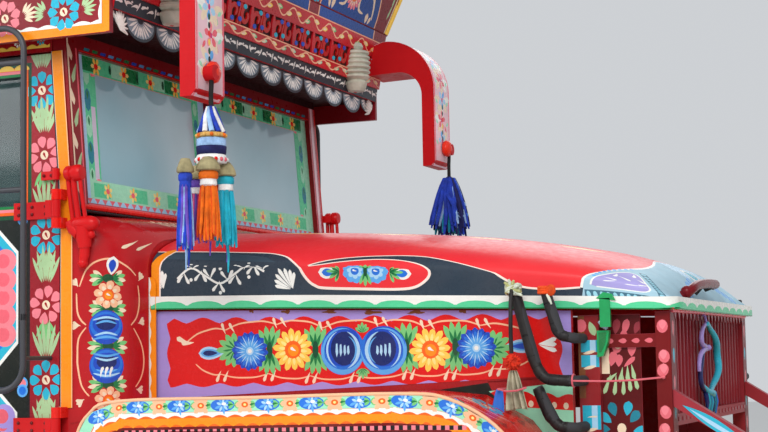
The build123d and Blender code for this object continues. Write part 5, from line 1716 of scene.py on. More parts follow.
# hoop of taped wire hung on the grille: turquoise right half, violet left half with a kink
b = Bag()
hp = smooth([(-172, 1468), (-150, 1474), (-92, 1458), (-39, 1428), (4, 1388), (12, 1345), (-28, 1302), (-84, 1272), (-150, 1256)], 5)
b.tube([(GX + 60 + 3 * math.sin(i * 0.5), y, z) for i, (y, z) in enumerate(hp)], [6 + 6.5 * math.sin(math.pi * min(1.0, i / (len(hp) - 1) * 0.86)) ** 1.4 for i in range(len(hp))], "turquoise", 8)
hp2 = smooth([(-160, 1474), (-212, 1456), (-238, 1430), (-228, 1408), (-176, 1398), (-160, 1394), (-210, 1388), (-262, 1372), (-286, 1344), (-288, 1322)], 5)
b.tube([(GX + 58, y, z) for y, z in hp2], [6 + 3 * math.sin(math.pi * i / (len(hp2) - 1)) for i in range(len(hp2))], "lavender", 8)
hp3 = smooth([(-214, 1384), (-242, 1350), (-262, 1320), (-258, 1290), (-230, 1268), (-176, 1252)], 5)
b.tube([(GX + 56, y, z) for y, z in hp3], 8.5, "navy", 8)
b.ball((GX + 64, -158, 1396), 10, "lavender", 8)
b.tube([(GX + 56, -236, 1276), (GX + 62, -190, 1256), (GX + 64, -118, 1248)], [7, 11, 13], "turquoise", 8)
for i in range(9):
    y0 = -212 + 17 * i
    b.tube([(GX + 60, y0, 1252), (GX + 64 + i % 3, y0 + 6, 1222), (GX + 62, y0 + 4 + 3 * (i % 2), 1196 - 7 * (i % 3))], [9, 8, 3], ("navy", "turquoise", "teal", "midblue", "turquoise")[i % 5], 6)
b.tube([(GX + 46, -164, 1506), (GX + 58, -164, 1496), (GX + 60, -162, 1476)], 5, "lavender", 6)
b.make("grille_hoop", smooth=True, sharp=60)
# pull handle on the nose
b = Bag()
hy0, hy1 = -470, -60
b.tube(smooth([(1858, hy0, 1556), (1884, hy0 + 8, 1572), (1890, hy0 + 70, 1588), (1892, (hy0 + hy1) / 2, 1598), (1888, hy1 - 40, 1602), (1872, hy1, 1600)], 6), 15, "maroon", 10)
b.tube([(1866, -330, 1566), (1890, -326, 1592)], 11, "black", 8)
b.tube([(1852, -100, 1588), (1884, -104, 1600)], 11, "black", 8)
b.ball((1872, hy0 + 2, 1566), 20, "maroon", 12)
b.make("nose_handle", "bonnet", smooth=True)
# bonnet catch on each side: bar from the lid's strip and a folded cup on the guard
plain_mat("catchgreen", (22, 150, 84), rough=0.36, var=0.25, scale=9, bump=0.1, dust=0.2, coat=0.25)
b = Bag()
b.box(1650, 1682, -668, -656, 1462, 1548, "catchgreen")
b.prism([(1640, 1548), (1700, 1540), (1688, 1560), (1662, 1566)], 12, lambda u, v, d: (u, -656 - d, v), "catchgreen")
mirb = b.mirrored()
b.make("bonnet_catch_bar", "bonnet")
mirb.make("bonnet_catch_bar_L", "bonnet")
b = Bag()
b.prism([(1634, 1452), (1672, 1452), (1668, 1420), (1652, 1376), (1634, 1372)], 22, lambda u, v, d: (u, -626 - d, v), "catchgreen")
b.prism([(1640, 1446), (1664, 1446), (1660, 1416), (1648, 1388), (1640, 1386)], 1.5, lambda u, v, d: (u, -648 - d, v), "green")
b.tube([(1642, -640, 1480), (1652, -642, 1466), (1666, -642, 1458)], 7, "chrome_" if "chrome_" in PAINTS else "silverblue", 8)
mirb = b.mirrored()
b.make("bonnet_catch_cup")
mirb.make("bonnet_catch_cup_L")

# pink string drawn tight from the middle hook to the guard's front post
b = Bag()
b.tube([(1580, -736, 1304), (1670, -697, 1301), (1750, -667, 1303), (1829, -634, 1310)], 3, "salmon", 6)
b.tube([(1580, -722 + 19 * math.cos(t), 1304 + 19 * math.sin(t)) for t in [2 * math.pi * j / 12 for j in range(12)]], 3, "salmon", 6, closed=True)
b.ball((1829, -630, 1310), 6, "salmon", 8)
b.make("guard_string", smooth=True)
# ================================================================ hook arms: rubber wraps, knots, hung bits
plain_mat("rubberwrap", (16, 18, 24), rough=0.42, var=0.35, scale=22, bump=0.35, dust=0.35)
plain_mat("worniron", (74, 74, 76), rough=0.5, metal=0.4, var=0.35, scale=14, bump=0.2, dust=0.5)
arms_pts = [((1585, 700, 1430), (1566, 728, 1434), (1540, 730, 1446), (1526, 730, 1482), (1500, 730, 1580)),
            ((1576, 722, 1304), (1540, 730, 1306), (1496, 731, 1314), (1468, 731, 1352), (1446, 731, 1420), (1402, 730, 1592)),
            ((1560, 728, 1166), (1538, 730, 1170), (1516, 730, 1190), (1500, 730, 1212), (1472, 730, 1282))]


def wrapped(s):
    b_ = Bag()
    for k, pts in enumerate(arms_pts):
        line = smooth([(x, s * y, z) for x, y, z in pts], 8)
        r = [(15.8 if k == 0 else 17.2) + 0.3 * math.sin(i * 1.9) + 0.5 * math.sin(i * 0.7) for i in range(len(line))]
        b_.tube(line, r, "rubberwrap", 10)
        # overlap edges of the tape
        for i in range(3, len(line) - 2, 5):
            a, c = Vector(line[i]), Vector(line[i + 1])
            b_.tube([a, a + (c - a) * 0.3], r[i] + 0.5, "black", 10)
    b_.make("hook_wraps" + ("_R" if s < 0 else "_L"), smooth=True, sharp=50)


wrapped(-1)
wrapped(1)
b = Bag()
b.tube(smooth([(1809, 731, 1300), (1808, 731, 1400), (1808, 730, 1500), (1808, 730, 1573)], 5), 17.5, "rubberwrap", 10)
b.make("hook_wrap_front_L", smooth=True)
# string knots at the hooks' tops
plain_mat("oldstring", (176, 178, 120), rough=0.85, var=0.4, scale=40, bump=0.5)
plain_mat("palestring", (206, 214, 196), rough=0.85, var=0.3, scale=40, bump=0.5)
plain_mat("orangeyarn", (226, 76, 20), rough=0.8, var=0.35, scale=40, bump=0.6)
plain_mat("pomyarn", (226, 46, 14), rough=0.85, var=0.4, scale=46, bump=0.7)
b = Bag()
for k in range(5):
    a = k * 1.25
    b.tube([(1402 + 22 * math.cos(t + a), -731 + 22 * math.sin(t + a), 1570 + 5 * k + 5 * math.sin(2 * t)) for t in [2 * math.pi * j / 10 for j in range(10)]], 5.5, "oldstring" if k % 2 else "palestring", 6, closed=True)
for k, (dx, dz, L) in enumerate(((-20, 22, 34), (-6, 30, 36), (10, 26, 30), (24, 10, 40), (30, -8, 44), (36, -20, 50))):
    b.tube([(1402, -748, 1580), (1402 + dx * 0.6, -752, 1580 + dz * 0.7), (1402 + dx, -756, 1580 + dz)], [6, 6, 3.5], "palestring" if k % 2 else "oldstring", 6)
b.make("hook_string_knot", smooth=True, sharp=60)
b = Bag()
for k in range(3):
    b.tube([(1502 + 20 * math.cos(t), -731 + 20 * math.sin(t), 1568 + 7 * k) for t in [2 * math.pi * j / 10 for j in range(10)]], 5.5, "orangeyarn", 6, closed=True)
b.ball((1524, -744, 1574), 15, "orangeyarn", 10, 1.2)
b.tube([(1512, -744, 1562), (1520, -748, 1546), (1526, -748, 1532)], [5, 5, 3], "palestring", 6)
b.make("hook_orange_knot", smooth=True, sharp=60)

# strap down to the yarn ball and the hung cloth
BXX, BYY = 1406.0, -776.0


def cord_curve(name, pts, dia, mat, body="root"):
    cu = bpy.data.curves.new(name, "CURVE")
    cu.dimensions = "3D"
    cu.bevel_depth = dia / 2000.0
    cu.bevel_resolution = 3
    cu.use_fill_caps = True
    sp_ = cu.splines.new("NURBS")
    sp_.points.add(len(pts) - 1)
    for q, p_ in zip(sp_.points, pts):
        q.co = (*P(*p_), 1.0)
    sp_.order_u = 3
    sp_.use_endpoint_u = True
    sp_.resolution_u = 12
    cu.materials.append(PAINTS[mat])
    ob = bpy.data.objects.new(name, cu)
    scene.collection.objects.link(ob)
    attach(ob, body)
    return ob


strap_pts = [(BXX - 2, -752, 1578), (BXX - 1, -768, 1545), (BXX, BYY, 1500), (BXX - 1, BYY, 1440), (BXX, BYY, 1388)]
strap = cord_curve("bundle_strap", strap_pts, 13, "rubberwrap")
rnd = random.Random(7)
b = Bag()
b.ball((BXX + 2, BYY, 1362), 19, "pomyarn", 14)
for k in range(120):
    a, c = rnd.uniform(0, 2 * math.pi), rnd.uniform(-1, 1)
    d = Vector((math.cos(a) * math.sqrt(1 - c * c), math.sin(a) * math.sqrt(1 - c * c), c))
    o = Vector((BXX + 2, BYY, 1362))
    b.tube([o + d * 15, o + d * 26.5 + Vector((0, 0, -1.5))], [3.4, 1.8], "pomyarn", 4)
pom = b.make("yarn_ball", smooth=True, sharp=70)


# knitted rag gathered under the yarn ball, and a blue ribbon beside it
plain_mat("ragcloth", (170, 164, 140), rough=0.92, var=0.5, scale=26, bump=0.6)
plain_mat("blueribbon", (36, 112, 214), rough=0.55, var=0.25, scale=10, bump=0.2)


def hung_cloth(name, cx, cy, z0, z1, w0, w1, folds, depth, mat, lean=0.0, cols=30, rows=22, seed=1):
    """A strip of cloth gathered at its top and hung in folds; returns the piece and its flat size."""
    rg = random.Random(seed)
    ph = [rg.uniform(0, 6.28) for _ in range(4)]
    vs, fs = [], []
    for j in range(rows + 1):
        t = j / rows
        z = z0 + (z1 - z0) * t
        w = w0 + (w1 - w0) * t ** 0.7
        for i in range(cols + 1):
            u = i / cols - 0.5
            f = math.sin(2 * math.pi * folds * (u + 0.5) + ph[0] + 0.7 * math.sin(3 * t + ph[1]))
            g = math.sin(2 * math.pi * folds * 0.5 * (u + 0.5) + ph[2])
            vs.append((cx + u * w + lean * t + 5 * t * math.sin(5 * u + ph[3]), cy + depth * (0.35 + 0.65 * t) * (f * 0.7 + g * 0.3), z + 3 * math.sin(7 * u + ph[1]) * t))
    for j in range(rows):
        for i in range(cols):
            a = j * (cols + 1) + i
            fs.append((a, a + 1, a + cols + 2, a + cols + 1))
    ob = mesh_obj(name, vs, fs, mat, "root", True, sharp=0)
    area = sum(p_.area for p_ in ob.data.polygons)
    # width along the middle row
    j = rows // 2
    wid = sum((Vector(vs[j * (cols + 1) + i + 1]) - Vector(vs[j * (cols + 1) + i])).length for i in range(cols)) / 1000
    sol = ob.modifiers.new("thick", "SOLIDIFY")
    sol.thickness = 0.0016
    sol.offset = 0
    return ob, (wid, area / wid)


rag, flat = hung_cloth("hung_rag", BXX + 4, BYY, 1338, 1222, 22, 74, 3.5, 17, "ragcloth", lean=10, seed=4)
rib, flat = hung_cloth("hung_ribbon", BXX - 38, BYY - 4, 1282, 1212, 20, 40, 1.2, 7, "blueribbon", lean=-12, cols=14, rows=16, seed=9)
b = Bag()
b.tube([(BXX - 40, BYY - 18, 1283), (BXX - 10, BYY - 22, 1276), (BXX + 20, BYY - 18, 1278), (BXX + 44, BYY - 4, 1286)], 3, "salmon", 6)
b.tube([(BXX - 40, BYY - 18, 1283), (BXX - 20, BYY + 14, 1284), (BXX + 20, BYY + 16, 1286), (BXX + 44, BYY - 4, 1286)], 3, "salmon", 6)
b.make("rag_tie", smooth=True)
Canvas.detail = 0.6
# ================================================================ windscreen: frame face and stickers on the glass
RK = 38.0 / 505.0


def rk(x, z):
    return x - (z - 1906) * RK


def frame_place(x):
    return lambda u, v: (rk(x, v), u, v)


paint("framered", (132, 6, 18), rough=0.3, coat=0.4, dust=0.25, fade=0.2)
# glasspale is pale blue standing in for the sky reflected in glass: painted reflection.
paint("glasspale", (150, 192, 206), rough=0.1, coat=0.6, dust=0.2, fade=0.1)
paint("stripewhite", (238, 206, 214), rough=0.3)
paint("palelilac", (206, 200, 222), rough=0.3)
wf_ = Canvas("windscreen_frame_art", rectp(-958, 958, 1882, 2468), "framered", frame_place(0.5), holes=[rectp(-890, -20, 1906, 2411), rectp(20, 890, 1906, 2411)])
for s in (-1, 1):
    for i in range(7 if s < 0 else 0):
        z = 1930 + 74 * i
        wf_.comma(s * 935, z, math.pi / 2 + 0.15 * (-1) ** i, 78, 22, "sage" if i % 2 else "cream", 0.4 * (-1) ** i)
    if s < 0:
        wf_.rect(s * 905 - 4, s * 905 + 4, 1900, 2420, "rosepink")
        wf_.rect(s * 955 - 5, s * 955 + 5, 1882, 2468, "cream")
    else:
        wf_.rect(896, 902, 1882, 2468, "pink")
        wf_.rect(908, 932, 1882, 2468, "stripewhite")
        wf_.rect(937, 943, 1882, 2468, "pink")
        wf_.rect(948, 956, 1882, 2468, "scarlet")
    # line of dashes over the glass
    for i in range(17):
        y = s * (40 + 50 * i)
        wf_.add([(y - 20, 2421), (y + 12, 2421), (y + 20, 2431), (y - 12, 2431)], ("teal", "skyblue", "blue", "green")[i % 4])
    wf_.rect(*sorted((s * 22, s * 888)), 2414, 2417, "scarlet")
    wf_.rect(*sorted((s * 22, s * 888)), 1896, 1904, "rosepink")
wf_.build("root")
b = Bag()
for s in (-1, 1):
    for z in (2392,):
        pass
b.tube([(14, -940, 1889), (15, -500, 1890), (15, 500, 1890), (14, 940, 1889)], 9, "scarlet", 8)
b.tube([(12, -944, 1876), (13, 0, 1877), (12, 944, 1876)], 6, "black", 8)
b.make("windscreen_sill_bead", smooth=True)


def glass_place(u, v):
    return (rk(-18, v) + 0.2, u, v)


GO = (-889, 889)
for s, nm in ((-1, "R"), (1, "L")):
    a, c = (-889, -21) if s < 0 else (21, 889)
    inner = rectp(a + 118, c - 92, 1988, 2352) if s < 0 else rectp(a + 92, c - 118, 1988, 2352)
    st = Canvas("windscreen_stickers_" + nm, rectp(a, c, 1907, 2410), "mint", glass_place, holes=[inner], thick=0.4, lift=0.2)
    mm = (lambda y: y) if s < 0 else (lambda y: -y)
    # near edge: pale blue then mint then a pinkish margin
    def rr(y0, y1, z0, z1, col):
        y0, y1 = sorted((mm(y0), mm(y1)))
        st.rect(y0, y1, z0, z1, col)
    rr(-889, -842, 1907, 2410, "paleblue" if s < 0 else "palemint")
    rr(-842, -806, 1907, 2352, "mint")
    rr(-806, -781, 1990, 2240, "palelilac" if s < 0 else "mint")
    for i in range(5):
        y, z = mm(-824), 1990 + 90 * i
        st.disk(y, z, 19, "teal" if i % 2 else "palemint", 40, n=14)
        st.petal(y, z, 1.6, 0, 34, 12, "green", 0.6)
    # top band: greens with yellow and red flowers
    rr(-842, -21, 2352, 2410, "mint")
    for i in range(9):
        y = mm(-800 + 90 * i)
        st.add([(y - 44, 2360), (y + 44, 2360), (y + 44, 2408), (y - 44, 2408)], ("green", "mint", "palemint")[i % 3])
    for i in range(5):
        y = mm(-760 + 178 * i)
        for k in range(6):
            st.petal(y, 2382, k * math.pi / 3, 4, 32, 15, "yellow" if k % 3 else "paleyellow", 0.8)
        st.disk(y, 2382, 13, "scarlet", 11, n=10)
        st.disk(mm(-760 + 178 * i + 88), 2384, 9, "darkgreen", 17, n=8)
    st.scallops(*sorted((mm(-800), mm(-110))), 2354, 9, 22, "pink", -1)
    for i in range(24):
        st.disk(mm(-790 + 30 * i), 2347, 5, "rosepink", 4, n=8)
    # bottom band
    rr(-842, -21, 1926, 1988, "palemint")
    for i in range(7):
        y = mm(-770 + 120 * i)
        st.add([(y - 50, 1932), (y + 50, 1932), (y + 50, 1980), (y - 50, 1980)], ("mint", "palemint")[i % 2])
    for i in range(5):
        y = mm(-735 + 160 * i)
        for k in range(6):
            st.petal(y, 1957, k * math.pi / 3 + 0.3, 4, 28, 14, "yellow" if k % 2 else "paleyellow", 0.8)
        st.disk(y, 1957, 12, "rosepink", 10, n=10)
    st.scallops(*sorted((mm(-800), mm(-110))), 1988, 7, 24, "pink", 1)
    rr(-889, -21, 1907, 1926, "paleblue")
    for i in range(18):
        y = mm(-850 + 46 * i)
        st.add([(y - 17, 1926), (y + 17, 1926), (y, 1908)], "rosepink" if i % 2 else "salmon")
    # band beside the middle post
    rr(-113, -66, 1988, 2352, "mint")
    rr(-66, -21, 1907, 2410, "paleblue")
    for i in range(6):
        st.disk(mm(-90), 2016 + 62 * i, 15, "palemint" if i % 2 else "teal", 26, n=12)
    st.build("root")
# middle post
b = Bag()
b.tube([(rk(4, 1906), 0, 1906), (rk(4, 2411), 0, 2411)], 14, "framered", 10)
b.make("windscreen_post", smooth=True)

# ================================================================ crown: side cheeks
CK = [(-1448, 2422), (204, 2422), (204, 2760), (262, 2792), (526, 3424), (502, 3428), (420, 3188), (-1448, 3248)]
paint("cheekred", (132, 14, 30), rough=0.28, coat=0.4, dust=0.3, fade=0.25)
ck = Canvas("crown_cheek_art", CK, "cheekred", side_place(-1080))
ck.band([(-1448, 2436), (190, 2436), (190, 2770)], 28, "orange", 0)
ck.band([(190, 2760), (252, 2800), (515, 3424)], 28, "orange", 0)
ck.rect(178, 204, 2424, 2758, "orange")
ck.add([(178, 2758), (204, 2756), (262, 2792), (526, 3424), (502, 3428), (236, 2806)], "orange")
ck.wave_band([(-1448, 2450), (176, 2450)], 5, 8, 66, "white", 1)
ck.wave_band([(176, 2450), (176, 2766), (240, 2806), (500, 3420)], 5, 8, 66, "white", 1)
ck.band([(-1448, 3232), (420, 3176), (505, 3420)], 26, "orange", 0)
for i in range(8):
    x = 34 - 225 * i
    open_flower(ck, x, 2500, 62, ("turquoise", "pink")[i % 2], 9, "cream", "crimson", 0.3)
    for s in (-1, 1):
        tuft(ck, x + s * 62, 2500, 0.35 if s > 0 else math.pi - 0.35, 66, 6, 1.5, "cream" if i % 2 else "sage", 10)
ck.band([(-1440, 2592), (180, 2592)], 10, "yellow", 0)
for i in range(5):
    x = -20 - 320 * i
    ck.cusp_field(x - 130, x + 130, 2640, 3130, 60, 12, ("navy", "darkgreen", "maroon")[i % 3])
    ck.frame_rect(x - 142, x + 142, 2628, 3142, 6, "yellow")
    ck.daisy(x, 2885, 92, 14, ("turquoise", "paleblue") if i % 2 else ("pink", "cream"), ("deeporange", "yellow", "white"))
    for s in (-1, 1):
        ck.leaf_fan(x, 2885 + s * 105, s * math.pi / 2, 90, 7, 2.0)
        ck.petal(x, 3060 if s > 0 else 2710, 0, -60, 60, 26, "orange", 0.5, 10)
        spray(ck, x - 70, 2885 + s * 60, s * 1.9, 120, 3, "cream", 10)
        spray(ck, x + 70, 2885 + s * 60, s * 1.24, 120, 3, "cream", 10)
    for s in (-1, 1):
        open_flower(ck, x + s * 78, 2690, 24, "yellow", 7)
        open_flower(ck, x + s * 78, 3085, 24, "turquoise", 7)
ck.stroke([(300, 2960), (340, 3060), (380, 3160)], 22, "pink", (0.3, 0.3))
ck.daisy(255, 2950, 60, 12, ("turquoise", "paleblue"), ("deeporange", "yellow", "white"))
mir(ck.build("root"))

# ================================================================ gallery over the windscreen
def gal_place(u, v):
    t = v / 295.4
    return (206 + 56 * t, u, 2500 + 290 * t)


paint("railred", (196, 24, 36), rough=0.28, coat=0.4, dust=0.25, fade=0.2)
paint("fret_gaps_painted_shade", (58, 12, 12), rough=0.5, coat=0.1, dust=0.35)
paint("boardblue", (0, 66, 150), rough=0.26, coat=0.4, dust=0.2, fade=0.2)
# The fretwork's dark backing is painted shade: a dark sheet standing for the shadow seen through the gaps between the
# red scrolls.
fr = Canvas("gallery_fretwork", rectp(-1058, 1058, 84, 196), "fret_gaps_painted_shade", gal_place, lift=1, thick=2)
fr.build("root")
b = Bag()


def gp(d0):
    def f(u, v, d):
        x, y, z = gal_place(u, v)
        return (x + (d0 + d) * 0.982, y, z - (d0 + d) * 0.19)
    return f


def scroll(b_, cx, cy, r, turns, s, mat, w=9):
    line = []
    for i in range(16):
        t = i / 15
        a = math.pi / 2 * s + turns * 2 * math.pi * t * s
        line.append((cx + r * (1 - 0.75 * t) * math.cos(a), cy + r * (1 - 0.75 * t) * math.sin(a)))
    left, right = [], []
    for i, (x, y) in enumerate(line):
        p, q = line[max(i - 1, 0)], line[min(i + 1, 15)]
        dx, dy = q[0] - p[0], q[1] - p[1]
        L = math.hypot(dx, dy) or 1
        ww = w * (1 - 0.5 * i / 15)
        left.append((x - dy / L * ww, y + dx / L * ww))
        right.append((x + dy / L * ww, y - dx / L * ww))
    for i in range(15):
        b_.prism([left[i], left[i + 1], right[i + 1], right[i]], 7, gp(3), mat)


paint("fretred", (186, 22, 20), rough=0.3, coat=0.35, dust=0.25)
for i in range(12):
    y = -968 + 176 * i
    for s in (-1, 1):
        scroll(b, y + s * 44, 138, 40, 0.9, s, "fretred", 12)
        b.prism([(y + s * 10 - 7, 100), (y + s * 10 + 7, 100), (y + s * 4 + 4, 186), (y + s * 4 - 4, 186)], 6, gp(3), "fretred")
    b.prism([(y - 88, 96), (y - 76, 96), (y - 70, 140), (y - 88, 184), (y - 100, 184), (y - 100, 140)], 8, gp(3), "railred")
b.make("gallery_scrolls")
b = Bag()
for i in range(12):
    y = -968 + 176 * i
    for dx, dv, aa in ((-26, 168, 0), (26, 168, 0), (0, 118, 0), (-60, 112, 0)):
        pr = arc_pts(y + dx, dv, 13, 9, 0, 2 * math.pi, 10)[:-1]
        b.prism(pr, 3, gp(9), "blue" if (i + dx) % 3 else "turquoise")
b.make("gallery_leaves")
for nm, v0, v1, hh in (("low", 55, 98, 10), ("top", 180, 252, 10)):
    rc = Canvas("gallery_rail_" + nm, rectp(-1060, 1060, v0, v1), "railred", gal_place, lift=1, thick=hh)
    n_ = 26
    for i in range(n_):
        u = -1040 + 82 * i
        c_ = ("palemint", "paleyellow", "mint")[i % 3] if nm == "low" else ("yellow", "leaf", "paleyellow")[i % 3]
        m = (v0 + v1) / 2 + (9 if i % 2 else -9) * (1 if nm == "top" else 0.6)
        rc.petal(u - 26, m, 0.1 * (-1) ** i, 0, 52, 19 if nm == "top" else 15, c_, 0.5, 8)
        rc.petal(u - 16, m, 0.1 * (-1) ** i, 0, 32, 9, "cream", 0.5, 6)
    vine = [(-1055 + 20.5 * i, (v0 + v1) / 2 + ((v1 - v0) * 0.30) * math.sin(i * 0.78)) for i in range(104)]
    rc.stroke(vine, 6, "peach", (0.8, 0.8), 2)
    rc.band([(-1060, v1 - 3), (1060, v1 - 3)], 4, "peach", 0)
    rc.build("root")
# board foot on the gallery's upper edge
ft = Canvas("gallery_upper_band", rectp(-1060, 1060, 253, 294), "cheekred", gal_place, lift=1, thick=3)
for c in (-650, 0, 650):
    ft.rect(c - 275, c + 275, 250, 296, "boardblue")
    ft.band([(c - 278, 250), (c - 278, 296)], 8, "peach")
    ft.band([(c + 278, 250), (c + 278, 296)], 8, "peach")
ft.build("root")
# ribbed pots at the gallery
plain_mat("potgrey", (186, 188, 172), rough=0.42, var=0.3, scale=14, bump=0.15, dust=0.35, coat=0.2)
b = Bag()
FIN_Y = 760
for s in (-1, 1):
    prof = [(6, 2), (24, 0), (32, -16), (26, -28)]
    for k in range(6):
        z = -34 - 20 * k
        r0 = 52 + 6 * math.sin(math.pi * (k + 0.5) / 6)
        prof += [(r0 - 6, z), (r0 + 2, z - 5), (r0 + 3, z - 12), (r0 - 5, z - 18)]
    prof += [(38, -158), (46, -168), (42, -186), (34, -204), (2, -208)]
    b.lathe(prof, (249, s * FIN_Y, 2702), "z", "potgrey", 28)
b.make("gallery_pots", smooth=True, sharp=40)

# ================================================================ valance
paint("valgrey", (46, 52, 62), rough=0.34, metal=0.15, coat=0.25, dust=0.25, fade=0.25)
paint("valpale", (128, 144, 156), rough=0.36, metal=0.1, coat=0.2, dust=0.25, fade=0.35)
VJ = [-1060.0] + [-974.0 + 190 * i for i in range(11)] + [1060.0]
vo = [(-1060, 2500)]
for y0, y1 in zip(VJ, VJ[1:]):
    deep = 70.0 * min(1.0, (y1 - y0) / 190.0)
    vo += [((y0 + y1) / 2 - (y1 - y0) / 2 * math.cos(math.pi * j / 14), 2494 - deep * math.sin(math.pi * j / 14) ** 0.85) for j in range(15)]
vo += [(1060, 2500)]
vl = Canvas("valance_plate", vo, "valgrey", front_place(194), lift=0, thick=1.2)
for y0, y1 in zip(VJ, VJ[1:]):
    c, h_ = (y0 + y1) / 2, (y1 - y0) / 2
    k_ = min(1.0, (y1 - y0) / 190.0)
    vl.add([(c + (h_ - 9) * math.cos(math.pi * j / 14), 2492 - 58 * k_ * math.sin(math.pi * j / 14) ** 0.85) for j in range(15)], "valpale")
    for k in range(11):
        a_ = math.pi * (k + 0.5) / 11
        vl.petal(c, 2496, -a_, 20, (58 + 22 * abs(math.cos(a_))) * k_, 9, "white", 0.6, 5)
    for s_ in (-1, 1):
        vl.comma(c + s_ * 10, 2470, -math.pi / 2 - s_ * 0.9, 34 * k_, 10, "white", 0.5 * s_)
    vl.disk(c, 2490, 17, "valgrey", 9, n=12)
vlo = vl.build("root", ("valance",))
vb = Canvas("gallery_lower_band", rectp(-1060, 1060, 0, 54), "valgrey", gal_place, lift=1, thick=2)
rg = random.Random(5)
for i in range(22):
    c = -1010 + 96 * i
    for s_ in (-1, 1):
        vb.comma(c + s_ * 8, 27, (0.5 if s_ > 0 else math.pi - 0.5) + rg.uniform(-0.2, 0.2), 44, 12, "white", -0.9 * s_)
    vb.comma(c, 44, -math.pi / 2 + rg.uniform(-0.5, 0.5), 34, 10, "white", rg.uniform(-0.8, 0.8))
    vb.disk(c + 46, 38, 6, "white", 4, n=8)
vb.build("root")
# fan at the gallery's right end and its twin
b = Bag()
for s in (-1, 1):
    for k in range(9):
        a = -0.2 + k * 0.32
        tipy, tipz = s * 1010 + 46 * math.cos(a) * -s, 2444 + 58 * math.sin(a)
        b.tube([(199, s * 1008, 2440), (200, (s * 1008 + tipy) / 2 + s * 4, (2440 + tipz) / 2 + 4), (199, tipy, tipz)], [2, 6, 2.4], "white", 6)
b.make("valance_fans", smooth=True)

# ================================================================ board over the cab
def b1_place(u, v):
    return (262 + 274 * v / 714.6, u, 2792 + 660 * v / 714.6)


def b2_place(u, v):
    return (536 + 404 * v / 672.8, u, 3452 + 538 * v / 672.8)


def b1w(v):
    return 1062 + (1150 - 1062) * v / 714.6


lowb = Canvas("board_lower_art", [(-1062, 4), (1062, 4), (1150, 713), (-1150, 713)], "cheekred", b1_place)
for c in (-650, 0, 650):
    lens = smooth([(c - 275, 0), (c - 272, 60), (c - 240, 150), (c - 180, 240), (c - 90, 320), (c, 356), (c + 90, 320), (c + 180, 240), (c + 240, 150), (c + 272, 60), (c + 275, 0)], 5)
    lowb.add(lens, "boardblue")
    lowb.band(lens, 9, "peach", 0)
    for s in (-1, 1):
        lowb.stroke([(c + s * 220, 30), (c + s * 190, 110), (c + s * 120, 150), (c + s * 60, 110), (c + s * 70, 50), (c + s * 120, 40)], 20, "cream", (0.3, 0.2))
        lowb.petal(c + s * 168, 6, math.pi / 2, 0, 46, 30, "cream", 0.9)
        lowb.petal(c + s * 190, 6, math.pi / 2 - s * 0.5, 0, 40, 20, "cream", 0.9)
        spray(lowb, c + s * 60, 170, math.pi / 2 + s * 0.5, 120, 3, "cream", 14)
        if abs(c + s * 325) < 900:
            tuft(lowb, c + s * 325, 60, math.pi / 2, 150, 7, 0.9, "sage", 14)
            open_flower(lowb, c + s * 325, 40, 44, "turquoise", 8)
    lowb.daisy(c, 96, 66, 14, ("pink", "cream"), ("deeporange", "yellow", "white"))
    lowb.daisy(c, 520, 96, 16, ("yellow", "paleyellow"), ("deeporange", "orange", "white"))
    for s in (-1, 1):
        lowb.leaf_fan(c + s * 110, 520, 0 if s > 0 else math.pi, 110, 7, 1.9)
        lowb.blue_daisy(c + s * 235, 480, 52)
for s in (-1, 1):
    for i in range(9):
        lowb.comma(s * (1010 + 8 * i), 60 + 66 * i, math.pi / 2 - s * 0.3, 110, 14, "sage", 0.15)
    lowb.band([(s * 1050, 0), (s * 1138, 713)], 16, "yellow", 0)
    lowb.band([(s * 1036, 0), (s * 1122, 713)], 8, "cream", 0)
lowb.wave_band([(-1150, 640), (1150, 640)], 8, 14, 90, "orange", 1)
lowb.band([(-1150, 664), (1150, 664)], 12, "white", 0)
for i in range(24):
    lowb.add([(-1140 + 95 * i + 6, 690), (-1140 + 95 * i + 48, 708), (-1140 + 95 * i + 90, 690), (-1140 + 95 * i + 48, 672)], ("turquoise", "pink", "yellow")[i % 3])
lowb.build("root")
topl = [(-1150, 2), (1150, 2), (1250, 432), (900, 494), (560, 531), (300, 630), (0, 674), (-300, 630), (-560, 531), (-900, 494), (-1250, 432)]
upb = Canvas("board_upper_art", topl, "boardblue", b2_place)
edge_t = [(1250, 432), (900, 494), (560, 531), (300, 630), (0, 674), (-300, 630), (-560, 531), (-900, 494), (-1250, 432)]
upb.band(edge_t, 56, "orange", 14)
upb.wave_band(edge_t, 40, 12, 80, "white", 1, 30)
for s in (-1, 1):
    upb.band([(s * 1140, 0), (s * 1238, 432)], 26, "orange", 0)
upb.daisy(0, 300, 150, 18, ("rosepink", "cream"), ("deeporange", "yellow", "white"))
for k in range(12):
    a = 2 * math.pi * k / 12
    upb.petal(0, 300, a, 165, 240, 44, "turquoise" if k % 2 else "yellow", 0.9)
for c in (-860, -430, 430, 860):
    for k in range(10):
        a = 2 * math.pi * k / 10
        upb.petal(c, 240, a, 70, 140, 50, "scarlet" if k % 2 else "pink", 0.9)
    upb.blue_daisy(c, 240, 74)
    for s in (-1, 1):
        upb.leaf_fan(c, 240 + s * 140, s * math.pi / 2, 80, 5, 2.0)
for c in (-1060, -645, -215, 215, 645, 1060):
    spray(upb, c, 60, math.pi / 2, 250, 5, "cream", 20)
for i in range(22):
    upb.petal(-1100 + 104 * i, 20, math.pi / 2, 0, 46, 34, ("yellow", "pink")[i % 2], 0.9)
upb.build("root")
# back of the board: slats painted plain with a rim
# plain finishes for the board's back and for timber, then a rim along the board
plain_mat("boardback", (120, 40, 34), rough=0.6, var=0.35, scale=6, bump=0.2, dust=0.5)
plain_mat("timber", (136, 92, 56), rough=0.7, var=0.45, scale=7, bump=0.3, dust=0.45)
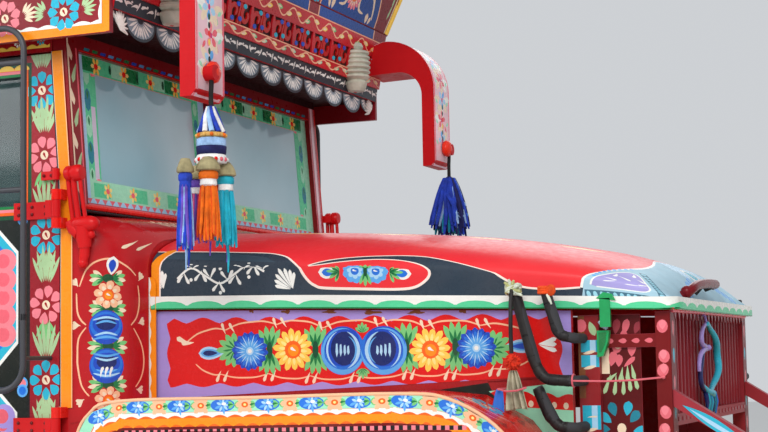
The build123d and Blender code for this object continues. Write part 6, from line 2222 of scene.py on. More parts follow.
# rim tube along the top edge
b = Bag()
rim = [b2_place(u, v + 6) for u, v in smooth(edge_t, 3)]
b.tube(rim, 13, "yellow", 8)
for s in (-1, 1):
    b.tube([(262, s * 1062, 2794), (536, s * 1150, 3452), (805, s * 1246, 3798)], 11, "yellow", 8)
b.make("board_rim", smooth=True)
# painted bulbs along the top edge
b = Bag()
for i in range(17):
    t = i / 16
    k = t * (len(rim) - 1)
    a, c = rim[int(k)], rim[min(int(k) + 1, len(rim) - 1)]
    f = k - int(k)
    b.ball(tuple(a[j] + (c[j] - a[j]) * f for j in range(3)), 17, ("scarlet", "turquoise", "yellow")[i % 3], 10)
b.make("board_beads", smooth=True)

# ================================================================ hooked arms: floral strip over the outside
paint("armred", (190, 8, 18), rough=0.5, coat=0.1, dust=0.1, fade=0.12)
paint("armpink", (240, 196, 204), rough=0.34, coat=0.25, dust=0.2, fade=0.25)
arcp = []
A0, A1, A2 = (300, 2733), (440, 2692), (530, 2500)
# circle through the three points
ax_, ay_, bx_, by_, cx_, cy_ = *A0, *A1, *A2
dd = 2 * (ax_ * (by_ - cy_) + bx_ * (cy_ - ay_) + cx_ * (ay_ - by_))
ux = ((ax_ ** 2 + ay_ ** 2) * (by_ - cy_) + (bx_ ** 2 + by_ ** 2) * (cy_ - ay_) + (cx_ ** 2 + cy_ ** 2) * (ay_ - by_)) / dd
uy = ((ax_ ** 2 + ay_ ** 2) * (cx_ - bx_) + (bx_ ** 2 + by_ ** 2) * (ax_ - cx_) + (cx_ ** 2 + cy_ ** 2) * (bx_ - ax_)) / dd
rr_ = math.hypot(ax_ - ux, ay_ - uy)
t0, t1 = math.atan2(A2[1] - uy, A2[0] - ux), math.atan2(A0[1] - uy, A0[0] - ux)
arm_line = [(513, 2188), (530, 2205), (530, 2350)] + [(ux + rr_ * math.cos(t0 + (t1 - t0) * i / 14), uy + rr_ * math.sin(t0 + (t1 - t0) * i / 14)) for i in range(15)] + [(210, 2705)]
arm_cum = [0.0]
for p, q in zip(arm_line, arm_line[1:]):
    arm_cum.append(arm_cum[-1] + math.hypot(q[0] - p[0], q[1] - p[1]))


def arm_place(u, v):
    v = min(max(v, 0.0), arm_cum[-1] - 1e-6)
    i = max(k for k in range(len(arm_line) - 1) if arm_cum[k] <= v)
    t = (v - arm_cum[i]) / (arm_cum[i + 1] - arm_cum[i])
    a, c = arm_line[i], arm_line[i + 1]
    return (a[0] + (c[0] - a[0]) * t, u, a[1] + (c[1] - a[1]) * t)


AL = arm_cum[-1]
ar = Canvas("crown_arm_front_R", rectp(-1113, -932, 2, AL - 2), "armpink", arm_place, grid=30, curved=True, lift=0.6, thick=1.2)
ar.rect(-1113, -1101, 0, AL, "pink")
ar.rect(-944, -932, 0, AL, "rosepink")
ca = -1022
rg = random.Random(3)
for i in range(int(AL / 88)):
    v = 120 + 88 * i
    for k in range(5):
        a = rg.uniform(0, 6.28)
        ar.disk(ca + 56 * math.cos(a), v + 34 * math.sin(a), 30, "white" if k % 2 else "cream", 15, a, 12)
    for k in range(5):
        a = 2 * math.pi * k / 5 + 0.4 * i
        ar.petal(ca + 6 * math.sin(i * 2), v, a, 6, 44, 23, ("rosepink", "pink")[k % 2] if i % 2 else ("paleblue", "skyblue")[k % 2], 0.8)
    for s in (-1, 1):
        ar.petal(ca + s * 52, v + 40, math.pi / 2 + s * 0.7, 0, 34, 15, "mint" if i % 2 else "rosepink", 0.7)
        ar.petal(ca + s * 48, v - 20, math.pi / 2 - s * 1.0, 0, 30, 14, "palemint", 0.7)
    ar.disk(ca + 6 * math.sin(i * 2), v, 8, "magenta", 10, n=10)
for i in range(6):
    ar.disk(ca - 6, 130 + 27 * i, 8, ("black", "darkgreen", "yellow", "scarlet")[i % 4], 11, n=10)
arm_r = ar.build("root")
arm_l = mir(arm_r, name="crown_arm_front_L")
paint("knobred", (226, 48, 24), rough=0.3, coat=0.4, dust=0.1)
# knob with a ring at each arm's foot
TX, TY = 548.0, 1050.0
b = Bag()
for s in (-1, 1):
    b.lathe([(20, 0), (30, 4), (35, 14), (33, 26), (22, 34), (2, 36)], (531, s * TY * 0.985, 2268), "x", "knobred", 22)
b.make("arm_knobs", smooth=True, sharp=50)

# ================================================================ tassels
plain_mat("yarnblue", (26, 62, 178), rough=0.8, var=0.45, scale=30, bump=0.5)
plain_mat("yarnorange", (232, 104, 14), rough=0.8, var=0.35, scale=30, bump=0.5)
plain_mat("yarncyan", (24, 164, 186), rough=0.8, var=0.35, scale=30, bump=0.5)
plain_mat("yarnviolet", (104, 74, 176), rough=0.8, var=0.35, scale=30, bump=0.5)
plain_mat("yarnpale", (150, 186, 234), rough=0.8, var=0.35, scale=30, bump=0.5)
plain_mat("yarnnavy", (14, 24, 84), rough=0.8, var=0.4, scale=30, bump=0.5)
plain_mat("yarnwhite", (226, 224, 222), rough=0.8, var=0.25, scale=30, bump=0.5)
plain_mat("felttan", (150, 140, 104), rough=0.85, var=0.4, scale=24, bump=0.5)
plain_mat("blackrope", (22, 22, 26), rough=0.8, var=0.3, scale=60, bump=0.6)
plain_mat("beadgold", (206, 160, 84), rough=0.5, var=0.4, scale=30, bump=0.3)


def strands(b_, c, z0, z1, r0, r1, n, mats, rnd_, thick=4.2, waist=None):
    for i in range(n):
        a = 2 * math.pi * i / n + rnd_.uniform(-0.12, 0.12)
        k = math.sqrt(rnd_.uniform(0.12, 1.0))
        zz = z1 - rnd_.uniform(-12, 14)
        pts = []
        for j in range(7):
            t = j / 6
            rr = (r0 + (r1 - r0) * t ** 0.8) * k
            if waist:
                rr *= 1 - waist * math.exp(-((t - 0.16) / 0.09) ** 2)
            aa = a + 0.10 * math.sin(4 * t + i)
            pts.append((c[0] + rr * math.cos(aa), c[1] + rr * math.sin(aa), z0 + (zz - z0) * t))
        b_.tube(pts, [thick, thick * 1.05, thick * 1.1, thick * 1.1, thick, thick * 0.9, thick * 0.5], mats[i % len(mats)], 5)


def small_tassel(b_, c, z, L, r, mats, band, rnd_, cap="felttan"):
    b_.lathe([(3, 16), (14, 14), (r * 0.72, 2), (r * 0.95, -14), (r * 1.0, -26), (r * 0.86, -29), (r * 0.3, -29)], (c[0], c[1], z), "z", cap, 16)
    b_.lathe([(r * 0.5, -22), (r * 0.80, -36), (r * 0.78, -52), (r * 0.5, -58)], (c[0], c[1], z), "z", mats[0], 14)
    b_.lathe([(r * 0.5, -52), (r * 0.66, -54), (r * 0.70, -72), (r * 0.5, -76)], (c[0], c[1], z), "z", band, 14)
    strands(b_, c, z - 66, z - L, r * 0.55, r * 1.05, 34, mats, rnd_, 4.6)


def big_tassel(s, name):
    rnd_ = random.Random(11 if s < 0 else 12)
    cx, cy = TX, s * TY
    b_ = Bag()
    top = 2162
    # knit cone and bands
    b_.lathe([(7, 0), (12, -6), (18, -26), (28, -56), (36, -78), (40, -92), (40, -98)], (cx, cy, top), "z", "yarnnavy", 22)
    for k in range(11):
        a = 2 * math.pi * k / 11
        col = ("yarnblue", "yarnwhite", "yarnpale")[k % 3]
        b_.tube([(cx + 13 * math.cos(a), cy + 13 * math.sin(a), top - 4), (cx + 20 * math.cos(a + 0.25), cy + 20 * math.sin(a + 0.25), top - 32), (cx + 38 * math.cos(a + 0.7), cy + 38 * math.sin(a + 0.7), top - 84)], [3, 7, 9], col, 6)
    b_.lathe([(36, -84), (43, -86), (45, -96), (36, -102)], (cx, cy, top), "z", "beadgold", 24)
    for k in range(12):
        a = 2 * math.pi * k / 12
        b_.ball((cx + 44 * math.cos(a), cy + 44 * math.sin(a), top - 93), 6.5, "beadgold" if k % 2 else "yarnorange", 8)
    b_.lathe([(38, -100), (45, -104), (46, -124), (42, -132)], (cx, cy, top), "z", "yarnpale", 24)
    b_.lathe([(42, -124), (47, -128), (45, -150), (38, -154)], (cx, cy, top), "z", "yarnnavy", 24)
    b_.lathe([(36, -150), (44, -154), (50, -168), (46, -180), (30, -182)], (cx, cy, top), "z", "yarnwhite", 24)
    for k in range(16):
        a = 2 * math.pi * k / 16
        b_.ball((cx + 47 * math.cos(a), cy + 47 * math.sin(a), top - 169), 7, ("salmon", "yarnwhite", "scarlet")[k % 3], 8)
    for (dx, dy, z, L, r, m, band) in ((14, -46, 1984, 230, 38, ("yarnorange", "orangeyarn"), "yarnwhite"), (30, 34, 1974, 236, 33, ("yarncyan", "turquoise"), "yarnwhite"),
                                       (-44, -84, 1978, 252, 27, ("yarnblue", "yarnviolet", "yarnpale", "yarnblue"), "yarnblue"), (-52, 6, 1966, 214, 32, ("yarnviolet", "magenta"), "yarnwhite")):
        small_tassel(b_, (cx + dx, cy + dy * (1 if s < 0 else -1)), z, L, r, m, band, rnd_)
    # long loose tails
    for (dx, dy, z0, z1, m) in ((-48, -80, 1750, 1656, "yarnpale"), (-40, -78, 1750, 1664, "yarnblue"), (34, 34, 1750, 1650, "yarncyan"), (24, 46, 1750, 1682, "yarnviolet"), (-4, -10, 1800, 1700, "yarnviolet")):
        yy = cy + dy * (1 if s < 0 else -1)
        b_.tube([(cx + dx, yy, z0), (cx + dx + 3, yy + 2, (z0 + z1) / 2), (cx + dx, yy + 4, z1)], [5, 4, 2], m, 5)
    return b_.make(name, "root", smooth=True, replaces=("tassels",) if s < 0 else (), sharp=60)


def mop_tassel(s, name):
    rnd_ = random.Random(21)
    cx, cy = TX, s * TY
    b_ = Bag()
    b_.lathe([(8, 0), (18, -8), (30, -30), (34, -60), (20, -70)], (cx, cy, 2150), "z", "yarnnavy", 16)
    strands(b_, (cx, cy), 2140, 1935, 22, 92, 90, ("yarnnavy", "yarnblue", "yarnblue", "yarnpale", "yarnblue"), rnd_, 7.5)
    strands(b_, (cx, cy), 2120, 1905, 18, 76, 40, ("yarnblue", "yarnnavy", "teal"), rnd_, 8)
    for k in range(9):
        a = rnd_.uniform(0, 6.28)
        r_ = rnd_.uniform(50, 84)
        z = rnd_.uniform(1960, 2080)
        b_.tube([(cx + r_ * math.cos(a) * 0.6, cy + r_ * math.sin(a) * 0.6, z + 30), (cx + r_ * math.cos(a + 0.3), cy + r_ * math.sin(a + 0.3), z), (cx + r_ * 0.8 * math.cos(a + 0.7), cy + r_ * 0.8 * math.sin(a + 0.7), z - 40)], 8, ("yarnpale", "skyblue", "yarnblue")[k % 3], 6)
    b_.ball((cx + 10, cy + 76, 1938), 13, "duskpink", 8)
    return b_.make(name, "root", smooth=True, replaces=("tassels",), sharp=60)


tas_r = big_tassel(-1, "tassel_right")
tas_l = mop_tassel(1, "tassel_left")
rope_len = None
for s, t_ in ((-1, tas_r), (1, tas_l)):
    zt = 2160 if s < 0 else 2148
    pts = [(TX + 2, s * TY, 2256), (TX + 2, s * TY, 2226), (TX, s * TY, 2200), (TX, s * TY, 2180), (TX, s * TY, zt)]
    rp_ = cord_curve("tassel_rope_" + ("R" if s < 0 else "L"), pts, 15, "blackrope")
Canvas.detail = 0.5
# ================================================================ cargo body: painted bays on both sides
paint("bodyred", (178, 20, 26), rough=0.32, coat=0.35, dust=0.4, fade=0.2, chips=0.25)
paint("bodyblue", (20, 62, 128), rough=0.32, coat=0.35, dust=0.4, fade=0.2, chips=0.2)
paint("bodygreen", (14, 96, 72), rough=0.32, coat=0.35, dust=0.4, fade=0.2, chips=0.2)
paint("bodyyellow", (236, 176, 44), rough=0.34, coat=0.3, dust=0.4, fade=0.2, chips=0.25)
NB = 7
BX0, BX1 = -5898.0, -1482.0
BW = (BX1 - BX0) / NB


def bay_frame(cv, x0, x1, z0, z1, outer, line, inner):
    cv.rect(x0, x1, z0, z1, outer)
    cv.frame_rect(x0 + 12, x1 - 12, z0 + 12, z1 - 12, 5, line)
    cv.rect(x0 + 34, x1 - 34, z0 + 34, z1 - 34, inner)
    n = max(3, int((x1 - x0 - 60) / 52))
    m = max(3, int((z1 - z0 - 60) / 52))
    for i in range(n):
        u = x0 + 40 + (x1 - x0 - 80) * (i + 0.5) / n
        for v in (z0 + 24, z1 - 24):
            cv.petal(u - 17, v, 0, 0, 34, 11, line, 0.5, 5)
    for i in range(m):
        v = z0 + 40 + (z1 - z0 - 80) * (i + 0.5) / m
        for u in (x0 + 24, x1 - 24):
            cv.petal(u, v - 17, math.pi / 2, 0, 34, 11, line, 0.5, 5)


def bay_bouquet(cv, x0, x1, z0, z1, field):
    cx = (x0 + x1) / 2
    w, h = x1 - x0, z1 - z0
    arch = [(x0 + 58, z0 + 60)] + [(cx - (w / 2 - 58) * math.cos(math.pi * t / 16) * 1.0, z1 - 190 + 132 * math.sin(math.pi * t / 16) ** 0.8) for t in range(17)] + [(x1 - 58, z0 + 60)]
    cv.add(arch, field)
    cv.band(arch[1:-1], 9, "peach", 0)
    cv.band([(x0 + 58, z0 + 60), (x0 + 58, z1 - 190)], 9, "peach", 0)
    cv.band([(x1 - 58, z0 + 60), (x1 - 58, z1 - 190)], 9, "peach", 0)
    for s in (-1, 1):
        cv.leaf_fan(cx + s * (w / 2 - 66), z1 - 66, -math.pi / 2 - s * 0.8 + (0 if s > 0 else 0), 76, 5, 1.3, ("yellow", "orange"))
    # pot and flowers
    pot = [(cx - 74, z0 + 210), (cx - 56, z0 + 120), (cx - 34, z0 + 84), (cx + 34, z0 + 84), (cx + 56, z0 + 120), (cx + 74, z0 + 210), (cx + 50, z0 + 232), (cx - 50, z0 + 232)]
    cv.add(pot, "orange")
    cv.stroke([(cx - 66, z0 + 176), (cx, z0 + 164), (cx + 66, z0 + 176)], 14, "cream", (0.6, 0.6))
    for i in range(3):
        cv.disk(cx - 34 + 34 * i, z0 + 132, 9, "scarlet", n=10)
    k_ = min(1.0, (h - 210) / 640.0) if h < 1000 else 1.22
    stems = [(dx, dz * k_) for dx, dz in ((-150, 430), (-86, 560), (0, 640), (86, 560), (150, 430), (-62, 400), (62, 400))]
    for i, (dx, dz) in enumerate(stems):
        tip = (cx + dx, z0 + min(dz, h - 200))
        cv.stroke([(cx + dx * 0.1, z0 + 228), (cx + dx * 0.55, z0 + 228 + (tip[1] - z0 - 228) * 0.5), tip], 10, "leaf", (0.8, 0.4))
        cv.leaf_fan(cx + dx * 0.5, z0 + 232 + (tip[1] - z0 - 228) * 0.42, math.pi / 2 + (0.9 if dx > 0 else -0.9), 60, 4, 1.2)
    for i, (dx, dz) in enumerate(stems):
        tip = (cx + dx, z0 + min(dz, h - 200))
        if i % 3 == 0:
            cv.daisy(tip[0], tip[1], 58, 12, ("yellow", "paleyellow"), ("deeporange", "orange", "white"))
        elif i % 3 == 1:
            cv.blue_daisy(tip[0], tip[1], 56, 14)
        else:
            cv.daisy(tip[0], tip[1], 54, 9, ("pink", "cream"), ("deeporange", "yellow", "white"))


def bay_star(cv, x0, x1, z0, z1, cols):
    cx, cz = (x0 + x1) / 2, (z0 + z1) / 2
    w, h = (x1 - x0) / 2 - 60, (z1 - z0) / 2 - 60
    a, b_, c_, d_ = cols
    cv.add([(cx - w, cz), (cx, cz - h), (cx + w, cz), (cx, cz + h)], a)
    cv.band([(cx - w, cz), (cx, cz - h), (cx + w, cz), (cx, cz + h), (cx - w, cz)], 12, b_, 0)
    cv.add([(cx - w * 0.72, cz), (cx, cz - h * 0.72), (cx + w * 0.72, cz), (cx, cz + h * 0.72)], c_)
    for k in range(16):
        ang = 2 * math.pi * k / 16
        cv.petal(cx, cz, ang, 60, 150, 46, b_ if k % 2 else d_, 0.8)
    cv.rose(cx, cz, 74, 72)
    for sx in (-1, 1):
        for sz in (-1, 1):
            ex, ez = cx + sx * (w - 30), cz + sz * (h - 30)
            cv.leaf_fan(ex, ez, math.atan2(-sz, -sx), 130, 6, 1.5)
            open_flower(cv, ex, ez, 52, d_, 8)
    for sz in (-1, 1):
        spray(cv, cx, cz + sz * 160, math.pi / 2 * sz, h * 0.42, 4, "cream", 16)


def bay(name, i, z0, z1, kind, body="root"):
    x0, x1 = BX0 + BW * i, BX0 + BW * (i + 1)
    cv = Canvas(name, rectp(x0, x1, z0, z1), "bodyyellow", side_place(-1194))
    sw = 26
    cv.rect(x0, x0 + sw, z0, z1, "bodyyellow")
    cv.rect(x1 - sw, x1, z0, z1, "bodyyellow")
    n = int((z1 - z0) / 62)
    for k in range(n):
        v = z0 + (z1 - z0) * (k + 0.5) / n
        for u in (x0, x1):
            cv.add([(u - 20, v), (u, v - 26), (u + 20, v), (u, v + 26)], ("scarlet", "blue", "green")[k % 3])
            cv.disk(u, v, 5, "white", n=8)
    a, b_ = x0 + sw, x1 - sw
    if kind == 0:
        bay_frame(cv, a, b_, z0 + 6, z1 - 6, "navy", "skyblue", "bodyred")
        bay_star(cv, a, b_, z0, z1, ("bodyblue", "yellow", "crimson", "orange"))
    elif kind == 1:
        bay_frame(cv, a, b_, z0 + 6, z1 - 6, "crimson", "yellow", "turquoise")
        bay_bouquet(cv, a, b_, z0, z1, "deepred")
    elif kind == 2:
        floral_panel(cv, a, b_, z0 + 6, z1 - 6, "bodyred", "lavender", "peach", i)
    else:
        bay_frame(cv, a, b_, z0 + 6, z1 - 6, "bodygreen", "paleyellow", "navy")
        bay_star(cv, a, b_, z0, z1, ("bodyred", "paleyellow", "bodygreen", "pink"))
    return cv.build(body)


for i in range(NB):
    for lvl, (z0, z1) in enumerate(((1141, 2059), (2111, 3189))):
        kind = ((2, 1, 0, 1, 3, 1, 2), (1, 0, 1, 3, 1, 0, 1))[lvl][i]
        ob = bay("body_bay_R_%d%d" % (lvl, i), i, z0, z1, kind)
        mir(ob, name="body_bay_L_%d%d" % (lvl, i))
for k, (z0, z1) in enumerate(((1082, 1139), (2062, 2109), (3192, 3249))):
    rl = Canvas("body_rail_%d" % k, rectp(BX0, BX1, z0, z1), ("orange", "turquoise", "orange")[k], side_place(-1200))
    n = 44
    for i in range(n):
        u = BX0 + (BX1 - BX0) * (i + 0.5) / n
        if k == 1:
            rl.add([(u - 42, z0 + 4), (u + 42, z0 + 4), (u, z1 - 4)], "navy" if i % 2 else "crimson")
            rl.disk(u, z0 + 16, 7, "white", n=8)
        else:
            rl.petal(u - 36, (z0 + z1) / 2, 0, 0, 72, 34, "crimson" if i % 2 else "darkgreen", 0.5, 8)
            rl.petal(u - 20, (z0 + z1) / 2, 0, 0, 40, 14, "cream", 0.5, 6)
    rl.band([(BX0, z0 + 3), (BX1, z0 + 3)], 4, "white", 0)
    rl.band([(BX0, z1 - 3), (BX1, z1 - 3)], 4, "white", 0)
    mir(rl.build("root"), name="body_rail_L_%d" % k)
# riveted angle strips between the bays
b = Bag()
for s in (-1, 1):
    for i in range(NB + 1):
        x = min(max(BX0 + BW * i, BX0 + 9), BX1 - 9)
        for z0, z1 in ((1141, 2059), (2111, 3189)):
            b.box(x - 4, x + 4, s * 1194.5, s * 1199.5, z0, z1, "scarlet")
            for k in range(int((z1 - z0) / 150)):
                b.ball((x, s * 1199.5, z0 + 70 + 150 * k), 7, "silverblue", 8)
b.make("body_strips")
# hanging leaf pendants along the body's lower edge
plain_mat("tinplate", (196, 198, 196), rough=0.28, metal=0.9, var=0.1, scale=20, bump=0.1, dust=0.25)
plain_mat("darksteel", (52, 50, 50), rough=0.6, metal=0.6, var=0.3, scale=14, bump=0.25, dust=0.5, rust=0.3)
plain_mat("chassisblack", (26, 26, 28), rough=0.6, var=0.3, scale=8, bump=0.25, dust=0.75, rust=0.25)


def pendant(b_, x, y, z, face, mat, L=54, w=38):
    """A small link and a pressed leaf hung flat; face is 'x' or 'y'."""
    def pt(u, v, d):
        return (x + d, y + u, z + v) if face == "x" else (x + u, y + d, z + v)
    b_.tube([pt(0, 0, 0), pt(0, -16, 0)], 2.2, "darksteel", 5)
    pr = [(0, -12), (w * 0.3, -22), (w * 0.5, -34), (w * 0.34, -50), (0, -L - 8), (-w * 0.34, -50), (-w * 0.5, -34), (-w * 0.3, -22)]
    if face == "x":
        b_.prism(pr, 2.0, lambda u, v, d: (x - 1 + d, y + u, z + v), mat)
    else:
        b_.prism(pr, 2.0, lambda u, v, d: (x + u, y + 1 - d, z + v), mat)


b = Bag()
for s in (-1, 1):
    for i in range(52):
        x = BX0 + 40 + (BX1 - BX0 - 80) * i / 51
        pendant(b, x, s * 1186, 1081, "y", ("scarlet", "tinplate", "bodyyellow", "bodygreen")[i % 4])
b.make("body_pendants")

# ================================================================ front wall, rear frame and tailgate
fw = Canvas("front_wall_art", [(-1198, 1082), (-972, 1082), (-972, 2500), (-1062, 2500), (-1062, 3200), (1062, 3200), (1062, 2500), (972, 2500), (972, 1082), (1198, 1082), (1198, 3328), (-1198, 3328)], "bodyred", front_place(-1450))
for s in (-1, 1):
    for i in range(16):
        z = 1160 + 138 * i
        open_flower(fw, s * 1142, z, 40, ("turquoise", "pink", "yellow")[i % 3], 8)
        fw.leaf_fan(s * 1142, z + 70, math.pi / 2, 34, 4, 1.5)
    fw.band([(s * 1192, 1082), (s * 1192, 3328)], 10, "orange", 0)
fw.wave_band([(-1198, 3310), (1198, 3310)], 8, 14, 90, "orange", -1)
for i in range(16):
    open_flower(fw, -1050 + 140 * i, 3258, 40, ("yellow", "turquoise")[i % 2], 8)
fw.build("root")

rf = Canvas("rear_frame_art", rectp(-1198, 1198, 1162, 3328), "crimson", rear_place(-5960), holes=[rectp(-1121, 1121, 1161, 2959)])
for s in (-1, 1):
    for i in range(14):
        z = 1230 + 128 * i
        open_flower(rf, s * 1160, z, 32, ("turquoise", "pink", "yellow")[i % 3], 8)
        rf.leaf_fan(s * 1160, z + 62, math.pi / 2, 30, 4, 1.5)
    rf.band([(s * 1192, 1162), (s * 1192, 3328)], 10, "orange", 0)
    rf.band([(s * 1128, 1162), (s * 1128, 2960)], 8, "yellow", 0)
rf.rect(-1190, 1190, 2962, 3326, "bodyblue")
for i in range(5):
    u = -900 + 450 * i
    rf.cusp_field(u - 190, u + 190, 3000, 3286, 48, 12, "bodyred" if i % 2 else "deepred")
    rf.daisy(u, 3143, 96, 14, ("yellow", "paleyellow") if i % 2 else ("pink", "cream"), ("deeporange", "orange", "white"))
    for s in (-1, 1):
        rf.leaf_fan(u + s * 92, 3143, 0 if s > 0 else math.pi, 84, 6, 1.9)
rf.wave_band([(-1190, 3322), (1190, 3322)], 6, 12, 80, "white", -1)
rf.wave_band([(-1190, 2966), (1190, 2966)], 6, 12, 80, "white", 1)
rf.build("root")

tg = Canvas("tailgate_art", rectp(-1110, 1110, 1206, 2138), "bodyyellow", rear_place(-5958))
for c, kd in ((-740, 1), (0, 0), (740, 1)):
    a, b2 = c - 352, c + 352
    bay_frame(tg, a, b2, 1224, 2120, "navy" if kd == 0 else "crimson", "skyblue" if kd == 0 else "yellow", "bodyred" if kd == 0 else "turquoise")
    if kd == 0:
        bay_star(tg, a, b2, 1224, 2120, ("bodyblue", "yellow", "crimson", "orange"))
    else:
        bay_bouquet(tg, a, b2, 1224, 2120, "deepred")
tgo = tg.build("tailgate")
b = Bag()
for y in (-372, 372):
    b.box(-5964, -5958.6, y - 16, y + 16, 1210, 2136, "bodyyellow")
    for k in range(7):
        b.ball((-5964, y, 1260 + 135 * k), 8, "silverblue", 8)
for s in (-1, 1):
    for z in (1500, 2040):
        b.box(-5968, -5958.6, s * 1000, s * 1108, z - 18, z + 18, "chassisblack")
        b.ball((-5968, s * 1030, z), 9, "tinplate", 8)
        b.ball((-5968, s * 1084, z), 9, "tinplate", 8)
    b.tube([(-5961, s * 560, 2060), (-5988, s * 560, 2056), (-5990, s * 560, 2010), (-5961, s * 560, 2004)], 7, "tinplate", 8)
b.make("tailgate_fittings", "tailgate", smooth=True, sharp=30)
b = Bag()
for i in range(30):
    y = -1110 + 2220 * i / 29
    pendant(b, -5966, y, 2962, "x", ("scarlet", "tinplate", "bodyyellow", "bodygreen")[i % 4], 62, 44)
b.make("rear_header_pendants")

# ================================================================ bumpers
fb_ = Canvas("front_bumper_art", rectp(-1058, 1058, 722, 958), "bodyyellow", front_place(2360))
for s in (-1, 1):
    for i in range(5):
        u = s * (560 + 110 * i)
        fb_.add([(u - 34, 726), (u + 16, 726), (u + s * 60 + 16, 954), (u + s * 60 - 34, 954)], "black")
    fb_.rect(*sorted((s * 420, s * 500)), 724, 956, "crimson")
    fb_.daisy(s * 330, 840, 74, 12, ("turquoise", "paleblue"), ("deeporange", "yellow", "white"))
    fb_.leaf_fan(s * 250, 840, math.pi if s > 0 else 0, 70, 5, 1.9)
fb_.rect(-175, 175, 760, 920, "cream")
fb_.frame_rect(-175, 175, 760, 920, 8, "crimson")
fb_.band([(-1058, 728), (1058, 728)], 9, "scarlet", 0)
fb_.band([(-1058, 952), (1058, 952)], 9, "scarlet", 0)
fb_.build("root")
rb_ = Canvas("rear_bumper_art", rectp(-1118, 1118, 602, 738), "bodyyellow", rear_place(-6040))
for i in range(20):
    u = -1100 + 116 * i
    if abs(u) > 190:
        rb_.add([(u - 30, 604), (u + 26, 604), (u + 76, 736), (u + 20, 736)], "scarlet" if i % 2 else "black")
rb_.rect(-190, 190, 610, 730, "cream")
rb_.frame_rect(-190, 190, 610, 730, 8, "black")
rb_.build("root")
b = Bag()
for i in range(24):
    y = -1010 + 2020 * i / 23
    pendant(b, 2346, y, 721, "x", ("scarlet", "tinplate", "bodyyellow", "bodygreen")[i % 4], 60, 44)
for i in range(26):
    y = -1090 + 2180 * i / 25
    pendant(b, -6030, y, 601, "x", ("scarlet", "tinplate", "bodyyellow", "bodygreen")[i % 4], 58, 44)
b.make("bumper_pendants")
# bolts and side markers
b = Bag()
for s in (-1, 1):
    for y in (372, 422):
        for z in (780, 900):
            b.ball((2360, s * y, z), 11, "darksteel", 8, 0.8)
    b.lathe([(4, 12), (34, 9), (40, 0)], (2360, s * 960, 840), "x", "scarlet", 18)
    b.lathe([(4, -12), (30, -9), (36, 0)], (-6040, s * 1040, 670), "x", "scarlet", 18)
b.make("bumper_bolts", smooth=True, sharp=40)

# ================================================================ lamps
plain_mat("chrome", (206, 210, 214), rough=0.12, metal=1.0, var=0.05, scale=10, bump=0.02, dust=0.2)
lens_m, lnt, lb = new_mat("lampglass")
lb.inputs["Base Color"].default_value = (0.86, 0.90, 0.92, 1)
lb.inputs["Roughness"].default_value = 0.08
lb.inputs["Coat Weight"].default_value = 0.8
lb.inputs["Metallic"].default_value = 0.35
lco = node(lnt, "ShaderNodeTexCoord").outputs["Object"]
lbm = node(lnt, "ShaderNodeBump")
lbm.inputs["Strength"].default_value = 0.6
lbm.inputs["Distance"].default_value = 0.004
lnt.links.new(noise(lnt, lco, 60.0, 1, 0.3, 0.0, (1.0, 3.0, 0.05)), lbm.inputs["Height"])
lnt.links.new(lbm.outputs[0], lb.inputs["Normal"])
PAINTS["lampglass"] = lens_m
paint("lampred", (190, 10, 14), rough=0.1, coat=0.9, dust=0.2)
paint("lampamber", (240, 126, 8), rough=0.1, coat=0.9, dust=0.2)
b = Bag()
for s in (-1, 1):
    c = (2343, s * 830, 1075)
    b.lathe([(94, -88), (94, 4), (90, 10), (82, 12), (80, 3), (92, -2)], c, "x", "chrome", 32, closed=True)
    b.lathe([(81, 2), (70, 9), (48, 13), (24, 15), (2, 15.5)], c, "x", "lampglass", 32)
    b.box(2343, 2357, s * 830 - 3, s * 830 + 3, 996, 1154, "chrome")
    b.lathe([(94, -60), (96, -58), (96, -46), (94, -44)], c, "x", "bodyyellow", 32, closed=True)
    b.lathe([(94, -34), (96, -32), (96, -20), (94, -18)], c, "x", "scarlet", 32, closed=True)
    for y0, m in ((700, "lampamber"), (756, "lampred"), (808, "lampred")):
        b.box(-6022, -6010, *sorted((s * (y0 + 3), s * (y0 + 49))), 743, 797, m)
    b.box(-6015, -6009, *sorted((s * 698, s * 862)), 738, 802, "chrome")
b.make("lamp_trim", smooth=True, sharp=35)

# ================================================================ mudflaps, drum, tool box, steps
plain_mat("rubberflap", (24, 24, 26), rough=0.75, var=0.25, scale=12, bump=0.3, dust=0.6)
for s in (-1, 1):
    for face in (0, 1):
        pl = rear_place(-4110) if face == 0 else front_place(-4100)
        sg = -s if face == 0 else s
        u0, u1 = sorted((sg * 614, sg * 1166))
        mfl = Canvas("mudflap_art_%s%d" % ("R" if s < 0 else "L", face), rectp(u0, u1, 424, 1076), "rubberflap", pl)
        cu_ = (u0 + u1) / 2
        mfl.frame_rect(u0 + 14, u1 - 14, 440, 1060, 16, "bodyyellow")
        mfl.frame_rect(u0 + 42, u1 - 42, 468, 1032, 5, "white")
        mfl.daisy(cu_, 750, 130, 14, ("scarlet", "pink"), ("deeporange", "yellow", "white"))
        for sz in (-1, 1):
            mfl.leaf_fan(cu_, 750 + sz * 120, sz * math.pi / 2, 110, 7, 2.0)
            for sx in (-1, 1):
                mfl.blue_daisy(cu_ + sx * 160, 750 + sz * 210, 46, 12)
        mfl.build("root")
dr = []


def drum_place(u, v):
    a = v / 240.0
    return (u, -790 - 240.3 * math.cos(a), 700 + 240.3 * math.sin(a))


